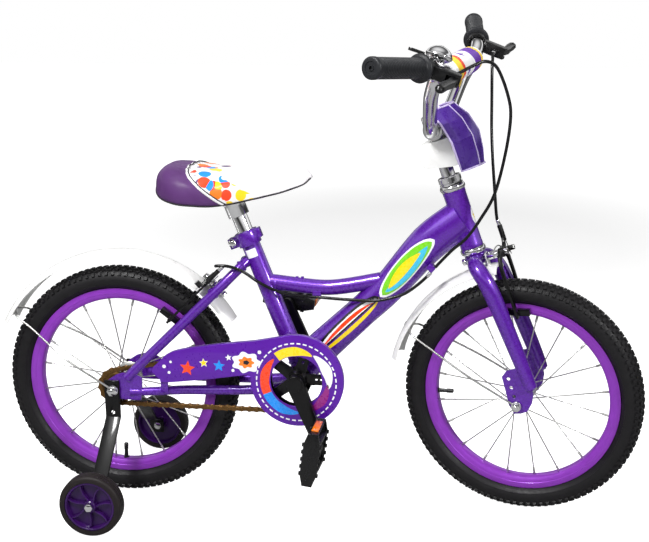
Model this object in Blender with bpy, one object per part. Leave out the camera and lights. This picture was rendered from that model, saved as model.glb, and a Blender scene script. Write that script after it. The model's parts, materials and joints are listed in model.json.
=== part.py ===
"""Children's bicycle with 16 inch wheels and stabilisers, modelled at its real size in metres.

The frame stands on the ground at z = 0 with the rear axle above the origin. The front points along +X,
the rider's left is +Y and the rider's right, where the chain runs, is -Y.
"""
import math

import bmesh
import bpy
import numpy as np
from mathutils import Matrix, Vector

# Wheels
WHEELBASE = 0.663
TYRE_RADIUS = 0.195
TYRE_WIDTH = 0.044
RIM_RADIUS = 0.159
RIM_INNER_RADIUS = 0.141
RIM_WIDTH = 0.026
SPOKES = 20
SPOKE_RADIUS = 0.0011
WHEEL_SEGMENTS = 28
GAP = 0.0003

# Steering geometry
HEAD_ANGLE = math.radians(71.0)
FORK_OFFSET = 0.002
STEERING_ANGLE = math.radians(-10.9)
HEAD_TUBE_BOTTOM = 0.257
HEAD_TUBE_TOP = 0.352
HEAD_TUBE_RADIUS = 0.018
STEERER_RADIUS = 0.0127
QUILL_RADIUS = 0.0111
CUP_HEIGHT = 0.009
CUP_RADIUS = 0.0205
LOCKNUT_HEIGHT = 0.014
CROWN_HEIGHT = 0.236

# Frame
BRACKET_X = 0.303
BRACKET_Z = 0.221
BRACKET_RADIUS = 0.021
BRACKET_WIDTH = 0.068
SEAT_ANGLE = math.radians(68.8)
SEAT_TUBE_LENGTH = 0.250
SEAT_TUBE_RADIUS = 0.015
SEAT_POST_RADIUS = 0.0127
SEAT_POST_BOTTOM = 0.110
SEAT_POST_TOP = 0.300
TOP_TUBE_RADIUS = 0.0125
DOWN_TUBE_WIDTH_RATIO = 0.78
CHAIN_STAY_RADIUS = 0.008
SEAT_STAY_RADIUS = 0.008
DROPOUT_THICKNESS = 0.004
REAR_HUB_SPACING = 0.104
BRIDGE_X = 0.165
BRIDGE_Z = 0.356
BRIDGE_RADIUS = 0.008

# Fork
BLADE_RADIUS = 0.0125
BLADE_SPREAD = 0.046
FORK_END_THICKNESS = 0.004
FRONT_HUB_SPACING = 0.088

# Axles and hubs
REAR_AXLE_RADIUS = 0.00475
FRONT_AXLE_RADIUS = 0.004
NUT_RADIUS = 0.0085

# Handlebar and controls
BAR_RADIUS = 0.011
STEM_CLAMP_HEIGHT = 0.452
STEM_CLAMP_FORWARD = 0.006
STEM_CLAMP_RADIUS = 0.0165
STEM_CLAMP_WIDTH = 0.050
GRIP_RADIUS = 0.0155
GRIP_FLANGE_RADIUS = 0.021
GRIP_START = Vector((0.5415, 0.166, 0.7388))
GRIP_END = Vector((0.5075, 0.288, 0.7550))
CROSSBAR_RADIUS = 0.0065
CROSSBAR_X = 0.554
CROSSBAR_Z = 0.720
PAD_RADIUS = 0.0205
PAD_LENGTH = 0.172
LEVER_PIVOT_FORWARD = 0.042
LEVER_PIVOT_SIDE = 0.152
BELL_RADIUS = 0.020
BELL_STAND = 0.016
BELL_LEVER_PIVOT = 0.0245

# Brakes
BRAKE_ARM_THICKNESS = 0.004
BRAKE_BOLT_RADIUS = 0.003
BRAKE_PAD_CLEARANCE = 0.0025
PAD_TRACK_RADIUS = 0.1475

# Drive
CHAIN_PITCH = 0.0127
CHAINRING_TEETH = 28
SPROCKET_TEETH = 14
CHAIN_PLANE = -0.040
CHAIN_WIDTH = 0.007
CHAIN_HALF_HEIGHT = 0.00425
CRANK_LENGTH = 0.103
CRANK_ANGLE = math.radians(21.3)
CRANK_INNER = 0.061
CRANK_THICKNESS = 0.011
SPINDLE_RADIUS = 0.008
PEDAL_AXLE_RADIUS = 0.005
PEDAL_LENGTH = 0.088
PEDAL_WIDTH = 0.074
PEDAL_THICKNESS = 0.026
GUARD_PLANE = -0.055
GUARD_THICKNESS = 0.0025
GUARD_LIP = 0.008
GUARD_RING_RADIUS = 0.076
GUARD_OPENING_RADIUS = 0.042

# Mudguards
MUDGUARD_RADIUS = 0.2222
MUDGUARD_HALF_WIDTH = 0.026
MUDGUARD_DROP = 0.011
MUDGUARD_THICKNESS = 0.0018
STAY_WIRE_RADIUS = 0.0017
CROWN_SUPPORT = 0.0185
BRACKET_STRIP_THICKNESS = 0.0017

# Stabilisers
STABILISER_RADIUS = 0.050
STABILISER_WIDTH = 0.026
STABILISER_TRACK = 0.187
STABILISER_STRIP_WIDTH = 0.025
STABILISER_STRIP_THICKNESS = 0.004
STABILISER_BOLT_RADIUS = 0.004

# Cables
CABLE_RADIUS = 0.0025

# Distance under which two corners of a joined solid are one
MERGE_DISTANCE = 0.00002

Y_AXIS = Vector((0.0, 1.0, 0.0))
STEER_UP = Vector((-math.cos(HEAD_ANGLE), 0.0, math.sin(HEAD_ANGLE)))
STEER_FORWARD = Vector((math.sin(HEAD_ANGLE), 0.0, math.cos(HEAD_ANGLE)))
SEAT_UP = Vector((-math.cos(SEAT_ANGLE), 0.0, math.sin(SEAT_ANGLE)))
SEAT_FORWARD = Vector((math.sin(SEAT_ANGLE), 0.0, math.cos(SEAT_ANGLE)))
REAR_CENTRE = Vector((0.0, 0.0, TYRE_RADIUS))
FRONT_CENTRE = Vector((WHEELBASE, 0.0, TYRE_RADIUS))
STEER_FOOT = FRONT_CENTRE - STEER_FORWARD * FORK_OFFSET
BRACKET_CENTRE = Vector((BRACKET_X, 0.0, BRACKET_Z))
BRIDGE_CENTRE = Vector((BRIDGE_X, 0.0, BRIDGE_Z))
DOWN_TUBE_DIRECTION = Vector((0.650, 0.0, 0.759)).normalized()
CABLE_GUIDE = Vector((0.5183, -0.0262, 0.4042))
CABLE_GUIDE_LENGTH = 0.010
LEVER_FORWARD = Vector((0.94, 0.0, -0.34)).normalized()
LEVER_AXIS = Vector((0.34, 0.0, 0.94)).normalized()
BELL_FOOT = Vector((0.5512, -0.1305, 0.7312))
BELL_AXIS = Vector((0.25, 0.30, 0.92)).normalized()
CHAINRING_PITCH_RADIUS = CHAIN_PITCH / (2.0 * math.sin(math.pi / CHAINRING_TEETH))
SPROCKET_PITCH_RADIUS = CHAIN_PITCH / (2.0 * math.sin(math.pi / SPROCKET_TEETH))

materials = {}


def on_steering(up, forward=0.0, side=0.0):
    """Point beside the steering axis, by its height along it, with the wheel pointing straight ahead."""
    return STEER_FOOT + STEER_UP * up + STEER_FORWARD * forward + Y_AXIS * side


def on_seat_tube(up, forward=0.0, side=0.0):
    """Point beside the seat tube's axis, by its height above the bottom bracket."""
    return BRACKET_CENTRE + SEAT_UP * up + SEAT_FORWARD * forward + Y_AXIS * side


def frame_matrix(origin, u, w, v):
    """Matrix whose local X, Y and Z axes are u, w and v."""
    matrix = Matrix((u, w, v)).transposed().to_4x4()
    matrix.translation = origin
    return matrix


def material(name, colour, roughness, metallic=0.0):
    """Principled material, made once for each name."""
    if name not in materials:
        new = bpy.data.materials.new(name)
        new.use_nodes = True
        shader = new.node_tree.nodes["Principled BSDF"]
        shader.inputs["Base Color"].default_value = (*colour, 1.0)
        shader.inputs["Roughness"].default_value = roughness
        shader.inputs["Metallic"].default_value = metallic
        new.diffuse_color = (*colour, 1.0)
        materials[name] = new
    return materials[name]


PURPLE_PAINT = material("purple_paint", (0.13, 0.02, 0.48), 0.25, 0.3)
VIOLET_RIM = material("violet_rim", (0.38, 0.08, 0.64), 0.3, 0.5)
CHROME = material("chrome", (0.8, 0.8, 0.8), 0.12, 1.0)
ZINC = material("zinc", (0.6, 0.6, 0.58), 0.35, 1.0)
BLACK_STEEL = material("black_steel", (0.012, 0.012, 0.013), 0.4, 0.4)
BLACK_PLASTIC = material("black_plastic", (0.015, 0.015, 0.016), 0.5)
BLACK_RUBBER = material("black_rubber", (0.012, 0.012, 0.013), 0.75)
WHITE_PLASTIC = material("white_plastic", (0.85, 0.85, 0.83), 0.35)
WHITE_VINYL = material("white_vinyl", (0.85, 0.85, 0.85), 0.45)
DARK_PURPLE_PLASTIC = material("dark_purple_plastic", (0.03, 0.004, 0.08), 0.4)
CHAIN_STEEL = material("chain_steel", (0.12, 0.07, 0.03), 0.4, 0.9)


def add_object(name, mesh, finish):
    """Link a mesh as a new object with one material, shaded smooth between sharp edges."""
    mesh.materials.clear()
    mesh.materials.append(finish)
    mesh.shade_smooth()
    mesh.set_sharp_from_angle(angle=math.radians(35.0))
    solid = bpy.data.objects.new(name, mesh)
    bpy.context.scene.collection.objects.link(solid)
    return solid


def finish_bmesh(name, bm, finish):
    """Turn an edited bmesh into an object whose faces point out."""
    bmesh.ops.recalc_face_normals(bm, faces=bm.faces)
    mesh = bpy.data.meshes.new(name)
    bm.to_mesh(mesh)
    bm.free()
    return add_object(name, mesh, finish)


def smooth_path(points, steps):
    """Points on a Catmull-Rom curve through the route's own points, with some steps between two of them."""
    route = [Vector(p) for p in points]
    padded = [route[0] * 2 - route[1], *route, route[-1] * 2 - route[-2]]
    path = []
    for before, start, end, after in zip(padded, padded[1:], padded[2:], padded[3:]):
        for step in range(steps):
            t = step / steps
            path.append(0.5 * (2 * start + (end - before) * t
                               + (2 * before - 5 * start + 4 * end - after) * t ** 2
                               + (3 * start - before - 3 * end + after) * t ** 3))
    return [*path, route[-1]]


def thin(path, taper, limit):
    """Path and taper without the points where the path hardly turns and the taper hardly changes."""
    kept = [0]
    for index in range(1, len(path) - 1):
        before = path[index] - path[kept[-1]]
        after = path[index + 1] - path[index]
        if before.angle(after) > limit or abs(taper[index] - taper[kept[-1]]) > 0.06:
            kept.append(index)
    kept.append(len(path) - 1)
    return [path[index] for index in kept], [taper[index] for index in kept]


def tube(name, path, radius, finish, sides=12, taper=None, straighten=0.0):
    """Round tube along a path, as a curve with a bevel and filled ends; taper scales the radius at points."""
    taper = taper or [1.0] * len(path)
    if straighten:
        path, taper = thin(path, taper, math.radians(straighten))
    curve = bpy.data.curves.new(name, "CURVE")
    curve.dimensions = "3D"
    curve.bevel_depth = radius
    curve.bevel_resolution = (sides - 4) // 2
    curve.use_fill_caps = True
    spline = curve.splines.new("POLY")
    spline.points.add(len(path) - 1)
    for index, (point, position) in enumerate(zip(spline.points, path)):
        point.co = (*position, 1.0)
        point.radius = taper[index]
    guide = bpy.data.objects.new(name, curve)
    bpy.context.scene.collection.objects.link(guide)
    bpy.context.view_layer.update()
    mesh = bpy.data.meshes.new_from_object(guide.evaluated_get(bpy.context.evaluated_depsgraph_get()))
    bpy.data.objects.remove(guide)
    bm = bmesh.new()
    bm.from_mesh(mesh)
    bmesh.ops.remove_doubles(bm, verts=bm.verts, dist=1e-6)
    bpy.data.meshes.remove(mesh)
    return finish_bmesh(name, bm, finish)


def revolve(name, profile, centre, finish, segments=24, axis=Y_AXIS, arc=(0.0, 360.0), flat=False):
    """Spin a profile of (along, radius) points about an axis through a centre.

    A full turn closes on itself. With flat, the polygon's flats, not its corners, lie at the radius, and
    one flat faces straight down. A part turn runs between two angles, measured about +Y from +X over the top.
    """
    full = arc[1] - arc[0] >= 360.0
    scale = 1.0 / math.cos(math.pi / segments) if flat else 1.0
    along = axis.normalized()
    if full:
        out = Vector((0.0, 0.0, -1.0)) if abs(along.z) < 0.9 else Vector((1.0, 0.0, 0.0))
        out = (out - along * out.dot(along)).normalized()
        start = Matrix.Rotation(math.pi / segments, 3, along) @ out
        sweep = 2.0 * math.pi
    else:
        start = Vector((math.cos(math.radians(arc[0])), 0.0, math.sin(math.radians(arc[0]))))
        sweep = -math.radians(arc[1] - arc[0])
    bm = bmesh.new()
    verts = [bm.verts.new(centre + along * a + start * (r * scale)) for a, r in profile]
    closed = all(r > 0.0 for _, r in profile)
    spans = [pair for pair in zip(range(len(verts)), range(1, len(verts)))
             if profile[pair[0]][1] > 0.0 or profile[pair[1]][1] > 0.0]
    edges = [bm.edges.new((verts[first], verts[second])) for first, second in spans]
    if closed:
        edges.append(bm.edges.new((verts[-1], verts[0])))
    bmesh.ops.spin(bm, geom=verts + edges, cent=centre, axis=along, dvec=(0, 0, 0), angle=sweep,
                   steps=segments, use_duplicate=False)
    bmesh.ops.remove_doubles(bm, verts=bm.verts, dist=1e-6)
    if not full:
        boundary = [edge for edge in bm.edges if edge.is_boundary]
        bmesh.ops.holes_fill(bm, edges=boundary, sides=0)
    return finish_bmesh(name, bm, finish)


def cylinder(name, start, end, radius, finish, sides=16, end_radius=None):
    """Solid cylinder or cone between two points."""
    start, end = Vector(start), Vector(end)
    top = radius if end_radius is None else end_radius
    length = (end - start).length
    return revolve(name, [(0.0, 0.0), (0.0, radius), (length, top), (length, 0.0)], start, finish,
                   segments=sides, axis=end - start)


def slab(name, outline, near, far, finish, placement=None):
    """Flat plate: an outline of local (x, z) points, extruded from local y = near to far, then placed."""
    bm = bmesh.new()
    face = bm.faces.new([bm.verts.new((x, near, z)) for x, z in outline])
    extruded = bmesh.ops.extrude_face_region(bm, geom=[face])
    moved = [item for item in extruded["geom"] if isinstance(item, bmesh.types.BMVert)]
    bmesh.ops.translate(bm, verts=moved, vec=(0.0, far - near, 0.0))
    if placement:
        bm.transform(placement)
    return finish_bmesh(name, bm, finish)


def box(name, low, high, finish, placement=None):
    """Rectangular block between two local corners."""
    outline = [(low[0], low[2]), (high[0], low[2]), (high[0], high[2]), (low[0], high[2])]
    return slab(name, outline, low[1], high[1], finish, placement)


def arc_points(centre, radius, start, end, steps):
    """Points of an arc in the plane, angles in degrees."""
    angles = np.radians(np.linspace(start, end, steps + 1))
    return [(centre[0] + radius * math.cos(a), centre[1] + radius * math.sin(a)) for a in angles]


def strip_outline(points, width):
    """Outline of a flat bar of one width along a line of plane points."""
    line = [Vector(p) for p in points]
    left, right = [], []
    for index, point in enumerate(line):
        before = (point - line[index - 1]).normalized() if index else None
        after = (line[index + 1] - point).normalized() if index < len(line) - 1 else None
        direction = (((before or after) + (after or before)).normalized())
        normal = Vector((-direction.y, direction.x))
        stretch = 1.0 / max(0.5, normal.dot(Vector((-(after or before).y, (after or before).x))))
        left.append(point + normal * (width / 2 * stretch))
        right.append(point - normal * (width / 2 * stretch))
    return [tuple(p) for p in left + right[::-1]]


def link_outline(start, start_radius, end, end_radius, steps=6):
    """Outline of a flat link with two round ends."""
    a, b = Vector(start), Vector(end)
    turn = math.atan2(b.y - a.y, b.x - a.x)
    lean = math.acos((start_radius - end_radius) / (b - a).length)
    first = np.linspace(turn + lean, turn + 2 * math.pi - lean, steps + 1)
    second = np.linspace(turn - lean, turn + lean, steps + 1)
    return ([tuple(a + Vector((math.cos(t), math.sin(t))) * start_radius) for t in first]
            + [tuple(b + Vector((math.cos(t), math.sin(t))) * end_radius) for t in second])


def combine(base, tools, operation):
    """Join, or cut, a solid with others, which are used up."""
    for tool in tools:
        modifier = base.modifiers.new(tool.name, "BOOLEAN")
        modifier.operation = operation
        modifier.solver = "EXACT"
        modifier.object = tool
    finish = base.data.materials[0]
    bpy.context.view_layer.update()
    mesh = bpy.data.meshes.new_from_object(base.evaluated_get(bpy.context.evaluated_depsgraph_get()))
    base.modifiers.clear()
    old = base.data
    bm = bmesh.new()
    bm.from_mesh(mesh)
    bmesh.ops.remove_doubles(bm, verts=bm.verts, dist=MERGE_DISTANCE)
    bmesh.ops.dissolve_degenerate(bm, dist=MERGE_DISTANCE, edges=bm.edges)
    loose = [edge for edge in bm.edges if not edge.link_faces]
    bmesh.ops.delete(bm, geom=loose, context="EDGES")
    bm.to_mesh(mesh)
    bm.free()
    mesh.materials.clear()
    mesh.materials.append(finish)
    base.data = mesh
    bpy.data.meshes.remove(old)
    for tool in tools:
        bpy.data.objects.remove(tool)
    mesh.shade_smooth()
    mesh.set_sharp_from_angle(angle=math.radians(35.0))
    return base


def unite(base, *tools):
    """Join solids into the first of them."""
    return combine(base, tools, "UNION")


def cut(base, *tools):
    """Cut solids out of the first of them."""
    return combine(base, tools, "DIFFERENCE")


pivots = {}


def pivot(name, position, carrier=None):
    """Empty on a joint's axis, carried by another; the pieces that it carries are parented to it."""
    empty = bpy.data.objects.new(name, None)
    empty.empty_display_size = 0.02
    bpy.context.scene.collection.objects.link(empty)
    placed = Matrix.Translation(position)
    if carrier:
        empty.parent = carrier
        empty.matrix_basis = pivots[carrier.name].inverted() @ placed
    else:
        empty.matrix_basis = placed
    pivots[name] = placed
    return empty


def carry(empty, *pieces):
    """Hang pieces, modelled where they lie with the wheel straight, on a joint's empty."""
    for piece in pieces:
        piece.data.transform(pivots[empty.name].inverted())
        piece.parent = empty


def down_tube():
    """Curved down tube, tall where it meets the head tube and the bottom bracket, and flattened sideways."""
    centre_line = [on_steering(0.305), (0.5090, 0, 0.442), (0.447, 0, 0.3696), (0.401, 0, 0.325),
                   (0.3390, 0, 0.266), (0.310, 0, 0.236)]
    radii = [0.032, 0.0305, 0.026, 0.0255, 0.0275, 0.0275]
    path = smooth_path(centre_line, 2)
    taper = list(np.interp(np.linspace(0, 5, len(path)), range(6), radii) / radii[0])
    solid = tube("down_tube", path, radii[0], PURPLE_PAINT, sides=12, taper=taper)
    solid.data.transform(Matrix.Scale(DOWN_TUBE_WIDTH_RATIO, 4, Y_AXIS))
    return solid


def rear_stays(side):
    """Chain stay, seat stay and dropout of one side, +1 for the left and -1 for the right."""
    dropout_side = REAR_HUB_SPACING / 2 + DROPOUT_THICKNESS / 2
    chain_line = [(0.290, 0.022, 0.205), (0.262, 0.0265, 0.198), (0.205, 0.031, 0.194),
                  (0.115, 0.0355, 0.192), (0.065, 0.046, 0.191), (0.026, dropout_side, 0.191)]
    seat_line = [(0.216, 0.009, 0.406), (0.203, 0.022, 0.393), (0.172, 0.0375, 0.362),
                 (0.120, 0.0430, 0.311), (0.062, 0.050, 0.255), (0.022, dropout_side, 0.215)]
    chain_path = smooth_path([(x, side * y, z) for x, y, z in chain_line], 2)
    seat_path = smooth_path([(x, side * y, z) for x, y, z in seat_line], 2)
    ends = [1.1, 1.1, 1.08, 1.05, 1.0, 1.0, 0.95, 0.92, 0.9, 0.85, 0.8]
    chain_stay = tube("chain_stay", chain_path, CHAIN_STAY_RADIUS, PURPLE_PAINT, sides=8, taper=ends,
                      straighten=3.0)
    seat_stay = tube("seat_stay", seat_path, SEAT_STAY_RADIUS, PURPLE_PAINT, sides=8, straighten=3.0)
    plate_outline = [(-0.014, 0.184), (-0.014, 0.206), (0.004, 0.220), (0.026, 0.224), (0.047, 0.216),
                     (0.044, 0.178), (0.018, 0.178)]
    plate = slab("dropout", plate_outline, side * (dropout_side - DROPOUT_THICKNESS / 2),
                 side * (dropout_side + DROPOUT_THICKNESS / 2), PURPLE_PAINT)
    return [chain_stay, seat_stay, plate]


def build_frame():
    """Welded frame: tubes, stays, dropouts, bridge, guides and bosses as one solid."""
    seat_tube = cylinder("seat_tube", on_seat_tube(0.0), on_seat_tube(SEAT_TUBE_LENGTH),
                         SEAT_TUBE_RADIUS, PURPLE_PAINT, sides=16)
    top_line = [on_seat_tube(0.161), (0.262, 0, 0.3700), (0.318, 0, 0.3645), (0.350, 0, 0.3640),
                (0.385, 0, 0.3690), (0.432, 0, 0.3790)]
    top_tube = tube("top_tube", smooth_path(top_line, 2), TOP_TUBE_RADIUS, PURPLE_PAINT, sides=8,
                    straighten=3.0)
    head_tube = cylinder("head_tube", on_steering(HEAD_TUBE_BOTTOM), on_steering(HEAD_TUBE_TOP),
                         HEAD_TUBE_RADIUS, PURPLE_PAINT, sides=16)
    bracket_half = Y_AXIS * (BRACKET_WIDTH / 2)
    bracket = cylinder("bracket", BRACKET_CENTRE - bracket_half, BRACKET_CENTRE + bracket_half,
                       BRACKET_RADIUS, PURPLE_PAINT, sides=16)
    bridge = cylinder("bridge", BRIDGE_CENTRE - Y_AXIS * 0.037, BRIDGE_CENTRE + Y_AXIS * 0.037,
                      BRIDGE_RADIUS, PURPLE_PAINT, sides=8)
    guard_gap = GUARD_PLANE + GAP
    rear_boss = cylinder("rear_boss", (0.084, -0.036, 0.193), (0.084, guard_gap + 0.001, 0.199), 0.004,
                         PURPLE_PAINT, sides=8)
    rear_tab = box("rear_tab", (0.078, guard_gap, 0.192), (0.090, guard_gap + 0.003, 0.222), PURPLE_PAINT)
    upper_boss = cylinder("upper_boss", (0.283, -0.008, 0.288), (0.283, guard_gap, 0.288), 0.004,
                          PURPLE_PAINT, sides=8)
    across = Vector((DOWN_TUBE_DIRECTION.z, 0.0, -DOWN_TUBE_DIRECTION.x))
    guide_frame = frame_matrix(CABLE_GUIDE, DOWN_TUBE_DIRECTION, Y_AXIS, across)
    half_guide = CABLE_GUIDE_LENGTH / 2
    down_guide = box("down_guide", (-half_guide, -0.005, -0.0105), (half_guide, 0.014, 0.0015), PURPLE_PAINT,
                     guide_frame)
    top_guide = box("top_guide", (0.323, -0.013, 0.3524), (0.337, -0.006, 0.360), PURPLE_PAINT)
    bosses = [cylinder("boss", (x, 0, 0.370), (x, 0, 0.3805), 0.0025, PURPLE_PAINT, sides=6)
              for x in (0.296, 0.305)]
    frame = unite(head_tube, down_tube(), seat_tube, top_tube, bracket, bridge, *rear_stays(1), *rear_stays(-1),
                  rear_boss, rear_tab, upper_boss, down_guide, top_guide, *bosses)
    frame.name = "frame"
    post_bore = cylinder("post_bore", on_seat_tube(SEAT_POST_BOTTOM - 0.030),
                         on_seat_tube(SEAT_TUBE_LENGTH + 0.01), SEAT_POST_RADIUS + GAP, PURPLE_PAINT, sides=16)
    head_bore = cylinder("head_bore", on_steering(HEAD_TUBE_BOTTOM - 0.01), on_steering(HEAD_TUBE_TOP + 0.01),
                         STEERER_RADIUS + 0.0025, PURPLE_PAINT, sides=16)
    spindle_bore = cylinder("spindle_bore", BRACKET_CENTRE - Y_AXIS * 0.05, BRACKET_CENTRE + Y_AXIS * 0.05,
                            SPINDLE_RADIUS + GAP, PURPLE_PAINT, sides=14)
    axle_bore = cylinder("axle_bore", REAR_CENTRE - Y_AXIS * 0.07, REAR_CENTRE + Y_AXIS * 0.07,
                         REAR_AXLE_RADIUS + GAP, PURPLE_PAINT, sides=12)
    slot_half = REAR_AXLE_RADIUS + GAP
    axle_slot = box("axle_slot", (-0.03, -0.07, TYRE_RADIUS - slot_half), (0.0, 0.07, TYRE_RADIUS + slot_half),
                    PURPLE_PAINT)
    out = bolt_direction("rear")
    bolt_bore = cylinder("bolt_bore", BRIDGE_CENTRE - out * 0.02, BRIDGE_CENTRE + out * 0.02,
                         BRAKE_BOLT_RADIUS + GAP, PURPLE_PAINT, sides=12)
    return cut(frame, post_bore, head_bore, spindle_bore, axle_bore, axle_slot, bolt_bore)


def bolt_direction(end):
    """Direction in which a brake's centre bolt points, from its bridge or crown towards the arms."""
    if end == "front":
        return STEER_FORWARD
    stay = Vector((0.709, 0.0, 0.705)).normalized()
    return Vector((-stay.z, 0.0, stay.x))


def build_seat_clamp():
    """Collar round the top of the seat tube, with lugs at the back, and its bolt."""
    low, high = SEAT_TUBE_LENGTH - 0.024, SEAT_TUBE_LENGTH - 0.001
    collar = cylinder("seat_clamp", on_seat_tube(low), on_seat_tube(high), SEAT_TUBE_RADIUS + 0.004,
                      PURPLE_PAINT, sides=16)
    placement = frame_matrix(on_seat_tube(0.0), SEAT_FORWARD, Y_AXIS, SEAT_UP)
    lug = box("lug", (-0.031, -0.010, low + 0.003), (-0.010, 0.010, high - 0.003), PURPLE_PAINT, placement)
    front_lug = box("front_lug", (0.012, -0.006, low + 0.006), (0.0235, 0.006, high - 0.001), PURPLE_PAINT,
                    placement)
    collar = unite(collar, lug, front_lug)
    bore = cylinder("bore", on_seat_tube(low - 0.01), on_seat_tube(high + 0.01), SEAT_TUBE_RADIUS + GAP,
                    PURPLE_PAINT, sides=16)
    slit = box("slit", (-0.040, -0.002, low - 0.01), (-0.008, 0.002, high + 0.01), PURPLE_PAINT, placement)
    bolt_line = (low + high) / 2 + 0.001
    hole = cylinder("hole", on_seat_tube(bolt_line, -0.0245, -0.02), on_seat_tube(bolt_line, -0.0245, 0.02),
                    0.0034, PURPLE_PAINT, sides=10)
    collar = cut(collar, bore, slit, hole)
    rod_radius = 0.003
    profile = [(-0.0165, 0.0), (-0.0165, 0.004), (-0.0140, 0.0070), (-0.0103, 0.0072), (-0.0103, rod_radius),
               (0.0103, rod_radius), (0.0103, 0.0055), (0.0150, 0.0055), (0.0150, 0.0)]
    bolt = revolve("seat_clamp_bolt", profile, on_seat_tube(bolt_line, -0.0245), CHROME, segments=10)
    return collar, bolt


def build_headset():
    """Pressed cups above and below the head tube, and the locknut that turns with the fork."""
    def cup(name, low, high, outer, bore, lip):
        profile = [(low, bore), (low, outer - lip[0]), ((low + high) / 2, outer), (high, outer - lip[1]),
                   (high, bore)]
        return revolve(name, profile, STEER_FOOT, CHROME, segments=16, axis=STEER_UP)
    bore = STEERER_RADIUS + 2 * GAP
    lower = cup("headset_lower_cup", HEAD_TUBE_BOTTOM - CUP_HEIGHT, HEAD_TUBE_BOTTOM - GAP, CUP_RADIUS, bore,
                (0.001, 0.002))
    upper = cup("headset_upper_cup", HEAD_TUBE_TOP + GAP, HEAD_TUBE_TOP + CUP_HEIGHT, CUP_RADIUS, bore,
                (0.002, 0.001))
    start = HEAD_TUBE_TOP + CUP_HEIGHT + GAP
    nut = cup("headset_locknut", start, start + LOCKNUT_HEIGHT, 0.0185, bore, (0.0, 0.0015))
    return lower, upper, nut


def build_fork():
    """Unicrown fork: steerer, two bent blades and flat fork ends with three small holes."""
    steerer_top = HEAD_TUBE_TOP + CUP_HEIGHT + LOCKNUT_HEIGHT - 0.001
    steerer = cylinder("fork", on_steering(CROWN_HEIGHT + 0.005), on_steering(steerer_top), STEERER_RADIUS,
                       PURPLE_PAINT, sides=14)
    race_top = on_steering(HEAD_TUBE_BOTTOM - CUP_HEIGHT - GAP)
    race = cylinder("race", on_steering(CROWN_HEIGHT + 0.004), race_top, 0.0165, PURPLE_PAINT, sides=14)
    blade_line = [(0.235, 0.001, 0.000), (0.2345, 0.003, 0.0225), (0.2275, 0.009, 0.0385),
                  (0.206, 0.0175, 0.0455), (0.170, 0.0225, BLADE_SPREAD), (0.127, 0.026, BLADE_SPREAD),
                  (0.060, 0.031, BLADE_SPREAD), (0.030, 0.033, BLADE_SPREAD), (0.020, 0.0335, BLADE_SPREAD)]
    route = [(up, forward, -y) for up, forward, y in blade_line[:0:-1]] + blade_line
    half_taper = [0.92, 0.93, 0.94, 0.98, 1.02, 1.06, 1.08, 1.08, 1.05, 1.03, 1.0, 0.97, 0.92, 0.88, 0.84,
                  0.8, 0.5]
    blades = tube("blades", smooth_path([on_steering(*point) for point in route], 2), BLADE_RADIUS, PURPLE_PAINT,
                  sides=8, taper=half_taper[:0:-1] + half_taper, straighten=4.5)
    parts = [race, blades]
    end_outline = [(0.030, 0.060), (0.036, 0.040), (0.034, 0.012), (0.016, -0.013), (-0.006, -0.012),
                   (-0.009, 0.004), (-0.006, 0.052), (0.004, 0.060)]
    placement = frame_matrix(STEER_FOOT, STEER_FORWARD, Y_AXIS, STEER_UP)
    for side in (1, -1):
        inner = side * FRONT_HUB_SPACING / 2
        parts.append(slab("fork_end", end_outline, inner, inner + side * FORK_END_THICKNESS, PURPLE_PAINT,
                          placement))
    fork = unite(steerer, *parts)
    cutters = [cylinder("quill_bore", on_steering(CROWN_HEIGHT + 0.025), on_steering(steerer_top + 0.01),
                        QUILL_RADIUS + 2 * GAP, PURPLE_PAINT, sides=12),
               cylinder("axle_bore", FRONT_CENTRE - Y_AXIS * 0.06, FRONT_CENTRE + Y_AXIS * 0.06,
                        FRONT_AXLE_RADIUS + GAP, PURPLE_PAINT, sides=10),
               cylinder("bolt_bore", on_steering(CROWN_HEIGHT, -0.03), on_steering(CROWN_HEIGHT, 0.03),
                        BRAKE_BOLT_RADIUS + GAP, PURPLE_PAINT, sides=12)]
    for up in (0.046, 0.031, 0.016):
        cutters.append(cylinder("hole", on_steering(up, 0.003, -0.056), on_steering(up, 0.003, 0.056), 0.003,
                                PURPLE_PAINT, sides=6))
    return cut(fork, *cutters)


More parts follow.
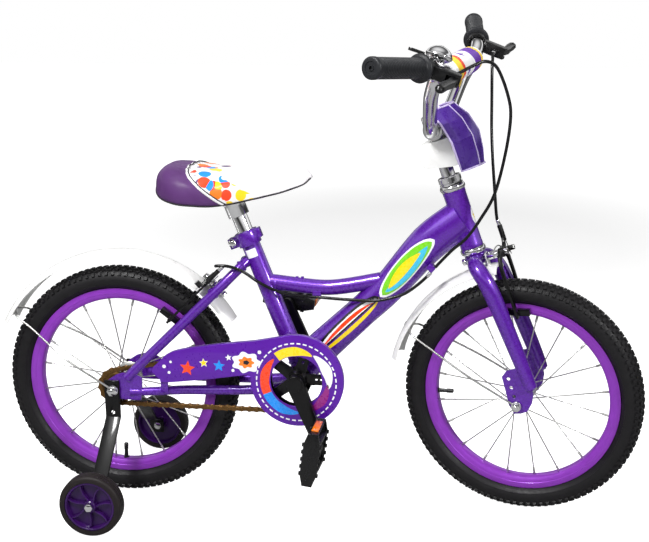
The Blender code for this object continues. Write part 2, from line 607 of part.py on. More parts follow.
def build_wheel(prefix, centre, hub_profile, flange_side, flange_radius):
    """Tyre, rim, and hub with its spokes, all turning about one axle."""
    half_rim = RIM_WIDTH / 2
    bead = RIM_INNER_RADIUS + 0.008
    rim_profile = [(-half_rim, RIM_RADIUS), (-half_rim + 0.002, RIM_RADIUS), (-half_rim + 0.003, bead),
                   (half_rim - 0.003, bead), (half_rim - 0.002, RIM_RADIUS), (half_rim, RIM_RADIUS),
                   (half_rim - 0.005, RIM_INNER_RADIUS), (-half_rim + 0.005, RIM_INNER_RADIUS)]
    rim = revolve(prefix + "_rim", rim_profile, centre, VIOLET_RIM, segments=WHEEL_SEGMENTS, flat=True)
    half = TYRE_WIDTH / 2
    side_profile = [(half_rim - 0.0033, bead + GAP), (half_rim - 0.0024, RIM_RADIUS + 0.001), (half, 0.1730),
                    (half * 0.84, 0.1875), (0.006, TYRE_RADIUS)]
    profile = side_profile + [(-a, r) for a, r in reversed(side_profile)]
    tyre = revolve(prefix + "_tyre", profile, centre, BLACK_RUBBER, segments=WHEEL_SEGMENTS, flat=True)
    hub = revolve(prefix + "_hub_and_spokes", hub_profile, centre, ZINC, segments=14)
    spokes = []
    for index in range(SPOKES):
        turn = 2 * math.pi * (index + 0.5) / SPOKES
        lean = turn + (0.33 if index % 4 < 2 else -0.33)
        side = flange_side if index % 2 else -flange_side
        outward = Vector((math.cos(turn), 0.0, math.sin(turn)))
        foot = Vector((math.cos(lean), 0.0, math.sin(lean))) * (flange_radius - 0.003)
        spokes.append(cylinder("spoke", centre + foot + Y_AXIS * side,
                               centre + outward * (RIM_INNER_RADIUS - GAP) + Y_AXIS * (side * 0.12),
                               SPOKE_RADIUS, ZINC, sides=3))
    return tyre, rim, unite(hub, *spokes)


def build_rear_wheel():
    """Rear wheel, its axle with locknuts and nuts, and the freewheel sprocket."""
    bore = REAR_AXLE_RADIUS + GAP
    hub_profile = [(-0.0465, bore), (-0.0465, 0.0145), (-0.0280, 0.0145), (-0.0270, 0.022), (-0.0235, 0.022),
                   (-0.0210, 0.013), (0.0210, 0.013), (0.0235, 0.022), (0.0270, 0.022), (0.0280, 0.011),
                   (0.0465, 0.010), (0.0465, bore)]
    tyre, rim, hub = build_wheel("rear", REAR_CENTRE, hub_profile, 0.0252, 0.022)
    end_face = REAR_HUB_SPACING / 2 - GAP
    stack = DROPOUT_THICKNESS + STABILISER_STRIP_THICKNESS + 2 * STAY_WIRE_RADIUS + 3 * GAP
    nut_start = REAR_HUB_SPACING / 2 + stack
    half_profile = [(0.0468, REAR_AXLE_RADIUS), (0.0468, 0.009), (end_face, 0.009), (end_face, REAR_AXLE_RADIUS),
                    (nut_start, REAR_AXLE_RADIUS), (nut_start, NUT_RADIUS), (nut_start + 0.0065, NUT_RADIUS),
                    (nut_start + 0.0065, REAR_AXLE_RADIUS), (nut_start + 0.010, REAR_AXLE_RADIUS),
                    (nut_start + 0.010, 0.0)]
    profile = [(-a, r) for a, r in reversed(half_profile)] + half_profile
    axle = revolve("rear_axle", profile, REAR_CENTRE, CHROME, segments=8)
    root = SPROCKET_PITCH_RADIUS - CHAIN_HALF_HEIGHT - GAP
    body = 0.0145 + GAP
    near, far = CHAIN_PLANE - 0.0015, CHAIN_PLANE + 0.0015
    free_profile = [(-0.0460, body), (-0.0460, 0.0195), (near, 0.0205), (near, root), (far, root), (far, 0.0205),
                    (-0.0310, 0.0205), (-0.0310, body)]
    freewheel = revolve("freewheel_sprocket", free_profile, REAR_CENTRE, CHAIN_STEEL, segments=16)
    return tyre, rim, hub, axle, freewheel


def build_front_wheel():
    """Front wheel and its axle with locknuts and nuts."""
    bore = FRONT_AXLE_RADIUS + GAP
    hub_profile = [(-0.0365, bore), (-0.0365, 0.0105), (-0.0310, 0.0105), (-0.0310, 0.0175), (-0.0280, 0.0175),
                   (-0.0260, 0.0105), (0.0260, 0.0105), (0.0280, 0.0175), (0.0310, 0.0175), (0.0310, 0.0105),
                   (0.0365, 0.0105), (0.0365, bore)]
    tyre, rim, hub = build_wheel("front", FRONT_CENTRE, hub_profile, 0.0295, 0.0175)
    end_face = FRONT_HUB_SPACING / 2 - GAP
    nut_start = FRONT_HUB_SPACING / 2 + FORK_END_THICKNESS + 2 * STAY_WIRE_RADIUS + 2 * GAP
    half_profile = [(0.0368, FRONT_AXLE_RADIUS), (0.0368, 0.0085), (end_face, 0.0085),
                    (end_face, FRONT_AXLE_RADIUS), (nut_start, FRONT_AXLE_RADIUS), (nut_start, 0.0075),
                    (nut_start + 0.0055, 0.0075),
                    (nut_start + 0.0055, FRONT_AXLE_RADIUS), (nut_start + 0.008, FRONT_AXLE_RADIUS),
                    (nut_start + 0.008, 0.0)]
    profile = [(-a, r) for a, r in reversed(half_profile)] + half_profile
    axle = revolve("front_axle", profile, FRONT_CENTRE, CHROME, segments=8)
    return tyre, rim, hub, axle


def mudguard_bracket(end):
    """Strip from the front guard up to the crown's bolt, or the foot of the rear guard under the bridge."""
    if end == "front":
        placement = frame_matrix(on_steering(CROWN_HEIGHT), STEER_FORWARD, Y_AXIS, STEER_UP)
        strip = box("strip", (CROWN_SUPPORT - BRACKET_STRIP_THICKNESS, -0.007, -0.0160),
                    (CROWN_SUPPORT, 0.007, 0.0065), WHITE_PLASTIC, placement)
        hole = cylinder("hole", on_steering(CROWN_HEIGHT, 0.01), on_steering(CROWN_HEIGHT, 0.03),
                        BRAKE_BOLT_RADIUS + GAP, WHITE_PLASTIC, sides=12)
        return cut(strip, hole)
    radial = BRIDGE_CENTRE - REAR_CENTRE
    reach = radial.length - BRIDGE_RADIUS * math.cos(math.pi / 8) - GAP
    placement = frame_matrix(REAR_CENTRE, radial.normalized(), Y_AXIS, radial.normalized().cross(Y_AXIS))
    return box("foot", (MUDGUARD_RADIUS - 0.0013, -0.012, -0.008), (reach, 0.012, 0.008), WHITE_PLASTIC, placement)


def build_mudguard(prefix, centre, arc, axle_side, stay_angle):
    """Curved guard over a wheel and the wire stay that carries its end from the axle."""
    outer = [(-1.0, 1.0), (-0.90, 0.50), (-0.60, 0.10), (0.0, 0.0), (0.60, 0.10), (0.90, 0.50), (1.0, 1.0)]
    half, drop, wall = MUDGUARD_HALF_WIDTH, MUDGUARD_DROP, MUDGUARD_THICKNESS
    inner_half = half - wall
    profile = [(y * half, MUDGUARD_RADIUS - d * drop) for y, d in outer]
    profile += [(y * inner_half, MUDGUARD_RADIUS - wall - d * (drop - wall)) for y, d in reversed(outer)]
    steps = round((arc[1] - arc[0]) / 8.8)
    guard = revolve(prefix + "_mudguard", profile, centre, WHITE_PLASTIC, segments=steps, arc=arc)
    guard = unite(guard, mudguard_bracket(prefix))
    crossing = MUDGUARD_RADIUS - drop - GAP - STAY_WIRE_RADIUS
    half_facet = math.radians((arc[1] - arc[0]) / steps / 2)
    ceiling = MUDGUARD_RADIUS * math.cos(half_facet) - wall - GAP - STAY_WIRE_RADIUS
    tangent_angle = math.radians(stay_angle)
    radial = Vector((math.cos(tangent_angle), 0.0, math.sin(tangent_angle)))
    eye_side = axle_side + GAP + STAY_WIRE_RADIUS
    eye_radius = 0.0065
    corner = MUDGUARD_HALF_WIDTH - 0.002
    half_route = [centre + radial * eye_radius + Y_AXIS * eye_side,
                  centre + radial * 0.030 + Y_AXIS * eye_side,
                  centre + radial * (crossing * 0.45) + Y_AXIS * (eye_side - 0.002),
                  centre + radial * (crossing * 0.80) + Y_AXIS * (corner + 0.010),
                  centre + radial * (crossing * 0.955) + Y_AXIS * (corner + 0.003),
                  centre + radial * crossing + Y_AXIS * (corner - 0.006)]
    mirrored = [Vector((p.x, -p.y, p.z)) for p in half_route]
    route = [*half_route, centre + radial * ceiling, *mirrored[::-1]]
    wire = tube(prefix + "_mudguard_stay", smooth_path(route, 2), STAY_WIRE_RADIUS, ZINC, sides=6,
                straighten=8.0)
    eyes = []
    for side in (1, -1):
        profile = [(-STAY_WIRE_RADIUS, 0.0052), (-STAY_WIRE_RADIUS, 0.0080), (STAY_WIRE_RADIUS, 0.0080),
                   (STAY_WIRE_RADIUS, 0.0052)]
        eyes.append(revolve("eye", profile, centre + Y_AXIS * (side * eye_side), ZINC, segments=10))
    return guard, unite(wire, *eyes)


def build_brake(end, centre, reach, drop, cable_side):
    """Side-pull brake: centre bolt and two arms with pads; the cable pulls on one side."""
    out = bolt_direction(end)
    up = STEER_UP if end == "front" else Vector((out.z, 0.0, -out.x))
    placement = frame_matrix(centre, Y_AXIS, out, up)
    layers = {cable_side: reach, -cable_side: reach + BRAKE_ARM_THICKNESS + GAP}
    bolt_end = reach + 2 * BRAKE_ARM_THICKNESS + 2 * GAP
    back = -BRIDGE_RADIUS - 0.002 if end == "rear" else -STEERER_RADIUS - 0.004
    support = BRIDGE_RADIUS if end == "rear" else CROWN_SUPPORT
    bolt_profile = [(back - 0.006, 0.0), (back - 0.006, 0.0055), (back, 0.0055), (back, BRAKE_BOLT_RADIUS),
                    (support + GAP, BRAKE_BOLT_RADIUS), (support + GAP, 0.0065), (reach - GAP, 0.0065),
                    (reach - GAP, BRAKE_BOLT_RADIUS), (bolt_end, BRAKE_BOLT_RADIUS), (bolt_end, 0.006),
                    (bolt_end + 0.006, 0.006), (bolt_end + 0.006, 0.0)]
    bolt = revolve(end + "_brake_bolt", bolt_profile, centre, CHROME, segments=8, axis=out)
    arms = {}
    pad_face = RIM_WIDTH / 2 + BRAKE_PAD_CLEARANCE
    middle = reach + BRAKE_ARM_THICKNESS + GAP / 2
    wheel_centre = FRONT_CENTRE if end == "front" else REAR_CENTRE
    radial = (placement @ Vector((0.0, middle, -drop)) - wheel_centre).normalized()
    tangent = (out - radial * out.dot(radial)).normalized()
    pad_frame = frame_matrix(wheel_centre + radial * PAD_TRACK_RADIUS, Y_AXIS, tangent, radial)
    for side in (1, -1):
        near, far = layers[side], layers[side] + BRAKE_ARM_THICKNESS
        line = [(0.0, 0.0), (side * 0.018, 0.002), (side * 0.030, -0.004), (side * 0.0370, -0.018),
                (side * 0.0375, -0.045), (side * 0.0335, -drop - 0.006)]
        trim = 0.0001
        arm = slab("arm", strip_outline(line, 0.010), near + trim, far - trim, BLACK_STEEL, placement)
        ring = cylinder("ring", centre + out * near, centre + out * far, 0.0078, BLACK_STEEL, sides=10)
        if side == cable_side:
            tail_line = [(side * 0.024, 0.000), (side * 0.034, 0.006), (side * 0.038, 0.014)]
            barrel_foot = centre + out * (near + 0.003) + Y_AXIS * (side * 0.038) + up * 0.010
            barrel = cylinder("barrel", barrel_foot, barrel_foot + up * 0.026, 0.0042, BLACK_STEEL, sides=6)
        else:
            tail_line = [(side * 0.002, 0.0), (-side * 0.018, -0.003), (-side * 0.038, -0.004)]
            clamp_foot = centre + out * (near + 0.001) - Y_AXIS * (side * 0.038) - up * 0.004
            barrel = cylinder("clamp", clamp_foot, clamp_foot + out * 0.009, 0.0045, BLACK_STEEL, sides=6)
        tail = slab("tail", strip_outline(tail_line, 0.009), near + 2 * trim, far - 2 * trim, BLACK_STEEL,
                    placement)
        holder = cylinder("holder", placement @ Vector((side * 0.039, (near + far) / 2, -drop)),
                          pad_frame @ Vector((side * (pad_face + 0.004), 0.0, 0.0)), 0.0034, BLACK_STEEL, sides=8)
        pad = box("pad", (side * pad_face, -0.020, -0.005), (side * (pad_face + 0.009), 0.020, 0.005), BLACK_STEEL,
                  pad_frame)
        hole = cylinder("hole", centre + out * (near - 0.01), centre + out * (far + 0.01),
                        BRAKE_BOLT_RADIUS + GAP, BLACK_STEEL, sides=10)
        arm = cut(unite(arm, ring, tail, barrel, holder, pad), hole)
        arm.name = "%s_brake_arm_%s" % (end, "left" if side > 0 else "right")
        arms[side] = arm
    return bolt, arms


def build_stem():
    """Quill that slides into the steerer, with a cross clamp for the handlebar."""
    quill = cylinder("stem", on_steering(0.290), on_steering(STEM_CLAMP_HEIGHT), QUILL_RADIUS, CHROME,
                     sides=12)
    centre = on_steering(STEM_CLAMP_HEIGHT, STEM_CLAMP_FORWARD)
    half = STEM_CLAMP_WIDTH / 2
    ribs = [(-half, 0.0), (-half, STEM_CLAMP_RADIUS - 0.002), (-half + 0.003, STEM_CLAMP_RADIUS),
            (half - 0.003, STEM_CLAMP_RADIUS), (half, STEM_CLAMP_RADIUS - 0.002), (half, 0.0)]
    clamp = revolve("clamp", ribs, centre, CHROME, segments=16)
    bolt_foot = on_steering(STEM_CLAMP_HEIGHT + 0.010, -0.008)
    bolt = cylinder("bolt", bolt_foot, bolt_foot + STEER_UP * 0.012, 0.006, CHROME, sides=12)
    bore = cylinder("bore", centre - Y_AXIS * 0.04, centre + Y_AXIS * 0.04, BAR_RADIUS + 2 * GAP, CHROME,
                    sides=12)
    return cut(unite(quill, clamp, bolt), bore)


def bar_route():
    """Centre line of the handlebar's left half, from the stem's clamp to the grip's end."""
    clamp = on_steering(STEM_CLAMP_HEIGHT, STEM_CLAMP_FORWARD)
    along = GRIP_END - GRIP_START
    return [clamp, clamp + Y_AXIS * 0.027, Vector((0.521, 0.042, 0.6285)), Vector((0.5250, 0.058, 0.643)),
            Vector((0.530, 0.076, 0.664)), Vector((0.536, 0.094, 0.686)), Vector((0.5445, 0.109, 0.706)),
            Vector((0.551, 0.119, 0.7215)), Vector((0.5513, 0.1305, 0.7312)), GRIP_START - along * 0.18,
            GRIP_START, GRIP_START + along * 0.955]


def mirror(points):
    """The same points on the other side of the bicycle's middle plane."""
    return [Vector((p.x, -p.y, p.z)) for p in points]


def build_handlebar():
    """High-rise bar, bent from one tube, with a welded crossbar."""
    half_route = bar_route()
    mirrored = mirror(half_route[1:])
    bar = tube("handlebar", smooth_path(mirrored[::-1] + half_route, 2), BAR_RADIUS, CHROME, sides=8,
               straighten=5.0)
    crossbar = cylinder("crossbar", (CROSSBAR_X, -0.114, CROSSBAR_Z), (CROSSBAR_X, 0.114, CROSSBAR_Z),
                        CROSSBAR_RADIUS, CHROME, sides=8)
    return unite(bar, crossbar)


def build_crossbar_pad():
    """Foam pad round the crossbar, crowned along its length and drawn in at its ends."""
    half = PAD_LENGTH / 2
    outer = [(-half, 0.78), (-half * 0.95, 0.94), (-half * 0.6, 1.0), (half * 0.6, 1.0), (half * 0.95, 0.94),
             (half, 0.78)]
    bore = CROSSBAR_RADIUS + GAP
    profile = [(-half, bore)] + [(a, r * PAD_RADIUS) for a, r in outer] + [(half, bore)]
    return revolve("crossbar_pad", profile, Vector((CROSSBAR_X, 0, CROSSBAR_Z)), WHITE_VINYL, segments=14)


def build_grip(side):
    """Rubber grip with a hand stop and a rounded closed end."""
    start = Vector((GRIP_START.x, side * GRIP_START.y, GRIP_START.z))
    end = Vector((GRIP_END.x, side * GRIP_END.y, GRIP_END.z))
    length = (end - start).length
    inner = length * 0.955 + GAP
    bore = BAR_RADIUS + 2 * GAP
    profile = [(0.0, bore), (0.0, GRIP_FLANGE_RADIUS - 0.002), (0.002, GRIP_FLANGE_RADIUS),
               (0.006, GRIP_FLANGE_RADIUS),
               (0.010, GRIP_RADIUS), (length - 0.010, GRIP_RADIUS), (length - 0.008, GRIP_RADIUS + 0.0015),
               (length - 0.002, GRIP_RADIUS + 0.001), (length, GRIP_RADIUS - 0.003), (length, 0.0),
               (inner, 0.0), (inner, bore)]
    return revolve("grip_left" if side > 0 else "grip_right", profile + [(0.0, bore)], start, BLACK_RUBBER,
                   segments=12, axis=end - start)


def lever_frame(side):
    """Local frame of a brake lever: x outboard, y up along its pin, z forward."""
    share = (LEVER_PIVOT_SIDE - GRIP_START.y) / (GRIP_END.y - GRIP_START.y)
    bar = GRIP_START.lerp(GRIP_END, share)
    bar.y *= side
    return frame_matrix(bar, Y_AXIS * side, LEVER_AXIS, LEVER_FORWARD)


def build_lever(side):
    """Lever bracket clamped to the bar, and the blade that turns on its pin."""
    placement = lever_frame(side)
    name = "left" if side > 0 else "right"
    bar_direction = (GRIP_END - GRIP_START).normalized()
    bar_direction.y *= side
    centre = placement.translation
    ring_profile = [(-0.008, 0.0), (-0.008, 0.0155), (0.008, 0.0155), (0.008, 0.0)]
    ring = revolve("ring", ring_profile, centre, BLACK_PLASTIC, segments=12, axis=bar_direction)
    reach = LEVER_PIVOT_FORWARD
    outline = [(-0.010, 0.008), (0.008, 0.008), (0.009, reach + 0.003), (0.002, reach + 0.009),
               (-0.010, reach + 0.008), (-0.0135, reach - 0.012)]
    body = slab("body", outline, -0.009, 0.009, BLACK_PLASTIC, placement)
    adjuster = cylinder("adjuster", placement @ Vector((-0.009, 0.0, reach - 0.005)),
                        placement @ Vector((-0.022, 0.0, reach - 0.005)), 0.0045, BLACK_PLASTIC, sides=10)
    bracket = unite(ring, body, adjuster)
    slot = box("slot", (-0.0078, -0.0048, reach - 0.0105), (0.020, 0.0048, reach + 0.020), BLACK_PLASTIC,
               placement)
    bar_bore = cylinder("bar_bore", centre - bar_direction * 0.04, centre + bar_direction * 0.04,
                        BAR_RADIUS + 3 * GAP, BLACK_PLASTIC, sides=12)
    bracket = cut(bracket, slot, bar_bore)
    pin = cylinder("pin", placement @ Vector((0.0, -0.0085, reach)), placement @ Vector((0.0, 0.0085, reach)),
                   0.002, BLACK_PLASTIC, sides=10)
    bracket = unite(bracket, pin)
    bracket.name = "lever_bracket_" + name
    blade_line = [(-0.003, reach), (0.010, reach + 0.002), (0.030, reach + 0.004), (0.055, reach + 0.002),
                  (0.080, reach + 0.002)]
    blade = slab("blade", strip_outline(blade_line, 0.0105), -0.0045, 0.0045, BLACK_PLASTIC, placement)
    hub = cylinder("hub", placement @ Vector((0.0, -0.0046, reach)), placement @ Vector((0.0, 0.0046, reach)),
                   0.0070, BLACK_PLASTIC, sides=12)
    tip = revolve("tip", [(-0.0065, 0.0), (-0.0045, 0.0050), (0.0, 0.0068), (0.0045, 0.0050), (0.0065, 0.0)],
                  placement @ Vector((0.082, 0.0, reach + 0.002)), BLACK_PLASTIC, segments=12, axis=LEVER_AXIS)
    blade = unite(blade, hub, tip)
    hole = cylinder("hole", placement @ Vector((0.0, -0.02, reach)), placement @ Vector((0.0, 0.02, reach)),
                    0.002 + GAP, BLACK_PLASTIC, sides=10)
    blade = cut(blade, hole)
    blade.name = "brake_lever_" + name
    return bracket, blade


def bell_frame():
    """Local frame of the bell: x back towards the rider, y up through the dome, origin at the dome's foot."""
    back = Vector((-1.0, -0.1, 0.0))
    back = (back - BELL_AXIS * back.dot(BELL_AXIS)).normalized()
    return frame_matrix(BELL_FOOT + BELL_AXIS * BELL_STAND, back, BELL_AXIS, BELL_AXIS.cross(back))


def build_bell():
    """Bell with its clamp, base and dome, and the thumb lever that strikes it."""
    placement = bell_frame()
    base = placement.translation
    profile = [(-0.004, 0.0), (-0.004, 0.009), (0.0, 0.016), (0.003, BELL_RADIUS - 0.001), (0.006, BELL_RADIUS),
               (0.011, BELL_RADIUS - 0.002), (0.016, 0.0135), (0.0195, 0.0065), (0.0205, 0.0)]
    body = revolve("bell", profile, base, CHROME, segments=14, axis=BELL_AXIS)
    along = BELL_AXIS.cross(Vector((1.0, 0.0, -BELL_AXIS.x / BELL_AXIS.z))).normalized()
    ring = revolve("ring", [(-0.004, 0.0), (-0.004, 0.0145), (0.004, 0.0145), (0.004, 0.0)], BELL_FOOT, CHROME,
                   segments=12, axis=along)
    body = unite(body, ring)
    bore = tube("bore", smooth_path(mirror(bar_route()[6:11]), 2), BAR_RADIUS + 3 * GAP, CHROME, sides=12)
    body = cut(body, bore)
    pin = BELL_LEVER_PIVOT
    outline = link_outline((pin, 0.0), 0.0035, (pin + 0.0155, 0.004), 0.005)
    lever = slab("bell_lever", outline, 0.0005, 0.0045, BLACK_PLASTIC, placement)
    ear = box("ear", (0.012, -0.0030, -0.004), (0.0280, GAP, 0.004), BLACK_PLASTIC, placement)
    post = cylinder("post", placement @ Vector((pin, -0.001, 0.0)), placement @ Vector((pin, 0.0045, 0.0)),
                    0.0015, BLACK_PLASTIC, sides=8)
    body = unite(body, ear, post)
    hole = cylinder("hole", placement @ Vector((pin, -0.01, 0.0)), placement @ Vector((pin, 0.02, 0.0)),
                    0.0015 + GAP, BLACK_PLASTIC, sides=8)
    return body, cut(lever, hole)


def build_front_plate():
    """Faceted plate in front of the stem, and the white box behind it that wraps the quill."""
    placement = frame_matrix(STEER_FOOT, STEER_FORWARD, Y_AXIS, STEER_UP)
    bm = bmesh.new()
    heights = [0.380, 0.400, 0.428, 0.458, 0.482]
    halves = [0.026, 0.040, 0.048, 0.045, 0.030]
    edge_forward = [0.042, 0.046, 0.048, 0.040, 0.024]
    rings = []
    for shell_in in (0.0, 0.003):
        columns = []
        for up, half, edge in zip(heights, halves, edge_forward):
            fronts = [edge - 0.012, edge, edge + 0.015, edge + 0.020, edge + 0.015, edge, edge - 0.012]
            sides = [-half, -half * 0.93, -half * 0.45, 0.0, half * 0.45, half * 0.93, half]
            columns.append([bm.verts.new(placement @ Vector((f - shell_in, s * (1.0 - shell_in * 8), up)))
                            for f, s in zip(fronts, sides)])
        rings.append(columns)
    front, rear = rings
    rows, cols = len(heights), 7
    for row in range(rows - 1):
        for col in range(cols - 1):
            bm.faces.new([front[row][col], front[row][col + 1], front[row + 1][col + 1], front[row + 1][col]])
            bm.faces.new([rear[row][col], rear[row + 1][col], rear[row + 1][col + 1], rear[row][col + 1]])
    for col in range(cols - 1):
        for row in (0, rows - 1):
            bm.faces.new([front[row][col], front[row][col + 1], rear[row][col + 1], rear[row][col]])
    for row in range(rows - 1):
        for col in (0, cols - 1):
            bm.faces.new([front[row][col], front[row + 1][col], rear[row + 1][col], rear[row][col]])
    plate = finish_bmesh("front_plate", bm, PURPLE_PAINT)
    top = STEM_CLAMP_HEIGHT - STEM_CLAMP_RADIUS - GAP
    outline = [(-0.024, 0.398), (0.024, 0.390), (0.036, 0.394), (0.048, 0.408), (0.049, top - 0.004),
               (0.045, top), (-0.024, top), (-0.030, top - 0.006), (-0.030, 0.405)]
    housing = slab("front_plate_housing", outline, -0.025, 0.025, WHITE_PLASTIC, placement)
    nose = slab("nose", [(0.040, 0.406), (0.0623, 0.406), (0.0639, 0.426), (0.040, 0.426)], -0.003, 0.003,
                WHITE_PLASTIC, placement)
    housing = unite(housing, nose)
    bore = cylinder("bore", on_steering(0.36), on_steering(0.46), QUILL_RADIUS + GAP, WHITE_PLASTIC, sides=16)
    return plate, cut(housing, bore)


def build_saddle():
    """Padded cover with a crown and drawn-in sides, its base, and the rails with their clamp on the post."""
    stations = [0.077, 0.083, 0.097, 0.122, 0.148, 0.172, 0.197, 0.222, 0.250, 0.276, 0.298, 0.313, 0.321]
    halves = [0.024, 0.047, 0.066, 0.079, 0.079, 0.070, 0.052, 0.036, 0.028, 0.0255, 0.023, 0.017, 0.008]
    tops = [0.538, 0.553, 0.562, 0.561, 0.558, 0.5562, 0.5562, 0.5575, 0.5605, 0.5625, 0.561, 0.556, 0.548]
    bottoms = [0.528, 0.519, 0.512, 0.507, 0.5050, 0.503, 0.5035, 0.507, 0.513, 0.5195, 0.527, 0.533, 0.5405]
    ring = [(-1.0, 0.10), (-1.0, 0.38), (-0.93, 0.66), (-0.74, 0.88), (-0.40, 0.98), (0.0, 1.0), (0.40, 0.98),
            (0.74, 0.88), (0.93, 0.66), (1.0, 0.38), (1.0, 0.10), (0.94, 0.0)]
    wall, lift = 0.010, 0.40
    bm = bmesh.new()
    loops = []
    for x, half, top, bottom in zip(stations, halves, tops, bottoms):
        height = top - bottom
        inner = max(half - wall, half * 0.55)
        points = [(y * half, bottom + h * height) for y, h in ring]
        points += [(inner, bottom + 0.001), (inner * 0.92, bottom + lift * height),
                   (-inner * 0.92, bottom + lift * height), (-inner, bottom + 0.001), (-half * 0.94, bottom)]
        loops.append([bm.verts.new((x, y, z)) for y, z in points])
    count = len(loops[0])
    for first, second in zip(loops, loops[1:]):
        for index in range(count):
            following = (index + 1) % count
            bm.faces.new([first[index], first[following], second[following], second[index]])
    bm.faces.new(loops[0])
    bm.faces.new(loops[-1])
    cover = finish_bmesh("saddle_cover", bm, WHITE_VINYL)
    bm = bmesh.new()
    base_loops = []
    for x, half, top, bottom in list(zip(stations, halves, tops, bottoms))[2:-2]:
        inner = max(half - wall, half * 0.55) * 0.92 - 0.001
        ceiling = bottom + lift * (top - bottom) - GAP
        section = [(-inner, ceiling), (inner, ceiling), (inner, ceiling - 0.003), (-inner, ceiling - 0.003)]
        base_loops.append([bm.verts.new((x, y, z)) for y, z in section])
    for first, second in zip(base_loops, base_loops[1:]):
        for index in range(4):
            following = (index + 1) % 4
            bm.faces.new([first[index], first[following], second[following], second[index]])
    bm.faces.new(base_loops[0])
    bm.faces.new(base_loops[-1])
    base = finish_bmesh("saddle_base", bm, BLACK_PLASTIC)
    return cover, base


def build_seat_post():
    """Straight post, chamfered at its foot."""
    length = SEAT_POST_TOP - SEAT_POST_BOTTOM
    profile = [(0.0, 0.0), (0.0, SEAT_POST_RADIUS - 0.001), (0.001, SEAT_POST_RADIUS),
               (length, SEAT_POST_RADIUS), (length, 0.0)]
    return revolve("seat_post", profile, on_seat_tube(SEAT_POST_BOTTOM), CHROME, segments=16, axis=SEAT_UP)


def build_saddle_frame():
    """Clamp on the post's top and the two wire rails that carry the saddle's base."""
    rails = []
    for side in (1, -1):
        route = [(0.112, side * 0.040, 0.5235), (0.128, side * 0.036, 0.5120), (0.160, side * 0.024, 0.5085),
                 (0.200, side * 0.0215, 0.5085), (0.232, side * 0.0140, 0.5100), (0.2535, side * 0.008, 0.5165),
                 (0.258, side * 0.008, 0.5286)]
        rails.append(tube("rail", smooth_path(route, 2), 0.0034, BLACK_STEEL, sides=6, straighten=5.0))
    clamp = cylinder("saddle_frame", on_seat_tube(SEAT_POST_TOP - 0.024), on_seat_tube(SEAT_POST_TOP + 0.001),
                     SEAT_POST_RADIUS + 0.0045, BLACK_STEEL, sides=14)
    ears = box("ears", (0.186, -0.026, 0.499), (0.209, 0.026, 0.5125), BLACK_STEEL)
    bore = cylinder("bore", on_seat_tube(SEAT_POST_TOP - 0.05), on_seat_tube(SEAT_POST_TOP + GAP),
                    SEAT_POST_RADIUS + GAP, BLACK_STEEL, sides=16)
    return cut(unite(clamp, ears, *rails), bore)


def build_crank():
    """One-piece crank: spindle, two arms and the pedal spindles screwed into them."""
    down = Vector((math.sin(CRANK_ANGLE), 0.0, -math.cos(CRANK_ANGLE)))
    half_spindle = Y_AXIS * 0.066
    spindle = cylinder("crank", BRACKET_CENTRE - half_spindle, BRACKET_CENTRE + half_spindle, SPINDLE_RADIUS,
                       BLACK_STEEL, sides=14)
    parts = []
    for side in (1, -1):
        eye = BRACKET_CENTRE + down * (CRANK_LENGTH * -side)
        inner, outer = side * CRANK_INNER, side * (CRANK_INNER + CRANK_THICKNESS)
        outline = link_outline((BRACKET_X, BRACKET_Z), 0.014, (eye.x, eye.z), 0.0095)
        parts.append(slab("arm", outline, inner, outer, BLACK_STEEL))
        parts.append(cylinder("boss", BRACKET_CENTRE + Y_AXIS * (inner + side * 0.003),
                              BRACKET_CENTRE + Y_AXIS * (outer + side * 0.003), 0.0125, BLACK_STEEL, sides=16))
        spindle_end = eye + Y_AXIS * (outer + side * (PEDAL_WIDTH - 0.004))
        parts.append(cylinder("pedal_spindle", eye + Y_AXIS * (outer - side * 0.004), spindle_end,
                              PEDAL_AXLE_RADIUS, BLACK_STEEL, sides=10))
    return unite(spindle, *parts)


def build_chainring():
    """Chainring on a five-armed spider, each arm with two square holes."""
    root = CHAINRING_PITCH_RADIUS - CHAIN_HALF_HEIGHT - GAP
    ring = revolve("chainring", [(CHAIN_PLANE - 0.0015, 0.0435), (CHAIN_PLANE - 0.0015, root),
                                 (CHAIN_PLANE + 0.0015, root), (CHAIN_PLANE + 0.0015, 0.0435)],
                   BRACKET_CENTRE, BLACK_STEEL, segments=28)
    ring.name = "ring"
    near, far = CHAIN_PLANE - 0.0065, CHAIN_PLANE + 0.0010
    bore = SPINDLE_RADIUS + GAP
    boss = revolve("chainring", [(near - 0.0105, bore), (near - 0.0105, 0.015), (far, 0.017), (far, bore)],
                   BRACKET_CENTRE, BLACK_STEEL, segments=12)
    arms, holes = [], []
    for index in range(5):
        turn = Matrix.Rotation(-math.radians(72.0 * index), 4, "Y")
        placement = Matrix.Translation(BRACKET_CENTRE) @ turn
        outline = [(0.012, -0.010), (0.030, -0.0085), (0.0470, -0.0085), (0.0470, 0.0085), (0.030, 0.0085),
                   (0.012, 0.010)]
        arms.append(slab("spider_arm", outline, near + 0.0002, CHAIN_PLANE - 0.0005, BLACK_STEEL, placement))
        for x in (0.0305, 0.0385):
            holes.append(box("hole", (x - 0.0022, -0.06, -0.0022), (x + 0.0022, -0.02, 0.0022), BLACK_STEEL,
                             placement))
    return cut(unite(boss, ring, *arms), *holes)


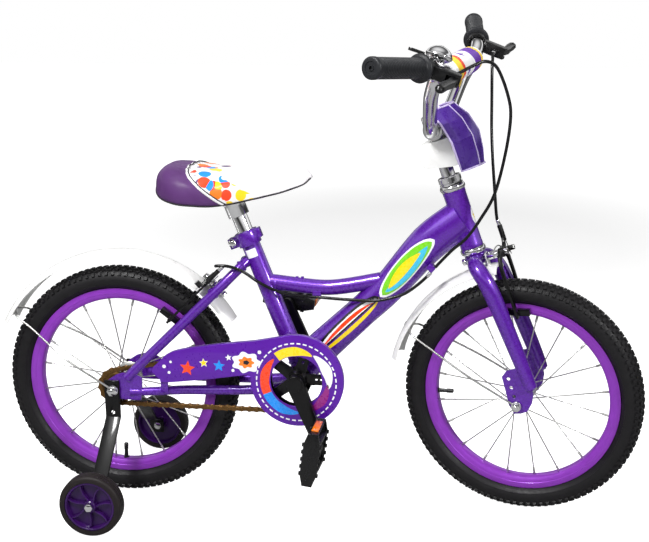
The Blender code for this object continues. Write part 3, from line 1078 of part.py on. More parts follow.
def build_pedal(side):
    """Cage pedal on its spindle, with the tread plates' gaps open."""
    down = Vector((math.sin(CRANK_ANGLE), 0.0, -math.cos(CRANK_ANGLE)))
    eye = BRACKET_CENTRE + down * (CRANK_LENGTH * -side)
    inner = CRANK_INNER + CRANK_THICKNESS + 0.005
    turn = Matrix.Rotation(math.radians(8.0 if side < 0 else 97.0), 4, "Y")
    placement = Matrix.Translation(eye) @ turn
    thick, length, plate = PEDAL_THICKNESS / 2, PEDAL_LENGTH / 2, 0.005

    def span(start, end):
        return (side * (inner + start), side * (inner + end))

    barrel = cylinder("pedal", eye + Y_AXIS * span(0.0, 0)[0], eye + Y_AXIS * span(PEDAL_WIDTH, 0)[0], 0.0105,
                      BLACK_PLASTIC, sides=12)
    parts = []
    for start, end in ((0.0, plate), (PEDAL_WIDTH - plate, PEDAL_WIDTH)):
        y0, y1 = span(start, end)
        outline = [(-thick * 0.6, -length), (thick * 0.6, -length), (thick, -length + 0.018),
                   (thick, length - 0.018), (thick * 0.6, length), (-thick * 0.6, length),
                   (-thick, length - 0.018), (-thick, -length + 0.018)]
        parts.append(slab("side_plate", outline, y0, y1, BLACK_PLASTIC, placement))
    y0, y1 = span(0.003, PEDAL_WIDTH - 0.003)
    for low, high in ((-length + 0.001, -length + plate), (length - plate, length - 0.001), (-0.026, -0.021),
                      (0.021, 0.026)):
        reach = thick * 0.55 if max(abs(low), abs(high)) > 0.03 else thick * 0.95
        parts.append(box("bar", (-reach, y0, low), (reach, y1, high), BLACK_PLASTIC, placement))
    y0, y1 = span(0.002, PEDAL_WIDTH - 0.002)
    parts.append(box("web", (-0.002, y0, -length + 0.003), (0.002, y1, length - 0.003), BLACK_PLASTIC,
                     placement))
    pedal = unite(barrel, *parts)
    bore_start, bore_end = span(-0.01, PEDAL_WIDTH - 0.009)
    bore = cylinder("bore", eye + Y_AXIS * bore_start, eye + Y_AXIS * bore_end, PEDAL_AXLE_RADIUS + GAP,
                    BLACK_PLASTIC, sides=10)
    pedal = cut(pedal, bore)
    pedal.name = "pedal_left" if side > 0 else "pedal_right"
    return pedal, eye


def chain_outline(offset):
    """Loop round the chainring and the sprocket at an offset from the pitch line, as (x, z) points."""
    big, small = CHAINRING_PITCH_RADIUS + offset, SPROCKET_PITCH_RADIUS + offset
    line = Vector((BRACKET_X - REAR_CENTRE.x, BRACKET_Z - REAR_CENTRE.z))
    turn = math.degrees(math.atan2(line.y, line.x))
    lean = math.degrees(math.acos((CHAINRING_PITCH_RADIUS - SPROCKET_PITCH_RADIUS) / line.length))
    wrap = 180.0 - lean
    around_ring = arc_points((BRACKET_X, BRACKET_Z), big, turn - wrap, turn + wrap, 20)
    around_sprocket = arc_points((REAR_CENTRE.x, REAR_CENTRE.z), small, turn + wrap, turn + 360.0 - wrap, 12)
    return around_ring + around_sprocket


def build_chain():
    """Chain as a closed band along its pitch line."""
    outer, inner = chain_outline(CHAIN_HALF_HEIGHT), chain_outline(-CHAIN_HALF_HEIGHT)
    bm = bmesh.new()
    rings = []
    for points, y in ((outer, CHAIN_PLANE - CHAIN_WIDTH / 2), (outer, CHAIN_PLANE + CHAIN_WIDTH / 2),
                      (inner, CHAIN_PLANE + CHAIN_WIDTH / 2), (inner, CHAIN_PLANE - CHAIN_WIDTH / 2)):
        rings.append([bm.verts.new((x, y, z)) for x, z in points])
    count = len(outer)
    for first, second in zip(rings, rings[1:] + rings[:1]):
        for index in range(count):
            following = (index + 1) % count
            bm.faces.new([first[index], first[following], second[following], second[index]])
    return finish_bmesh("chain", bm, CHAIN_STEEL)


def build_chain_guard():
    """Guard plate with a round opening at the crank and a long arm over the chain."""
    centre = (BRACKET_X + 0.001, BRACKET_Z + 0.001)
    ring = arc_points(centre, GUARD_RING_RADIUS, 174.0, 458.0, 24)
    arm = [(0.236, 0.286), (0.175, 0.278), (0.114, 0.267), (0.091, 0.258), (0.079, 0.247), (0.066, 0.234),
           (0.066, 0.227), (0.077, 0.216), (0.087, 0.2105), (0.159, 0.219)]
    outline = ring + arm
    near, far = GUARD_PLANE, GUARD_PLANE - GUARD_THICKNESS
    plate = slab("chain_guard", outline, near, far, PURPLE_PAINT)
    lip_line = arc_points(centre, GUARD_RING_RADIUS - 0.0015, 210.0, 458.0, 20)
    lip_line += [(x, z - 0.0015) for x, z in arm[:5]]
    lip = slab("lip", strip_outline(lip_line, 0.002), near - 0.001, near + GUARD_LIP, PURPLE_PAINT)
    opening = revolve("opening", [(-0.07, 0.0), (-0.07, GUARD_OPENING_RADIUS), (-0.04, GUARD_OPENING_RADIUS),
                                  (-0.04, 0.0)], Vector((BRACKET_X, 0, BRACKET_Z)), PURPLE_PAINT, segments=24)
    return cut(unite(plate, lip), opening)


def build_stabiliser(side):
    """Stabiliser: cranked strip on the rear axle, bolt, hub and tyre."""
    name = "left" if side > 0 else "right"
    half_thick = STABILISER_STRIP_THICKNESS / 2
    strip_side = REAR_HUB_SPACING / 2 + DROPOUT_THICKNESS + GAP + half_thick
    foot_side = STABILISER_TRACK - STABILISER_WIDTH / 2 - 0.004
    line = [(side * strip_side, 0.211), (side * strip_side, 0.148), (side * 0.130, 0.078),
            (side * (foot_side - 0.013), 0.066), (side * foot_side, 0.060), (side * foot_side, 0.036)]
    width = STABILISER_STRIP_WIDTH
    placement = frame_matrix(Vector((0, 0, 0)), Y_AXIS, Vector((1, 0, 0)), Vector((0, 0, 1)))
    strip = slab("strip", strip_outline(line, STABILISER_STRIP_THICKNESS), -width / 2 - 0.003, width / 2 - 0.003,
                 BLACK_STEEL, placement)
    axle_hole = cylinder("axle_hole", REAR_CENTRE + Y_AXIS * (side * 0.04), REAR_CENTRE + Y_AXIS * (side * 0.08),
                         REAR_AXLE_RADIUS + GAP, BLACK_STEEL, sides=14)
    second_hole = cylinder("second_hole", (-0.003, side * 0.04, 0.156), (-0.003, side * 0.08, 0.156), 0.0035,
                           BLACK_STEEL, sides=12)
    centre = Vector((0.0, side * STABILISER_TRACK, STABILISER_RADIUS))
    foot_hole = cylinder("foot_hole", centre - Y_AXIS * (side * 0.045), centre, STABILISER_BOLT_RADIUS + GAP,
                         BLACK_STEEL, sides=14)
    bracket = cut(strip, axle_hole, second_hole, foot_hole)
    bracket.name = "stabiliser_bracket_" + name
    half = STABILISER_WIDTH / 2
    rod = STABILISER_BOLT_RADIUS
    strip_in = foot_side - STABILISER_TRACK - half_thick - GAP
    strip_out = foot_side - STABILISER_TRACK + half_thick + GAP
    profile = [(strip_in - 0.0055, 0.0), (strip_in - 0.0055, 0.0065), (strip_in, 0.0065), (strip_in, rod),
               (half + GAP, rod), (half + GAP, 0.0068), (half + 0.0040, 0.0060), (half + 0.0055, 0.0)]
    bolt = revolve("stabiliser_axle_" + name, [(side * a, r) for a, r in profile], centre, CHROME, segments=12)
    bore = rod + GAP
    web = 0.0035
    lip_inner = STABILISER_RADIUS - 0.0135
    hub_outer = STABILISER_RADIUS - 0.0100 - GAP
    start = strip_out
    hub_profile = [(start, bore), (-web, 0.0100), (-web, lip_inner), (-half + 0.001, lip_inner + 0.001),
                   (-half + 0.001, hub_outer), (half - 0.001, hub_outer), (half - 0.001, lip_inner + 0.001),
                   (web, lip_inner), (web, 0.0100), (half, 0.0085), (half, bore)]
    hub = revolve("stabiliser_hub_" + name, [(side * a, r) for a, r in hub_profile], centre,
                  DARK_PURPLE_PLASTIC, segments=16)
    tyre_inner = STABILISER_RADIUS - 0.0100
    scale = math.cos(math.pi / 16)
    tyre_profile = [(-half, tyre_inner * scale), (-half, STABILISER_RADIUS - 0.004),
                    (-half + 0.004, STABILISER_RADIUS), (half - 0.004, STABILISER_RADIUS),
                    (half, STABILISER_RADIUS - 0.004), (half, tyre_inner * scale)]
    tyre = revolve("stabiliser_tyre_" + name, [(side * a, r) for a, r in tyre_profile], centre, BLACK_RUBBER,
                   segments=16, flat=True)
    return bracket, bolt, hub, tyre, centre


def steered(point):
    """Where a point of the steered parts lies at the rest pose."""
    turn = Matrix.Rotation(STEERING_ANGLE, 3, STEER_UP)
    return STEER_FOOT + turn @ (Vector(point) - STEER_FOOT)


def build_cables():
    """Outer casings of the two brake cables, along routes chosen by hand."""
    left_exit = lever_frame(1) @ Vector((-0.022 - 2 * GAP, 0.0, LEVER_PIVOT_FORWARD - 0.005))
    front_top = (on_steering(CROWN_HEIGHT, 0.039 + 0.003, 0.038) + STEER_UP * (0.036 + GAP))
    front_route = [left_exit, left_exit - Y_AXIS * 0.012, (0.5830, 0.104, 0.7190), (0.5850, 0.092, 0.700),
                   (0.5875, 0.082, 0.657), (0.5905, 0.070, 0.612), (0.596, 0.056, 0.567), (0.602, 0.046, 0.521),
                   front_top + STEER_UP * 0.014, front_top]
    front_cable = tube("front_brake_cable", smooth_path(front_route, 2), CABLE_RADIUS, BLACK_RUBBER, sides=6)
    right_exit = lever_frame(-1) @ Vector((-0.022 - 3 * GAP, 0.0, LEVER_PIVOT_FORWARD - 0.005))
    guide_end = DOWN_TUBE_DIRECTION * (CABLE_GUIDE_LENGTH / 2 + 2 * GAP)
    loop_route = [steered(right_exit), steered(right_exit + Y_AXIS * 0.012), (0.5795, -0.112, 0.7275),
                  (0.598, -0.099, 0.733), (0.614, -0.084, 0.722), (0.629, -0.066, 0.683),
                  (0.634, -0.056, 0.648), (0.627, -0.046, 0.591), (0.612, -0.041, 0.529),
                  (0.591, -0.038, 0.489), (0.570, -0.0345, 0.458), (0.549, -0.0300, 0.4385),
                  CABLE_GUIDE + guide_end * 3.0, CABLE_GUIDE + guide_end]
    loop = tube("rear_brake_cable_loop", smooth_path(loop_route, 2), CABLE_RADIUS, BLACK_RUBBER, sides=6)
    out = bolt_direction("rear")
    up = Vector((out.z, 0.0, -out.x))
    rear_top = BRIDGE_CENTRE + out * (0.017 + 0.003) + up * (0.036 + GAP) - Y_AXIS * 0.038
    frame_route = [CABLE_GUIDE - guide_end, CABLE_GUIDE - guide_end * 2.6, (0.4930, -0.0270, 0.3785),
                   (0.473, -0.0265, 0.3640), (0.450, -0.0265, 0.3560), (0.425, -0.0265, 0.3512),
                   (0.377, -0.0175, 0.3492), (0.330, -0.0095, 0.3495), (0.304, -0.0125, 0.3515),
                   (0.278, -0.0190, 0.3560), (0.243, -0.0210, 0.3710),
                   (0.217, -0.0290, 0.3910), (0.203, -0.0355, 0.3995), (0.188, -0.0385, 0.4035),
                   (0.172, -0.0385, 0.4030), rear_top + up * 0.010, rear_top]
    frame_cable = tube("rear_brake_cable", smooth_path(frame_route, 2), CABLE_RADIUS, BLACK_RUBBER, sides=6,
                       straighten=4.0)
    return front_cable, loop, frame_cable


def build_bicycle():
    """Build every piece and hang the moving ones on their joints' empties."""
    build_frame()
    build_seat_clamp()
    _, _, locknut = build_headset()
    fork = build_fork()
    rear_tyre, rear_rim, rear_hub, _, freewheel = build_rear_wheel()
    front_tyre, front_rim, front_hub, front_axle = build_front_wheel()
    rear_nut_side = REAR_HUB_SPACING / 2 + DROPOUT_THICKNESS + STABILISER_STRIP_THICKNESS + GAP
    build_mudguard("rear", REAR_CENTRE, (30.0, 153.0), rear_nut_side, 147.5)
    front_guard, front_stay = build_mudguard("front", FRONT_CENTRE, (101.0, 167.0),
                                             FRONT_HUB_SPACING / 2 + FORK_END_THICKNESS, 152.0)
    _, rear_arms = build_brake("rear", BRIDGE_CENTRE, 0.017, 0.0843, -1)
    front_bolt, front_arms = build_brake("front", on_steering(CROWN_HEIGHT), 0.039, 0.0943, 1)
    stem = build_stem()
    handlebar = build_handlebar()
    pad = build_crossbar_pad()
    grips = [build_grip(side) for side in (-1, 1)]
    levers = {side: build_lever(side) for side in (-1, 1)}
    bell, bell_lever = build_bell()
    plate, housing = build_front_plate()
    cover, base = build_saddle()
    post = build_seat_post()
    rails = build_saddle_frame()
    crank = build_crank()
    chainring = build_chainring()
    pedals = {side: build_pedal(side) for side in (-1, 1)}
    build_chain()
    build_chain_guard()
    stabilisers = {side: build_stabiliser(side) for side in (-1, 1)}
    front_cable, _, _ = build_cables()

    steering = pivot("steering_axis", STEER_FOOT)
    carry(steering, locknut, fork, front_axle, front_guard, front_stay, front_bolt, stem, handlebar, pad, *grips,
          levers[1][0], levers[-1][0], bell, plate, housing, front_cable)
    front_wheel = pivot("front_wheel_axis", FRONT_CENTRE, steering)
    carry(front_wheel, front_tyre, front_rim, front_hub)
    front_brake = pivot("front_brake_axis", on_steering(CROWN_HEIGHT, 0.039), steering)
    carry(front_brake, *front_arms.values())
    for side, name in ((1, "left"), (-1, "right")):
        lever_pin = lever_frame(side) @ Vector((0.0, 0.0, LEVER_PIVOT_FORWARD))
        carry(pivot("lever_axis_" + name, lever_pin, steering), levers[side][1])
        pedal, eye = pedals[side]
        carry(pivot("pedal_axis_" + name, eye), pedal)
        carry(pivot("stabiliser_axis_" + name, stabilisers[side][4]), stabilisers[side][2], stabilisers[side][3])
    carry(pivot("bell_lever_axis", bell_frame() @ Vector((BELL_LEVER_PIVOT, 0.0, 0.0)), steering), bell_lever)
    carry(pivot("rear_wheel_axis", REAR_CENTRE), rear_tyre, rear_rim, rear_hub, freewheel)
    carry(pivot("rear_brake_axis", BRIDGE_CENTRE), *rear_arms.values())
    carry(pivot("crank_axis", BRACKET_CENTRE), crank, chainring)
    carry(pivot("seat_post_axis", on_seat_tube(SEAT_TUBE_LENGTH)), post, rails, cover, base)
    steering.matrix_basis = Matrix.Translation(STEER_FOOT) @ Matrix.Rotation(STEERING_ANGLE, 4, STEER_UP)


for existing in list(bpy.data.objects):
    bpy.data.objects.remove(existing)
build_bicycle()
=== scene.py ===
"""Looks of a children's bicycle with stabilisers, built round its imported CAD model.

Every piece is in metres in the model's own frame: the ground is z = 0, the rear axle is above the origin,
the front points along +X and the rider's right, where the chain runs, is -Y. Pieces that turn with the fork
are modelled with the wheel straight ahead and turned to the photographed angle at the end.
"""
from __future__ import annotations

import json
import logging
import math
from dataclasses import dataclass
from enum import Enum
from typing import Iterable, Optional, Sequence

import bpy
from mathutils import Matrix, Vector

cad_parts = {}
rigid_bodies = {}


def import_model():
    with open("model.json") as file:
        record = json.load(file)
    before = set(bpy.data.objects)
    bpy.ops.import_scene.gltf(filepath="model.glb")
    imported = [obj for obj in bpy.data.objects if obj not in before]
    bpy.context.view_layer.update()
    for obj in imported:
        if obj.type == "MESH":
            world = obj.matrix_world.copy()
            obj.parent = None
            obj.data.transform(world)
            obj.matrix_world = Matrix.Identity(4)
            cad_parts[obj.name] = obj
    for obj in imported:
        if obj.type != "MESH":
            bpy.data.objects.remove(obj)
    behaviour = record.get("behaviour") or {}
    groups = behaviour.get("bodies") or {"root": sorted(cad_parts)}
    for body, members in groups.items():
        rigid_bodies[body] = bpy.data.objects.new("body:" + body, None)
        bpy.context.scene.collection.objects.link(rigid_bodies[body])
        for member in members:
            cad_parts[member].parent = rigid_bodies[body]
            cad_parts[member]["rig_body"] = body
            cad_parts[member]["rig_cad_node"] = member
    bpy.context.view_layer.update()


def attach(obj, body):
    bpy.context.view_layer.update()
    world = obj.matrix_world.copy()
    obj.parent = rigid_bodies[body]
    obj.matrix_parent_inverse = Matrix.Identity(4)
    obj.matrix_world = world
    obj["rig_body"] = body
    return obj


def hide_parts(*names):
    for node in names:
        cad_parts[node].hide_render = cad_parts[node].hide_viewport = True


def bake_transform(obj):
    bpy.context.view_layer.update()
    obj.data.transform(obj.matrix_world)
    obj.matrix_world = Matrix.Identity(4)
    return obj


LOG = logging.getLogger("bicycle")
Point = Sequence[float]
Outline = Sequence[Sequence[float]]


class Body(str, Enum):
    """Rigid bodies of the CAD model that pieces ride on."""

    FRAME = "frame"
    SEAT = "seat"
    STEERING = "steering"
    FRONT_WHEEL = "front_wheel"
    REAR_WHEEL = "rear_wheel"
    FREEWHEEL = "freewheel"
    CRANK = "crank"
    PEDAL_RIGHT = "pedal_right"
    PEDAL_LEFT = "pedal_left"
    LEVER_RIGHT = "brake_lever_right"
    LEVER_LEFT = "brake_lever_left"
    FRONT_ARM_RIGHT = "front_brake_arm_right"
    FRONT_ARM_LEFT = "front_brake_arm_left"
    REAR_ARM_RIGHT = "rear_brake_arm_right"
    REAR_ARM_LEFT = "rear_brake_arm_left"
    BELL_LEVER = "bell_lever"
    STABILISER_RIGHT = "stabiliser_wheel_right"
    STABILISER_LEFT = "stabiliser_wheel_left"


class Side(Enum):
    """Rider's left and right, with the sign that each has along Y."""

    LEFT = 1
    RIGHT = -1

    @property
    def label(self) -> str:
        """Side as a lower-case word."""
        return self.name.lower()


Y_AXIS = Vector((0.0, 1.0, 0.0))
HEAD_ANGLE = math.radians(71.0)
STEER_UP = Vector((-math.cos(HEAD_ANGLE), 0.0, math.sin(HEAD_ANGLE)))
STEER_FORWARD = Vector((math.sin(HEAD_ANGLE), 0.0, math.cos(HEAD_ANGLE)))
SEAT_ANGLE = math.radians(68.8)
SEAT_UP = Vector((-math.cos(SEAT_ANGLE), 0.0, math.sin(SEAT_ANGLE)))
SEAT_FORWARD = Vector((math.sin(SEAT_ANGLE), 0.0, math.cos(SEAT_ANGLE)))
REAR_CENTRE = Vector((0.0, 0.0, 0.195))
FRONT_CENTRE = Vector((0.663, 0.0, 0.195))
STEER_FOOT = FRONT_CENTRE - STEER_FORWARD * 0.002
BRACKET_CENTRE = Vector((0.303, 0.0, 0.221))
BRIDGE_CENTRE = Vector((0.165, 0.0, 0.356))
CROWN_HEIGHT = 0.236
CRANK_LENGTH = 0.103
CRANK_LEAN = math.radians(21.3)
CRANK_DOWN = Vector((math.sin(CRANK_LEAN), 0.0, -math.cos(CRANK_LEAN)))
GRIP_START = Vector((0.5415, 0.166, 0.7388))
GRIP_END = Vector((0.5075, 0.288, 0.7550))
PHOTO_STEER = math.radians(-10.9)
STEERING_TURN = (Matrix.Translation(STEER_FOOT)
                 @ Matrix.Rotation(PHOTO_STEER, 4, STEER_UP)
                 @ Matrix.Translation(-STEER_FOOT))


def on_steering(up: float, forward: float = 0.0, side: float = 0.0) -> Vector:
    """Point by its height along the steering axis, with the wheel straight.

    Args:
        up: Height along the axis above the wheel's centre.
        forward: Distance in front of the axis.
        side: Distance to the rider's left.

    Returns:
        The point in the model's frame.
    """
    return STEER_FOOT + STEER_UP * up + STEER_FORWARD * forward + Y_AXIS * side


def on_seat_tube(up: float, forward: float = 0.0, side: float = 0.0) -> Vector:
    """Point by its height up the seat tube from the bottom bracket.

    Args:
        up: Height along the seat tube.
        forward: Distance in front of its axis.
        side: Distance to the rider's left.

    Returns:
        The point in the model's frame.
    """
    return BRACKET_CENTRE + SEAT_UP * up + SEAT_FORWARD * forward + Y_AXIS * side


def axes(origin: Point, u: Vector, v: Vector, w: Vector) -> Matrix:
    """Placement whose local X, Y and Z axes are u, v and w.

    Args:
        origin: Where the local origin lies.
        u: Direction of local X.
        v: Direction of local Y.
        w: Direction of local Z.

    Returns:
        The placement as a matrix.
    """
    matrix = Matrix((u, v, w)).transposed().to_4x4()
    matrix.translation = Vector(origin)
    return matrix


def aimed(origin: Point, direction: Vector, hint: Vector = Y_AXIS) -> Matrix:
    """Placement whose local Z runs along a direction.

    Args:
        origin: Where the local origin lies.
        direction: Direction of local Z.
        hint: Direction that local X stays near.

    Returns:
        The placement as a matrix.
    """
    w = Vector(direction).normalized()
    if abs(w.dot(hint)) > 0.95:
        hint = Vector((1.0, 0.0, 0.0))
    u = (hint - w * hint.dot(w)).normalized()
    return axes(origin, u, w.cross(u), w)


def facing_right(origin: Point) -> Matrix:
    """Placement of a flat outline that faces the rider's right: local X forward, local Y up."""
    return axes(origin, Vector((1.0, 0.0, 0.0)), Vector((0.0, 0.0, 1.0)), -Y_AXIS)


def smooth_path(points: Iterable[Point], steps: int = 6) -> list[Vector]:
    """Points of a Catmull-Rom curve through a route.

    Args:
        points: Route that the curve passes through.
        steps: Steps from each point to the next.

    Returns:
        The curve's points.
    """
    route = [Vector(p) for p in points]
    padded = [route[0] * 2 - route[1], *route, route[-1] * 2 - route[-2]]
    path = []
    for before, start, end, after in zip(padded, padded[1:], padded[2:], padded[3:]):
        for step in range(steps):
            t = step / steps
            path.append(0.5 * (2 * start + (end - before) * t
                               + (2 * before - 5 * start + 4 * end - after) * t ** 2
                               + (3 * start - before - 3 * end + after) * t ** 3))
    return [*path, route[-1]]


def arc(centre: Point, radius: float, start: float, end: float, steps: int) -> list[tuple[float, float]]:
    """Points of an arc in a plane.

    Args:
        centre: Centre of the arc.
        radius: Its radius.
        start: First angle in degrees.
        end: Last angle in degrees.
        steps: Number of chords.

    Returns:
        The points, both ends included.
    """
    angles = [math.radians(start + (end - start) * k / steps) for k in range(steps + 1)]
    return [(centre[0] + radius * math.cos(a), centre[1] + radius * math.sin(a)) for a in angles]


def mirrored(half: Outline) -> list[tuple[float, float]]:
    """Whole profile from the half of it beyond zero, the mirrored half first."""
    middle = half[1:] if half[0][0] == 0.0 else half
    return [(-along, size) for along, size in reversed(middle)] + list(half)


def circle(placement: Matrix, radius: float, count: int) -> list[Vector]:
    """Points of a circle in the plane of a placement's local X and Y."""
    return [placement @ Vector((radius * math.cos(a), radius * math.sin(a), 0.0))
            for a in (math.tau * k / count for k in range(count))]


def star(centre: Point, radius: float, turn: float = 0.0, waist: float = 0.45) -> list[tuple[float, float]]:
    """Outline of a five-pointed star.

    Args:
        centre: Middle of the star.
        radius: Distance to its points.
        turn: Degrees that it is turned by.
        waist: Radius of its inner corners, as a share of the radius.

    Returns:
        The outline's points.
    """
    spots = []
    for k in range(10):
        reach = radius if k % 2 == 0 else radius * waist
        angle = math.radians(90.0 + turn + 36.0 * k)
        spots.append((centre[0] + reach * math.cos(angle), centre[1] + reach * math.sin(angle)))
    return spots


def srgb(red: int, green: int, blue: int) -> tuple[float, float, float]:
    """Linear colour of an 8-bit screen colour."""
    return tuple((c / 255.0) ** 2.2 for c in (red, green, blue))


class Graph:
    """A new material and short calls that wire its nodes."""

    def __init__(self, name: str) -> None:
        """Start a material.

        Args:
            name: The material's name.
        """
        self.material = bpy.data.materials.new(name)
        self.material.use_nodes = True
        self.nodes = self.material.node_tree.nodes
        self.links = self.material.node_tree.links
        self.shader = self.nodes["Principled BSDF"]
        self.place = self.nodes.new("ShaderNodeTexCoord").outputs["Object"]

    def plug(self, source: object, socket: bpy.types.NodeSocket) -> None:
        """Feed a socket from another socket or a plain value.

        Args:
            source: Socket, number or vector.
            socket: Socket that takes it.
        """
        if isinstance(source, bpy.types.NodeSocket):
            self.links.new(source, socket)
        else:
            socket.default_value = source

    def math(self, operation: str, first: object, second: object = 0.0) -> bpy.types.NodeSocket:
        """Result of one sum.

        Args:
            operation: Name of the operation.
            first: Its first value.
            second: Its second value.

        Returns:
            The result's socket.
        """
        node = self.nodes.new("ShaderNodeMath")
        node.operation = operation
        self.plug(first, node.inputs[0])
        self.plug(second, node.inputs[1])
        return node.outputs[0]

    def local(self, placement: Matrix) -> bpy.types.NodeSocket:
        """Coordinates measured in a placement's own axes.

        Args:
            placement: Where the local origin lies and how it is turned.

        Returns:
            Socket with the local coordinates.
        """
        inverse = placement.inverted()
        node = self.nodes.new("ShaderNodeMapping")
        node.inputs["Location"].default_value = inverse.translation
        node.inputs["Rotation"].default_value = inverse.to_euler()
        self.links.new(self.place, node.inputs["Vector"])
        return node.outputs["Vector"]

    def split(self, vector: bpy.types.NodeSocket) -> list[bpy.types.NodeSocket]:
        """The three parts of a vector."""
        node = self.nodes.new("ShaderNodeSeparateXYZ")
        self.links.new(vector, node.inputs[0])
        return list(node.outputs)

    def noise(self, scale: float, detail: float = 2.0, vector: object = None) -> bpy.types.NodeSocket:
        """Noise of a size.

        Args:
            scale: Waves in a metre.
            detail: Octaves of finer noise.
            vector: Coordinates, the object's own if left out.

        Returns:
            Socket with values round a half.
        """
        node = self.nodes.new("ShaderNodeTexNoise")
        node.inputs["Scale"].default_value = scale
        node.inputs["Detail"].default_value = detail
        self.links.new(vector or self.place, node.inputs["Vector"])
        return node.outputs[0]

    def cells(self, scale: float, output: str = "Distance", vector: object = None) -> bpy.types.NodeSocket:
        """Voronoi cells of a size.

        Args:
            scale: Cells in a metre.
            output: Output of the cells to read.
            vector: Coordinates, the object's own if left out.

        Returns:
            Socket of that output.
        """
        node = self.nodes.new("ShaderNodeTexVoronoi")
        node.inputs["Scale"].default_value = scale
        self.links.new(vector or self.place, node.inputs["Vector"])
        return node.outputs[output]

    def span(self, value: object, low: float, high: float, start: float = 0.0,
             end: float = 1.0) -> bpy.types.NodeSocket:
        """Value moved from one range to another and held at its ends.

        Args:
            value: Value to move.
            low: Start of its range.
            high: End of its range.
            start: Result at the start.
            end: Result at the end.

        Returns:
            The result's socket.
        """
        node = self.nodes.new("ShaderNodeMapRange")
        self.plug(value, node.inputs["Value"])
        for key, number in (("From Min", low), ("From Max", high), ("To Min", start), ("To Max", end)):
            node.inputs[key].default_value = number
        return node.outputs["Result"]

    def mix(self, share: object, first: object, second: object) -> bpy.types.NodeSocket:
        """Colour between two colours.

        Args:
            share: Share of the second colour.
            first: First colour or socket.
            second: Second colour or socket.

        Returns:
            The colour's socket.
        """
        node = self.nodes.new("ShaderNodeMix")
        node.data_type = "RGBA"
        self.plug(share, node.inputs["Factor"])
        for source, socket in ((first, node.inputs[6]), (second, node.inputs[7])):
            self.plug(source if isinstance(source, bpy.types.NodeSocket) else (*source, 1.0), socket)
        return node.outputs[2]

    def bump(self, height: bpy.types.NodeSocket, strength: float, distance: float) -> None:
        """Raise the surface by a height.

        Args:
            height: Height from 0 to 1.
            strength: How strongly it shows.
            distance: Depth in metres.
        """
        node = self.nodes.new("ShaderNodeBump")
        node.inputs["Strength"].default_value = strength
        node.inputs["Distance"].default_value = distance
        self.links.new(height, node.inputs["Height"])
        self.links.new(node.outputs["Normal"], self.shader.inputs["Normal"])

    def set(self, **values: object) -> None:
        """Set the shader's sockets by name, with underscores for spaces."""
        for key, value in values.items():
            self.plug(value, self.shader.inputs[key.replace("_", " ")])


@dataclass(frozen=True)
class Finish:
    """Surface with a colour, its slight variation, and a fine grain."""

    name: str
    slot: str
    colour: tuple[float, float, float]
    roughness: float
    metallic: float = 0.0
    coat: float = 0.0
    variation: float = 0.1
    patch: float = 60.0
    grain: float = 1500.0
    depth: float = 0.00005
    wear: float = 0.06
    specular: float = 0.5

    def build(self) -> bpy.types.Material:
        """Material of the finish, made once."""
        name = self.name + "_finish"
        known = bpy.data.materials.get(name)
        if known:
            return known
        graph = Graph(name)
        self.dress(graph)
        return graph.material

    def base(self, graph: Graph) -> object:
        """Colour before its variation."""
        return self.colour

    def dress(self, graph: Graph) -> None:
        """Wire the finish into a material.

        Args:
            graph: Material to wire.
        """
        patches = graph.noise(self.patch, 4.0)
        colour = self.base(graph)
        dark = graph.nodes.new("ShaderNodeMix")
        dark.data_type = "RGBA"
        dark.blend_type = "MULTIPLY"
        graph.plug(graph.span(patches, 0.35, 0.7, 0.0, 1.0), dark.inputs["Factor"])
        graph.plug(colour if isinstance(colour, bpy.types.NodeSocket) else (*colour, 1.0), dark.inputs[6])
        tone = 1.0 - self.variation
        dark.inputs[7].default_value = (tone, tone, tone, 1.0)
        graph.plug(dark.outputs[2], graph.shader.inputs["Base Color"])
        rough = graph.span(graph.noise(self.patch * 3.0, 3.0), 0.3, 0.7,
                           max(0.02, self.roughness - self.wear), self.roughness + self.wear)
        graph.set(Roughness=rough, Metallic=self.metallic, Coat_Weight=self.coat, Coat_Roughness=0.09,
                  Specular_IOR_Level=self.specular)
        graph.bump(graph.noise(self.grain, 2.0), 0.25, self.depth)


@dataclass(frozen=True)
class Paint(Finish):
    """Metallic paint under lacquer, with fine flakes."""

    def base(self, graph: Graph) -> object:
        """Colour with lighter flakes."""
        flakes = graph.span(graph.cells(2600.0), 0.0, 0.35, 0.35, 0.0)
        light = tuple(min(1.0, c * 1.5 + 0.03) for c in self.colour)
        return graph.mix(flakes, self.colour, light)


@dataclass(frozen=True)
class Grained(Finish):
    """Vinyl or rubber with a cellular grain."""

    cell: float = 900.0

    def dress(self, graph: Graph) -> None:
        """Wire the finish, with its grain as small cells.

        Args:
            graph: Material to wire.
        """
        super().dress(graph)
        ridges = graph.span(graph.cells(self.cell), 0.0, 0.6)
        soft = graph.math("ADD", graph.math("MULTIPLY", ridges, 0.7),
                          graph.math("MULTIPLY", graph.noise(220.0), 0.6))
        graph.bump(soft, 0.5, self.depth)


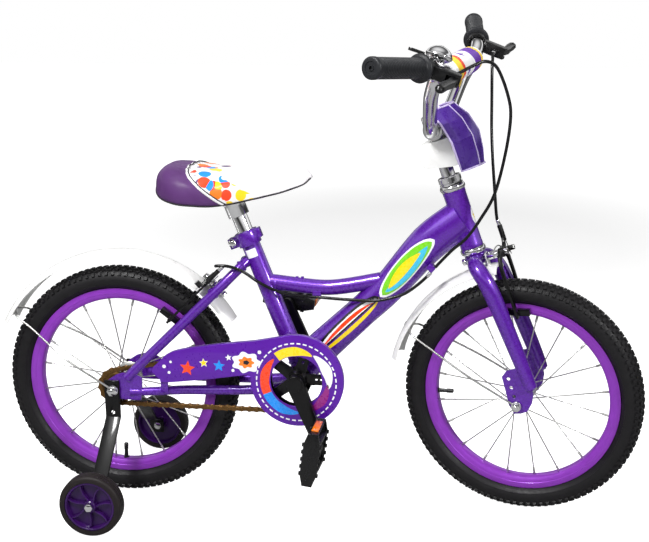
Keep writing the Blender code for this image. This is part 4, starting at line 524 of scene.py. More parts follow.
PURPLE = srgb(92, 32, 162)
INK_RED = srgb(245, 66, 20)
INK_YELLOW = srgb(250, 214, 24)
INK_ORANGE = srgb(255, 125, 20)
INK_BLUE = srgb(20, 140, 240)
INK_WHITE = srgb(246, 246, 248)
INK_MAGENTA = srgb(140, 30, 125)
INK_GREEN = srgb(120, 205, 40)
INK_CYAN = srgb(60, 190, 225)
INK_BLACK = srgb(22, 20, 26)
PURPLE_PAINT = Paint("purple_paint", "purple_paint", PURPLE, 0.28, metallic=0.35, coat=1.0, variation=0.06,
                     specular=0.4)
GUARD_PAINT = Paint("guard_paint", "guard_paint", PURPLE, 0.32, metallic=0.2, coat=0.5, variation=0.06,
                    specular=0.3)
PLATE_PAINT = Paint("plate_purple", "plate_purple", srgb(72, 40, 134), 0.3, metallic=0.15, coat=0.5,
                    specular=0.25)
RIM_PAINT = Paint("rim_violet", "rim_violet", srgb(138, 60, 182), 0.36, metallic=0.2, coat=0.3,
                  variation=0.08, specular=0.2)
CHROME = Finish("chrome", "chrome", (0.83, 0.83, 0.84), 0.1, metallic=1.0, variation=0.08, wear=0.04,
                depth=0.00001)
ZINC = Finish("zinc", "zinc", (0.62, 0.62, 0.60), 0.3, metallic=1.0, variation=0.15, depth=0.00002)
STEEL_BLACK = Finish("black_steel", "black_steel", srgb(12, 12, 13), 0.38, coat=0.35, variation=0.2,
                     specular=0.2)
CHAIN_BRONZE = Finish("chain_steel", "chain_steel", srgb(128, 96, 58), 0.3, metallic=0.9, variation=0.35,
                      patch=400.0)
PLASTIC_BLACK = Grained("black_plastic", "black_plastic", srgb(22, 22, 23), 0.3, variation=0.15, cell=1400.0,
                        specular=0.4)
CABLE_BLACK = Finish("cable_black", "cable_black", srgb(16, 16, 17), 0.3, coat=0.2, specular=0.3)
PLASTIC_WHITE = Finish("white_plastic", "white_plastic", srgb(240, 240, 238), 0.32, variation=0.04, coat=0.2)
GRIP_RUBBER = Grained("grip_rubber", "grip_rubber", srgb(36, 37, 40), 0.46, variation=0.15, cell=1600.0,
                      specular=0.35, depth=0.0001)
TYRE_RUBBER = Grained("tyre_rubber", "tyre_rubber", srgb(27, 26, 28), 0.5, variation=0.3, cell=700.0,
                      specular=0.3, depth=0.00012, wear=0.1)
SMALL_TYRE = Grained("stabiliser_rubber", "stabiliser_rubber", srgb(34, 29, 29), 0.55, variation=0.25,
                     specular=0.3, cell=600.0, depth=0.0001)
HUB_PURPLE = Finish("stabiliser_purple", "stabiliser_purple", srgb(54, 20, 84), 0.35, coat=0.3,
                    variation=0.15, specular=0.25)
VINYL_PURPLE = Grained("vinyl_purple", "saddle_vinyl", srgb(86, 52, 104), 0.42, variation=0.1, cell=850.0,
                       depth=0.00015, specular=0.3)
PIPING_WHITE = Grained("piping_white", "saddle_vinyl", srgb(238, 236, 238), 0.4, variation=0.05, cell=900.0)
EDGE_LILAC = Finish("edge_lilac", "plate_purple", srgb(190, 175, 220), 0.35, coat=0.3)
FOAM_DARK = Grained("foam_dark", "black_plastic", srgb(30, 24, 34), 0.75, variation=0.2, cell=1200.0)


def ink(name: str, colour: tuple[float, float, float], slot: str = "guard_paint") -> Finish:
    """Printed colour under lacquer.

    Args:
        name: Name of the colour.
        colour: Its linear value.
        slot: Material slot of the surface that it is printed on.

    Returns:
        The finish.
    """
    return Finish("ink_" + name, slot, colour, 0.28, coat=0.6, variation=0.04)


RED = ink("red", INK_RED)
YELLOW = ink("yellow", INK_YELLOW)
BLUE = ink("blue", INK_BLUE)
WHITE = ink("white", INK_WHITE)
MAGENTA = ink("magenta", INK_MAGENTA)
GREEN = ink("green", INK_GREEN, "purple_paint")
CYAN = ink("cyan", INK_CYAN, "purple_paint")
BLACK = ink("black", INK_BLACK, "purple_paint")
WHITE_TUBE = ink("white_tube", INK_WHITE, "purple_paint")
RED_TUBE = ink("red_tube", INK_RED, "purple_paint")
YELLOW_TUBE = ink("yellow_tube", INK_YELLOW, "purple_paint")
ORANGE = ink("orange", INK_ORANGE)
BLACK_GUARD = ink("black_guard", INK_BLACK)
PAD_WHITE = Grained("pad_white", "pad_vinyl", srgb(238, 238, 240), 0.45, variation=0.05, cell=1000.0)
PAD_PURPLE = Grained("pad_purple", "pad_vinyl", srgb(96, 44, 160), 0.45, variation=0.08, cell=1000.0)
PAD_RED = Grained("pad_red", "pad_vinyl", srgb(235, 70, 40), 0.45, variation=0.08, cell=1000.0)
PAD_YELLOW = Grained("pad_yellow", "pad_vinyl", srgb(250, 210, 50), 0.45, variation=0.08, cell=1000.0)
AMBER = Finish("amber_reflector", "black_plastic", srgb(240, 120, 20), 0.2, coat=0.8, variation=0.1,
               grain=500.0, depth=0.0003)
GUARD_EDGE = Finish("guard_edge", "guard_paint", srgb(196, 186, 214), 0.3, metallic=0.4, coat=0.4)


@dataclass(frozen=True)
class PrintedVinyl(Grained):
    """White vinyl with a print of bright rounded patches inside a band of space."""

    frame_matrix: tuple[tuple[float, ...], ...] = ()
    low: float = 0.0
    high: float = 1.0
    size: float = 60.0

    def base(self, graph: Graph) -> object:
        """White with the print between the band's two ends along its local X."""
        where = graph.local(Matrix(self.frame_matrix))
        along = graph.split(where)[0]
        wobble = graph.math("MULTIPLY", graph.math("SUBTRACT", graph.noise(45.0, 1.0), 0.5), 0.03)
        reach = graph.math("ADD", along, wobble)
        inside = graph.math("MULTIPLY", graph.span(reach, self.low, self.low + 0.0006),
                            graph.span(reach, self.high, self.high + 0.0006, 1.0, 0.0))
        tint = graph.split(graph.cells(self.size, "Color", where))
        edge = graph.span(graph.cells(self.size, "Distance", where), 0.50, 0.53, 1.0, 0.0)
        colour = INK_YELLOW
        for limit, shade in ((0.40, INK_ORANGE), (0.56, INK_RED), (0.70, INK_BLUE),
                             (0.88, VINYL_PURPLE.colour)):
            colour = graph.mix(graph.span(tint[0], limit, limit + 0.001), colour, shade)
        seen = graph.math("MULTIPLY", inside, edge)
        return graph.mix(seen, self.colour, colour)


class Bench:
    """Modelling moves that every sub-assembly shares."""

    made: list[str] = []

    @staticmethod
    def pick(*objects: bpy.types.Object) -> None:
        """Select these objects alone and make the first one active."""
        bpy.ops.object.select_all(action="DESELECT")
        for item in objects:
            item.select_set(True)
        bpy.context.view_layer.objects.active = objects[0]

    @staticmethod
    def heal(item: bpy.types.Object, holes: bool = False, gap: float = 0.000002) -> bpy.types.Object:
        """Merge doubled corners, close open ends and turn the faces outwards.

        Args:
            item: Mesh to heal.
            holes: Whether open ends are closed.
            gap: Distance under which corners are one.

        Returns:
            The same object.
        """
        Bench.pick(item)
        bpy.ops.object.mode_set(mode="EDIT")
        bpy.ops.mesh.select_all(action="SELECT")
        bpy.ops.mesh.remove_doubles(threshold=gap)
        bpy.ops.mesh.dissolve_degenerate(threshold=gap)
        if holes:
            bpy.ops.mesh.select_all(action="SELECT")
            bpy.ops.mesh.fill_holes(sides=0)
        bpy.ops.mesh.select_all(action="SELECT")
        bpy.ops.mesh.normals_make_consistent(inside=False)
        bpy.ops.object.mode_set(mode="OBJECT")
        return item

    @staticmethod
    def place(item: bpy.types.Object, placement: Matrix) -> bpy.types.Object:
        """Move a new mesh to its place, with the place kept in its corners."""
        item.matrix_world = placement @ item.matrix_world
        Bench.pick(item)
        bpy.ops.object.transform_apply(location=True, rotation=True, scale=True)
        return item

    @staticmethod
    def modify(item: bpy.types.Object, kind: str, **values: object) -> bpy.types.Object:
        """Add one modifier and apply it.

        Args:
            item: Mesh that takes it.
            kind: Type of modifier.
            values: Its settings.

        Returns:
            The same object.
        """
        Bench.pick(item)
        modifier = item.modifiers.new(kind.lower(), kind)
        for key, value in values.items():
            setattr(modifier, key, value)
        bpy.ops.object.modifier_apply(modifier=modifier.name)
        return item

    @staticmethod
    def turned(profile: Outline, placement: Matrix, segments: int = 48,
               sweep: float = 360.0) -> bpy.types.Object:
        """Closed profile of (along, radius) points turned about local Z.

        Args:
            profile: Closed outline, in order.
            placement: Where the axis runs, along local Z.
            segments: Steps round the axis.
            sweep: Degrees that it is turned through, from local X.

        Returns:
            The new object.
        """
        bpy.ops.mesh.primitive_circle_add(vertices=len(profile), radius=1.0, fill_type="NOTHING")
        item = bpy.context.object
        for corner, (along, radius) in zip(item.data.vertices, profile):
            corner.co = (radius, 0.0, along)
        Bench.modify(item, "SCREW", axis="Z", angle=math.radians(sweep), steps=segments,
                     render_steps=segments, use_merge_vertices=True, merge_threshold=0.000001)
        Bench.heal(item, holes=sweep < 360.0)
        return Bench.place(item, placement)

    @staticmethod
    def tube(path: Iterable[Point], radius: float, sides: int = 20, taper: Optional[Sequence[float]] = None,
             loop: bool = False) -> bpy.types.Object:
        """Round tube along a path.

        Args:
            path: Points of its centre line.
            radius: Its radius.
            sides: Faces round it.
            taper: Share of the radius at points spread evenly along the path.
            loop: Whether the path closes on itself.

        Returns:
            The new object.
        """
        points = [Vector(p) for p in path]
        bpy.ops.curve.primitive_bezier_curve_add()
        item = bpy.context.object
        curve = item.data
        curve.splines.clear()
        curve.bevel_depth = radius
        curve.bevel_resolution = (sides - 4) // 2
        curve.use_fill_caps = not loop
        spline = curve.splines.new("POLY")
        spline.points.add(len(points) - 1)
        spline.use_cyclic_u = loop
        for index, (point, place) in enumerate(zip(spline.points, points)):
            point.co = (*place, 1.0)
            if taper:
                share = index / (len(points) - 1) * (len(taper) - 1)
                low = min(int(share), len(taper) - 2)
                point.radius = taper[low] + (taper[low + 1] - taper[low]) * (share - low)
        Bench.pick(item)
        bpy.ops.object.convert(target="MESH")
        return Bench.heal(bpy.context.object)

    @staticmethod
    def plate(outlines: Sequence[Outline], thickness: float, placement: Matrix, bevel: float = 0.0003,
              rounding: int = 1) -> bpy.types.Object:
        """Flat plate with rounded edges; each outline after the first is a hole.

        Args:
            outlines: Closed outlines in local X and Y.
            thickness: Size along local Z, half on each side.
            placement: Where the plate lies.
            bevel: Radius of its edges.
            rounding: Steps of the rounding.

        Returns:
            The new object.
        """
        bpy.ops.curve.primitive_bezier_curve_add()
        item = bpy.context.object
        curve = item.data
        curve.splines.clear()
        curve.dimensions = "2D"
        curve.fill_mode = "BOTH"
        curve.extrude = max(0.0, thickness / 2 - bevel)
        curve.bevel_depth = bevel
        curve.bevel_resolution = rounding
        curve.offset = -bevel
        for outline in outlines:
            spline = curve.splines.new("POLY")
            spline.points.add(len(outline) - 1)
            spline.use_cyclic_u = True
            for point, place in zip(spline.points, outline):
                point.co = (place[0], place[1], 0.0, 1.0)
        Bench.pick(item)
        bpy.ops.object.convert(target="MESH")
        return Bench.place(Bench.heal(bpy.context.object), placement)

    @staticmethod
    def block(size: Point, placement: Matrix, bevel: float = 0.0008) -> bpy.types.Object:
        """Block with rounded edges, centred on its placement.

        Args:
            size: Length along each local axis.
            placement: Where the block lies.
            bevel: Radius of its edges.

        Returns:
            The new object.
        """
        bpy.ops.mesh.primitive_cube_add(size=1.0)
        item = bpy.context.object
        item.scale = size
        bpy.ops.object.transform_apply(location=False, rotation=False, scale=True)
        bpy.ops.object.mode_set(mode="EDIT")
        bpy.ops.mesh.select_all(action="SELECT")
        bpy.ops.mesh.bevel(offset=bevel, segments=2, affect="EDGES")
        bpy.ops.object.mode_set(mode="OBJECT")
        return Bench.place(item, placement)

    @staticmethod
    def lug(size: Point, placement: Matrix, taper: float = 0.78) -> bpy.types.Object:
        """Small block that narrows towards its top.

        Args:
            size: Length along each local axis.
            placement: Where the block lies.
            taper: Size of its top as a share of its foot.

        Returns:
            The new object.
        """
        bpy.ops.mesh.primitive_cube_add(size=1.0)
        item = bpy.context.object
        for corner in item.data.vertices:
            share = taper if corner.co.z > 0 else 1.0
            corner.co = (corner.co.x * size[0] * share, corner.co.y * size[1] * share, corner.co.z * size[2])
        return Bench.place(item, placement)

    @staticmethod
    def wrapped(item: bpy.types.Object, target: bpy.types.Object, way: Vector, lift: float,
                cell: float = 0.003) -> bpy.types.Object:
        """Cut a flat print into small faces and press it onto a surface.

        Args:
            item: Flat mesh beside the surface.
            target: Surface that it is pressed onto.
            way: Direction that it is pressed in.
            lift: Height above the surface.
            cell: Size of the small faces.

        Returns:
            The same object.
        """
        for axis in range(3):
            normal = Vector([1.0 if k == axis else 0.0 for k in range(3)])
            if abs(normal.dot(way)) > 0.9:
                continue
            spots = [corner.co[axis] for corner in item.data.vertices]
            for step in range(1, int((max(spots) - min(spots)) / cell) + 1):
                Bench.pick(item)
                bpy.ops.object.mode_set(mode="EDIT")
                bpy.ops.mesh.select_all(action="SELECT")
                bpy.ops.mesh.bisect(plane_co=normal * (min(spots) + step * cell), plane_no=normal)
                bpy.ops.object.mode_set(mode="OBJECT")
        corners = item.data.vertices
        for corner in corners:
            hit, spot, _, _ = target.ray_cast(corner.co, way)
            if hit:
                corner.co = spot - way * lift
        Bench.modify(item, "SOLIDIFY", thickness=0.00012, offset=0.0)
        return item

    @staticmethod
    def sheet(rows: Sequence[Sequence[Vector]], wrap: bool = False) -> bpy.types.Object:
        """Skin through rows of points.

        Args:
            rows: Rows with as many points each.
            wrap: Whether each row closes on itself.

        Returns:
            The new object.
        """
        across, along = len(rows[0]) - (0 if wrap else 1), len(rows) - 1
        bpy.ops.mesh.primitive_grid_add(x_subdivisions=across, y_subdivisions=along, size=2.0)
        item = bpy.context.object
        for corner in item.data.vertices:
            column = round((corner.co.x + 1.0) / 2.0 * across) % len(rows[0])
            corner.co = rows[round((corner.co.y + 1.0) / 2.0 * along)][column]
        return Bench.heal(item)

    @staticmethod
    def sliced(item: bpy.types.Object, spot: Vector, normal: Vector, clear: str) -> bpy.types.Object:
        """Cut a mesh by a plane, drop one side and close the cut.

        Args:
            item: Mesh to cut.
            spot: Point on the plane.
            normal: Its normal.
            clear: Side that goes, "outer" for the normal's side or "inner".

        Returns:
            The same object.
        """
        Bench.pick(item)
        bpy.ops.object.mode_set(mode="EDIT")
        bpy.ops.mesh.select_all(action="SELECT")
        bpy.ops.mesh.bisect(plane_co=spot, plane_no=normal, use_fill=True, clear_outer=clear == "outer",
                            clear_inner=clear == "inner")
        bpy.ops.object.mode_set(mode="OBJECT")
        return item

    @staticmethod
    def section_curve(item: bpy.types.Object, spot: Vector, normal: Vector) -> list[Vector]:
        """Points in order round the section of a mesh by a plane.

        Args:
            item: Closed mesh.
            spot: Point on the plane.
            normal: Its normal.

        Returns:
            The section's points.
        """
        twin = Bench.sliced(Bench.copied(item, Matrix.Identity(4)), spot, normal, "outer")
        points = [c.co.copy() for c in twin.data.vertices if abs((c.co - spot).dot(normal)) < 0.00001]
        bpy.data.objects.remove(twin)
        middle = sum(points, Vector()) / len(points)
        other = normal.cross(Y_AXIS)
        points.sort(key=lambda p: math.atan2((p - middle).dot(other), (p - middle).dot(Y_AXIS)))
        kept = [points[0]]
        for point in points[1:]:
            if (point - kept[-1]).length > 0.0008:
                kept.append(point)
        return kept

    @staticmethod
    def strip(points: Outline, width: float) -> list[tuple[float, float]]:
        """Closed outline of a strip along an open line.

        Args:
            points: Points of the line.
            width: Width of the strip.

        Returns:
            The outline's points.
        """
        left, right = [], []
        for index, point in enumerate(points):
            before, after = points[max(0, index - 1)], points[min(len(points) - 1, index + 1)]
            way = Vector((after[0] - before[0], after[1] - before[1])).normalized()
            left.append((point[0] - way.y * width / 2, point[1] + way.x * width / 2))
            right.append((point[0] + way.y * width / 2, point[1] - way.x * width / 2))
        return left + right[::-1]

    @staticmethod
    def rod(start: Point, end: Point, radius: float, sides: int = 24,
            bevel: float = 0.0004) -> bpy.types.Object:
        """Round bar with softened ends.

        Args:
            start: Middle of its first end.
            end: Middle of its other end.
            radius: Its radius.
            sides: Faces round it.
            bevel: Radius of its end edges.

        Returns:
            The new object.
        """
        begin = Vector(start)
        length = (Vector(end) - begin).length
        soft = min(bevel, radius * 0.5, length * 0.25)
        profile = [(0.0, 0.0), (0.0, radius - soft), (soft * 0.3, radius - soft * 0.3), (soft, radius),
                   (length - soft, radius), (length - soft * 0.3, radius - soft * 0.3),
                   (length, radius - soft), (length, 0.0)]
        return Bench.turned(profile, aimed(begin, Vector(end) - begin), sides)

    @staticmethod
    def nut(centre: Point, direction: Vector, across: float, height: float) -> bpy.types.Object:
        """Hexagonal nut with chamfered corners, standing on a point.

        Args:
            centre: Middle of its foot.
            direction: Way that it stands.
            across: Distance across its corners.
            height: Its height.

        Returns:
            The new object.
        """
        radius = across / 2
        profile = [(0.0, 0.0), (0.0, radius * 0.97), (height * 0.06, radius), (height * 0.88, radius),
                   (height, radius * 0.86), (height, 0.0)]
        return Bench.turned(profile, aimed(centre, direction), 6)

    @staticmethod
    def joined(*parts: bpy.types.Object) -> bpy.types.Object:
        """Several meshes as one object, the first of them."""
        Bench.pick(*parts)
        if len(parts) > 1:
            bpy.ops.object.join()
        return bpy.context.object

    @staticmethod
    def copied(item: bpy.types.Object, placement: Matrix) -> bpy.types.Object:
        """Copy of a mesh with its own corners, moved by a placement."""
        twin = item.copy()
        twin.data = item.data.copy()
        bpy.context.scene.collection.objects.link(twin)
        return Bench.place(twin, placement)

    @staticmethod
    def ringed(item: bpy.types.Object, placement: Matrix, count: int) -> bpy.types.Object:
        """Copies of a mesh spread evenly round a placement's local Z.

        Args:
            item: Mesh of one, in place.
            placement: Axis that the copies go round.
            count: How many there are.

        Returns:
            One object with them all.
        """
        turn = placement @ Matrix.Rotation(2.0 * math.pi / count, 4, "Z") @ placement.inverted()
        bpy.ops.object.empty_add()
        guide = bpy.context.object
        guide.matrix_world = turn
        bpy.context.view_layer.update()
        Bench.modify(item, "ARRAY", count=count, use_relative_offset=False, use_object_offset=True,
                     offset_object=guide)
        bpy.data.objects.remove(guide)
        return item

    @staticmethod
    def softened(node: str, bevel: float = 0.0006, steps: int = 2, limit: float = 32.0) -> bpy.types.Object:
        """Copy of a CAD node with its sharp edges rounded.

        Args:
            node: Name of the CAD node.
            bevel: Radius of the rounding.
            steps: Steps of the rounding.
            limit: Edges that turn by more than this many degrees are rounded.

        Returns:
            The new object.
        """
        source = bpy.data.objects[node]
        item = source.copy()
        item.data = source.data.copy()
        item.parent = None
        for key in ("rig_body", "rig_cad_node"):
            if key in item:
                del item[key]
        bpy.context.scene.collection.objects.link(item)
        item.matrix_world = Matrix.Identity(4)
        item.hide_render = False
        item.hide_viewport = False
        Bench.pick(item)
        bpy.ops.object.mode_set(mode="EDIT")
        bpy.ops.mesh.select_all(action="SELECT")
        bpy.ops.mesh.remove_doubles(threshold=0.00001)
        bpy.ops.mesh.dissolve_limited(angle_limit=math.radians(1.0))
        bpy.ops.object.mode_set(mode="OBJECT")
        if bevel:
            Bench.modify(item, "BEVEL", width=bevel, segments=steps, limit_method="ANGLE",
                         angle_limit=math.radians(limit), use_clamp_overlap=True)
        return item

    @staticmethod
    def finished(item: bpy.types.Object, name: str, finish: Finish, body: Body, replaces: Sequence[str] = (),
                 steered: bool = False, smooth: float = 38.0) -> bpy.types.Object:
        """Name a piece, turn it with the fork if it belongs there, dress it and hang it on its body.

        Args:
            item: The finished mesh.
            name: Its name.
            finish: What it is made of.
            body: Body that it rides on.
            replaces: CAD nodes that it stands for.
            steered: Whether it was modelled with the wheel straight.
            smooth: Edges that turn by more than this many degrees stay sharp.

        Returns:
            The same object.
        """
        if steered:
            Bench.place(item, STEERING_TURN)
        Bench.pick(item)
        bpy.ops.object.transform_apply(location=True, rotation=True, scale=True)
        item.name = name
        item.data.name = name
        item.data.materials.clear()
        item.data.materials.append(finish.build())
        bpy.ops.object.shade_smooth_by_angle(angle=math.radians(smooth))
        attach(item, body.value)
        if replaces:
            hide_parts(*replaces)
        Bench.made.append(name)
        LOG.info("made %s on %s", name, body.value)
        return item

    @staticmethod
    def refined(node: str, name: str, finish: Finish, body: Body, *rounding: float) -> bpy.types.Object:
        """CAD node with its edges rounded, finished under a name of its own.

        Args:
            node: Name of the CAD node.
            name: The piece's name.
            finish: What it is made of.
            body: Body that it rides on.
            rounding: Radius, steps and limit of the rounding.

        Returns:
            The new object.
        """
        return Bench.finished(Bench.softened(node, *rounding), name, finish, body, [node])


@dataclass
class Wheel:
    """Tyre with a knobbly tread, rim, laced spokes, hub and axle of one wheel."""

    name: str
    body: Body
    carrier: Body
    centre: Vector
    steered: bool
    hub: Outline
    flange: float
    flange_side: float
    axle: Outline
    nut_side: float
    nut_size: float
    nut_height: float
    valve_turn: float
    spokes: int = 20
    pitches: int = 104
    rim_inside: float = 0.1412

    def place(self, turn: float = 0.0) -> Matrix:
        """Placement on the axle: local Z to the left, local X forward and turned by some degrees."""
        return aimed(self.centre, Y_AXIS) @ Matrix.Rotation(math.radians(turn), 4, "Z")

    def tyre(self) -> None:
        """Carcass with its sidewall ridges, and rows of tread blocks."""
        half = [(0.0097, 0.1500), (0.0104, 0.1590), (0.0132, 0.1606), (0.0166, 0.1632), (0.0190, 0.1664),
                (0.0196, 0.1666), (0.0200, 0.1682), (0.0209, 0.1702), (0.0214, 0.1735), (0.0210, 0.1770),
                (0.0200, 0.1805), (0.0186, 0.1838), (0.0160, 0.1872), (0.0120, 0.1899), (0.0065, 0.1918),
                (0.0, 0.1923)]
        carcass = Bench.turned(half + [(-y, r) for y, r in reversed(half[:-1])], self.place(), 128)
        step = 360.0 / self.pitches
        rows = ((0.0043, 0.1916, 0.0, 0.0064, 0.0070, 0.0), (-0.0043, 0.1916, 0.0, 0.0064, 0.0070, 0.5),
                (0.0122, 0.1893, 26.0, 0.0060, 0.0062, 0.5), (-0.0122, 0.1893, -26.0, 0.0060, 0.0062, 0.0),
                (0.0178, 0.1845, 58.0, 0.0058, 0.0066, 0.0), (-0.0178, 0.1845, -58.0, 0.0058, 0.0066, 0.5))
        blocks = []
        for side, radius, tilt, along, across, phase in rows:
            spot = self.place(phase * step) @ Matrix.Translation((radius, 0.0, side))
            lean = spot @ Matrix.Rotation(math.radians(90.0 - tilt), 4, "Y")
            height = 0.0040 if abs(side) < 0.01 else 0.0042
            blocks.append(Bench.lug((across, along, height),
                                    lean @ Matrix.Translation((0, 0, height * 0.25))))
        tread = Bench.ringed(Bench.joined(*blocks), self.place(), self.pitches)
        Bench.finished(Bench.joined(carcass, tread), self.name + "_tyre_treaded", TYRE_RUBBER, self.body,
                       [self.name + "_tyre"], self.steered, 30.0)

    def rim(self) -> None:
        """Box-section rim with a brake track, and its valve."""
        half = [(0.0, 0.1410), (0.0078, 0.1410), (0.0096, 0.1419), (0.0114, 0.1446), (0.0124, 0.1480),
                (0.0124, 0.1496), (0.0130, 0.1502), (0.0130, 0.1584), (0.0127, 0.1590), (0.0114, 0.1590),
                (0.0111, 0.1584), (0.0102, 0.1496), (0.0096, 0.1489), (0.0, 0.1486)]
        outline = half + [(-y, r) for y, r in reversed(half[1:-1])]
        Bench.finished(Bench.turned(outline, self.place(), 128), self.name + "_rim_section", RIM_PAINT,
                       self.body, [self.name + "_rim"], self.steered, 28.0)
        foot = self.place(self.valve_turn) @ Matrix.Translation((self.rim_inside, 0.0, 0.0))
        stem = [(0.0, 0.0), (0.0, 0.0048), (0.0016, 0.0044), (0.0022, 0.0034), (0.0150, 0.0030),
                (0.0154, 0.0036), (0.0250, 0.0036), (0.0262, 0.0026), (0.0262, 0.0)]
        valve = Bench.turned(stem, foot @ Matrix.Rotation(math.radians(-90.0), 4, "Y"), 20)
        Bench.finished(valve, self.name + "_valve", PLASTIC_BLACK, self.body, (), self.steered)

    def hub_and_spokes(self) -> None:
        """Turned hub with spokes laced to the rim and their nipples."""
        shell = Bench.turned(self.hub, self.place(), 48)
        wires, nipples = [], []
        for index in range(4):
            turn = 2.0 * math.pi * (index + 0.5) / self.spokes
            lean = turn + (0.33 if index % 4 < 2 else -0.33)
            side = self.flange_side if index % 2 else -self.flange_side
            foot = self.centre + Vector((math.cos(lean), 0.0, math.sin(lean))) * (self.flange - 0.003)
            foot += Y_AXIS * side
            reach = Vector((math.cos(turn), 0.0, math.sin(turn))) * self.rim_inside
            top = self.centre + reach + Y_AXIS * (side * 0.12)
            back = (foot - top).normalized()
            wires.append(Bench.rod(foot, top, 0.00105, 10, 0.0002))
            head = Y_AXIS * math.copysign(0.0022, side)
            wires.append(Bench.rod(foot - head * 0.2, foot + head, 0.0019, 10, 0.0004))
            nipples.append(Bench.rod(top, top + back * 0.0115, 0.0019, 8, 0.0004))
        lacing = Bench.ringed(Bench.joined(*wires, *nipples), self.place(), self.spokes // 4)
        Bench.finished(Bench.joined(shell, lacing), self.name + "_hub_laced", ZINC, self.body,
                       [self.name + "_hub_and_spokes"], self.steered)

    def axle_and_nuts(self) -> None:
        """Threaded axle with its cones, and a chamfered nut and washer at each end."""
        parts = [Bench.turned(self.axle, self.place(), 32)]
        for side in (1, -1):
            out = Y_AXIS * side
            start = self.centre + out * self.nut_side
            parts.append(Bench.rod(start, start + out * 0.0013, self.nut_size * 0.52, 32))
            parts.append(Bench.nut(start + out * 0.0013, out, self.nut_size, self.nut_height - 0.0013))
        Bench.finished(Bench.joined(*parts), self.name + "_axle_set", CHROME, self.carrier,
                       [self.name + "_axle"], self.steered)

    def build(self) -> None:
        """Build the whole wheel."""
        self.tyre()
        self.rim()
        self.hub_and_spokes()
        self.axle_and_nuts()


def front_wheel() -> Wheel:
    """Front wheel's sizes."""
    hub = mirrored([(0.0240, 0.0096), (0.0268, 0.0112), (0.0278, 0.0168), (0.0284, 0.0175), (0.0307, 0.0175),
                    (0.0314, 0.0168), (0.0318, 0.0108), (0.0355, 0.0105), (0.0365, 0.0095), (0.0365, 0.0045)])
    half = [(0.0368, 0.004), (0.0368, 0.0080), (0.0375, 0.0085), (0.0430, 0.0085), (0.0437, 0.0080),
            (0.0437, 0.004), (0.0595, 0.004), (0.0600, 0.0034), (0.0600, 0.0)]
    return Wheel("front", Body.FRONT_WHEEL, Body.STEERING, FRONT_CENTRE, True, hub, 0.0175, 0.0295,
                 mirrored(half), 0.0520, 0.0150, 0.0055, -183.0)


def rear_wheel() -> Wheel:
    """Rear wheel's sizes."""
    hub = [(-0.0465, 0.0052), (-0.0465, 0.0135), (-0.0455, 0.0145), (-0.0288, 0.0145), (-0.0278, 0.0160),
           (-0.0272, 0.0213), (-0.0265, 0.0220), (-0.0240, 0.0220), (-0.0233, 0.0213), (-0.0222, 0.0145),
           (-0.0195, 0.0126), (0.0195, 0.0126), (0.0222, 0.0145), (0.0233, 0.0213), (0.0240, 0.0220),
           (0.0265, 0.0220), (0.0272, 0.0213), (0.0282, 0.0112), (0.0455, 0.0105), (0.0465, 0.0095),
           (0.0465, 0.0052)]
    half = [(0.0468, 0.00475), (0.0468, 0.0085), (0.0474, 0.0090), (0.0510, 0.0090), (0.0517, 0.0085),
            (0.0517, 0.00475), (0.0738, 0.00475), (0.0743, 0.0041), (0.0743, 0.0)]
    return Wheel("rear", Body.REAR_WHEEL, Body.FRAME, REAR_CENTRE, False, hub, 0.0220, 0.0252, mirrored(half),
                 0.0643, 0.0170, 0.0065, -268.0)


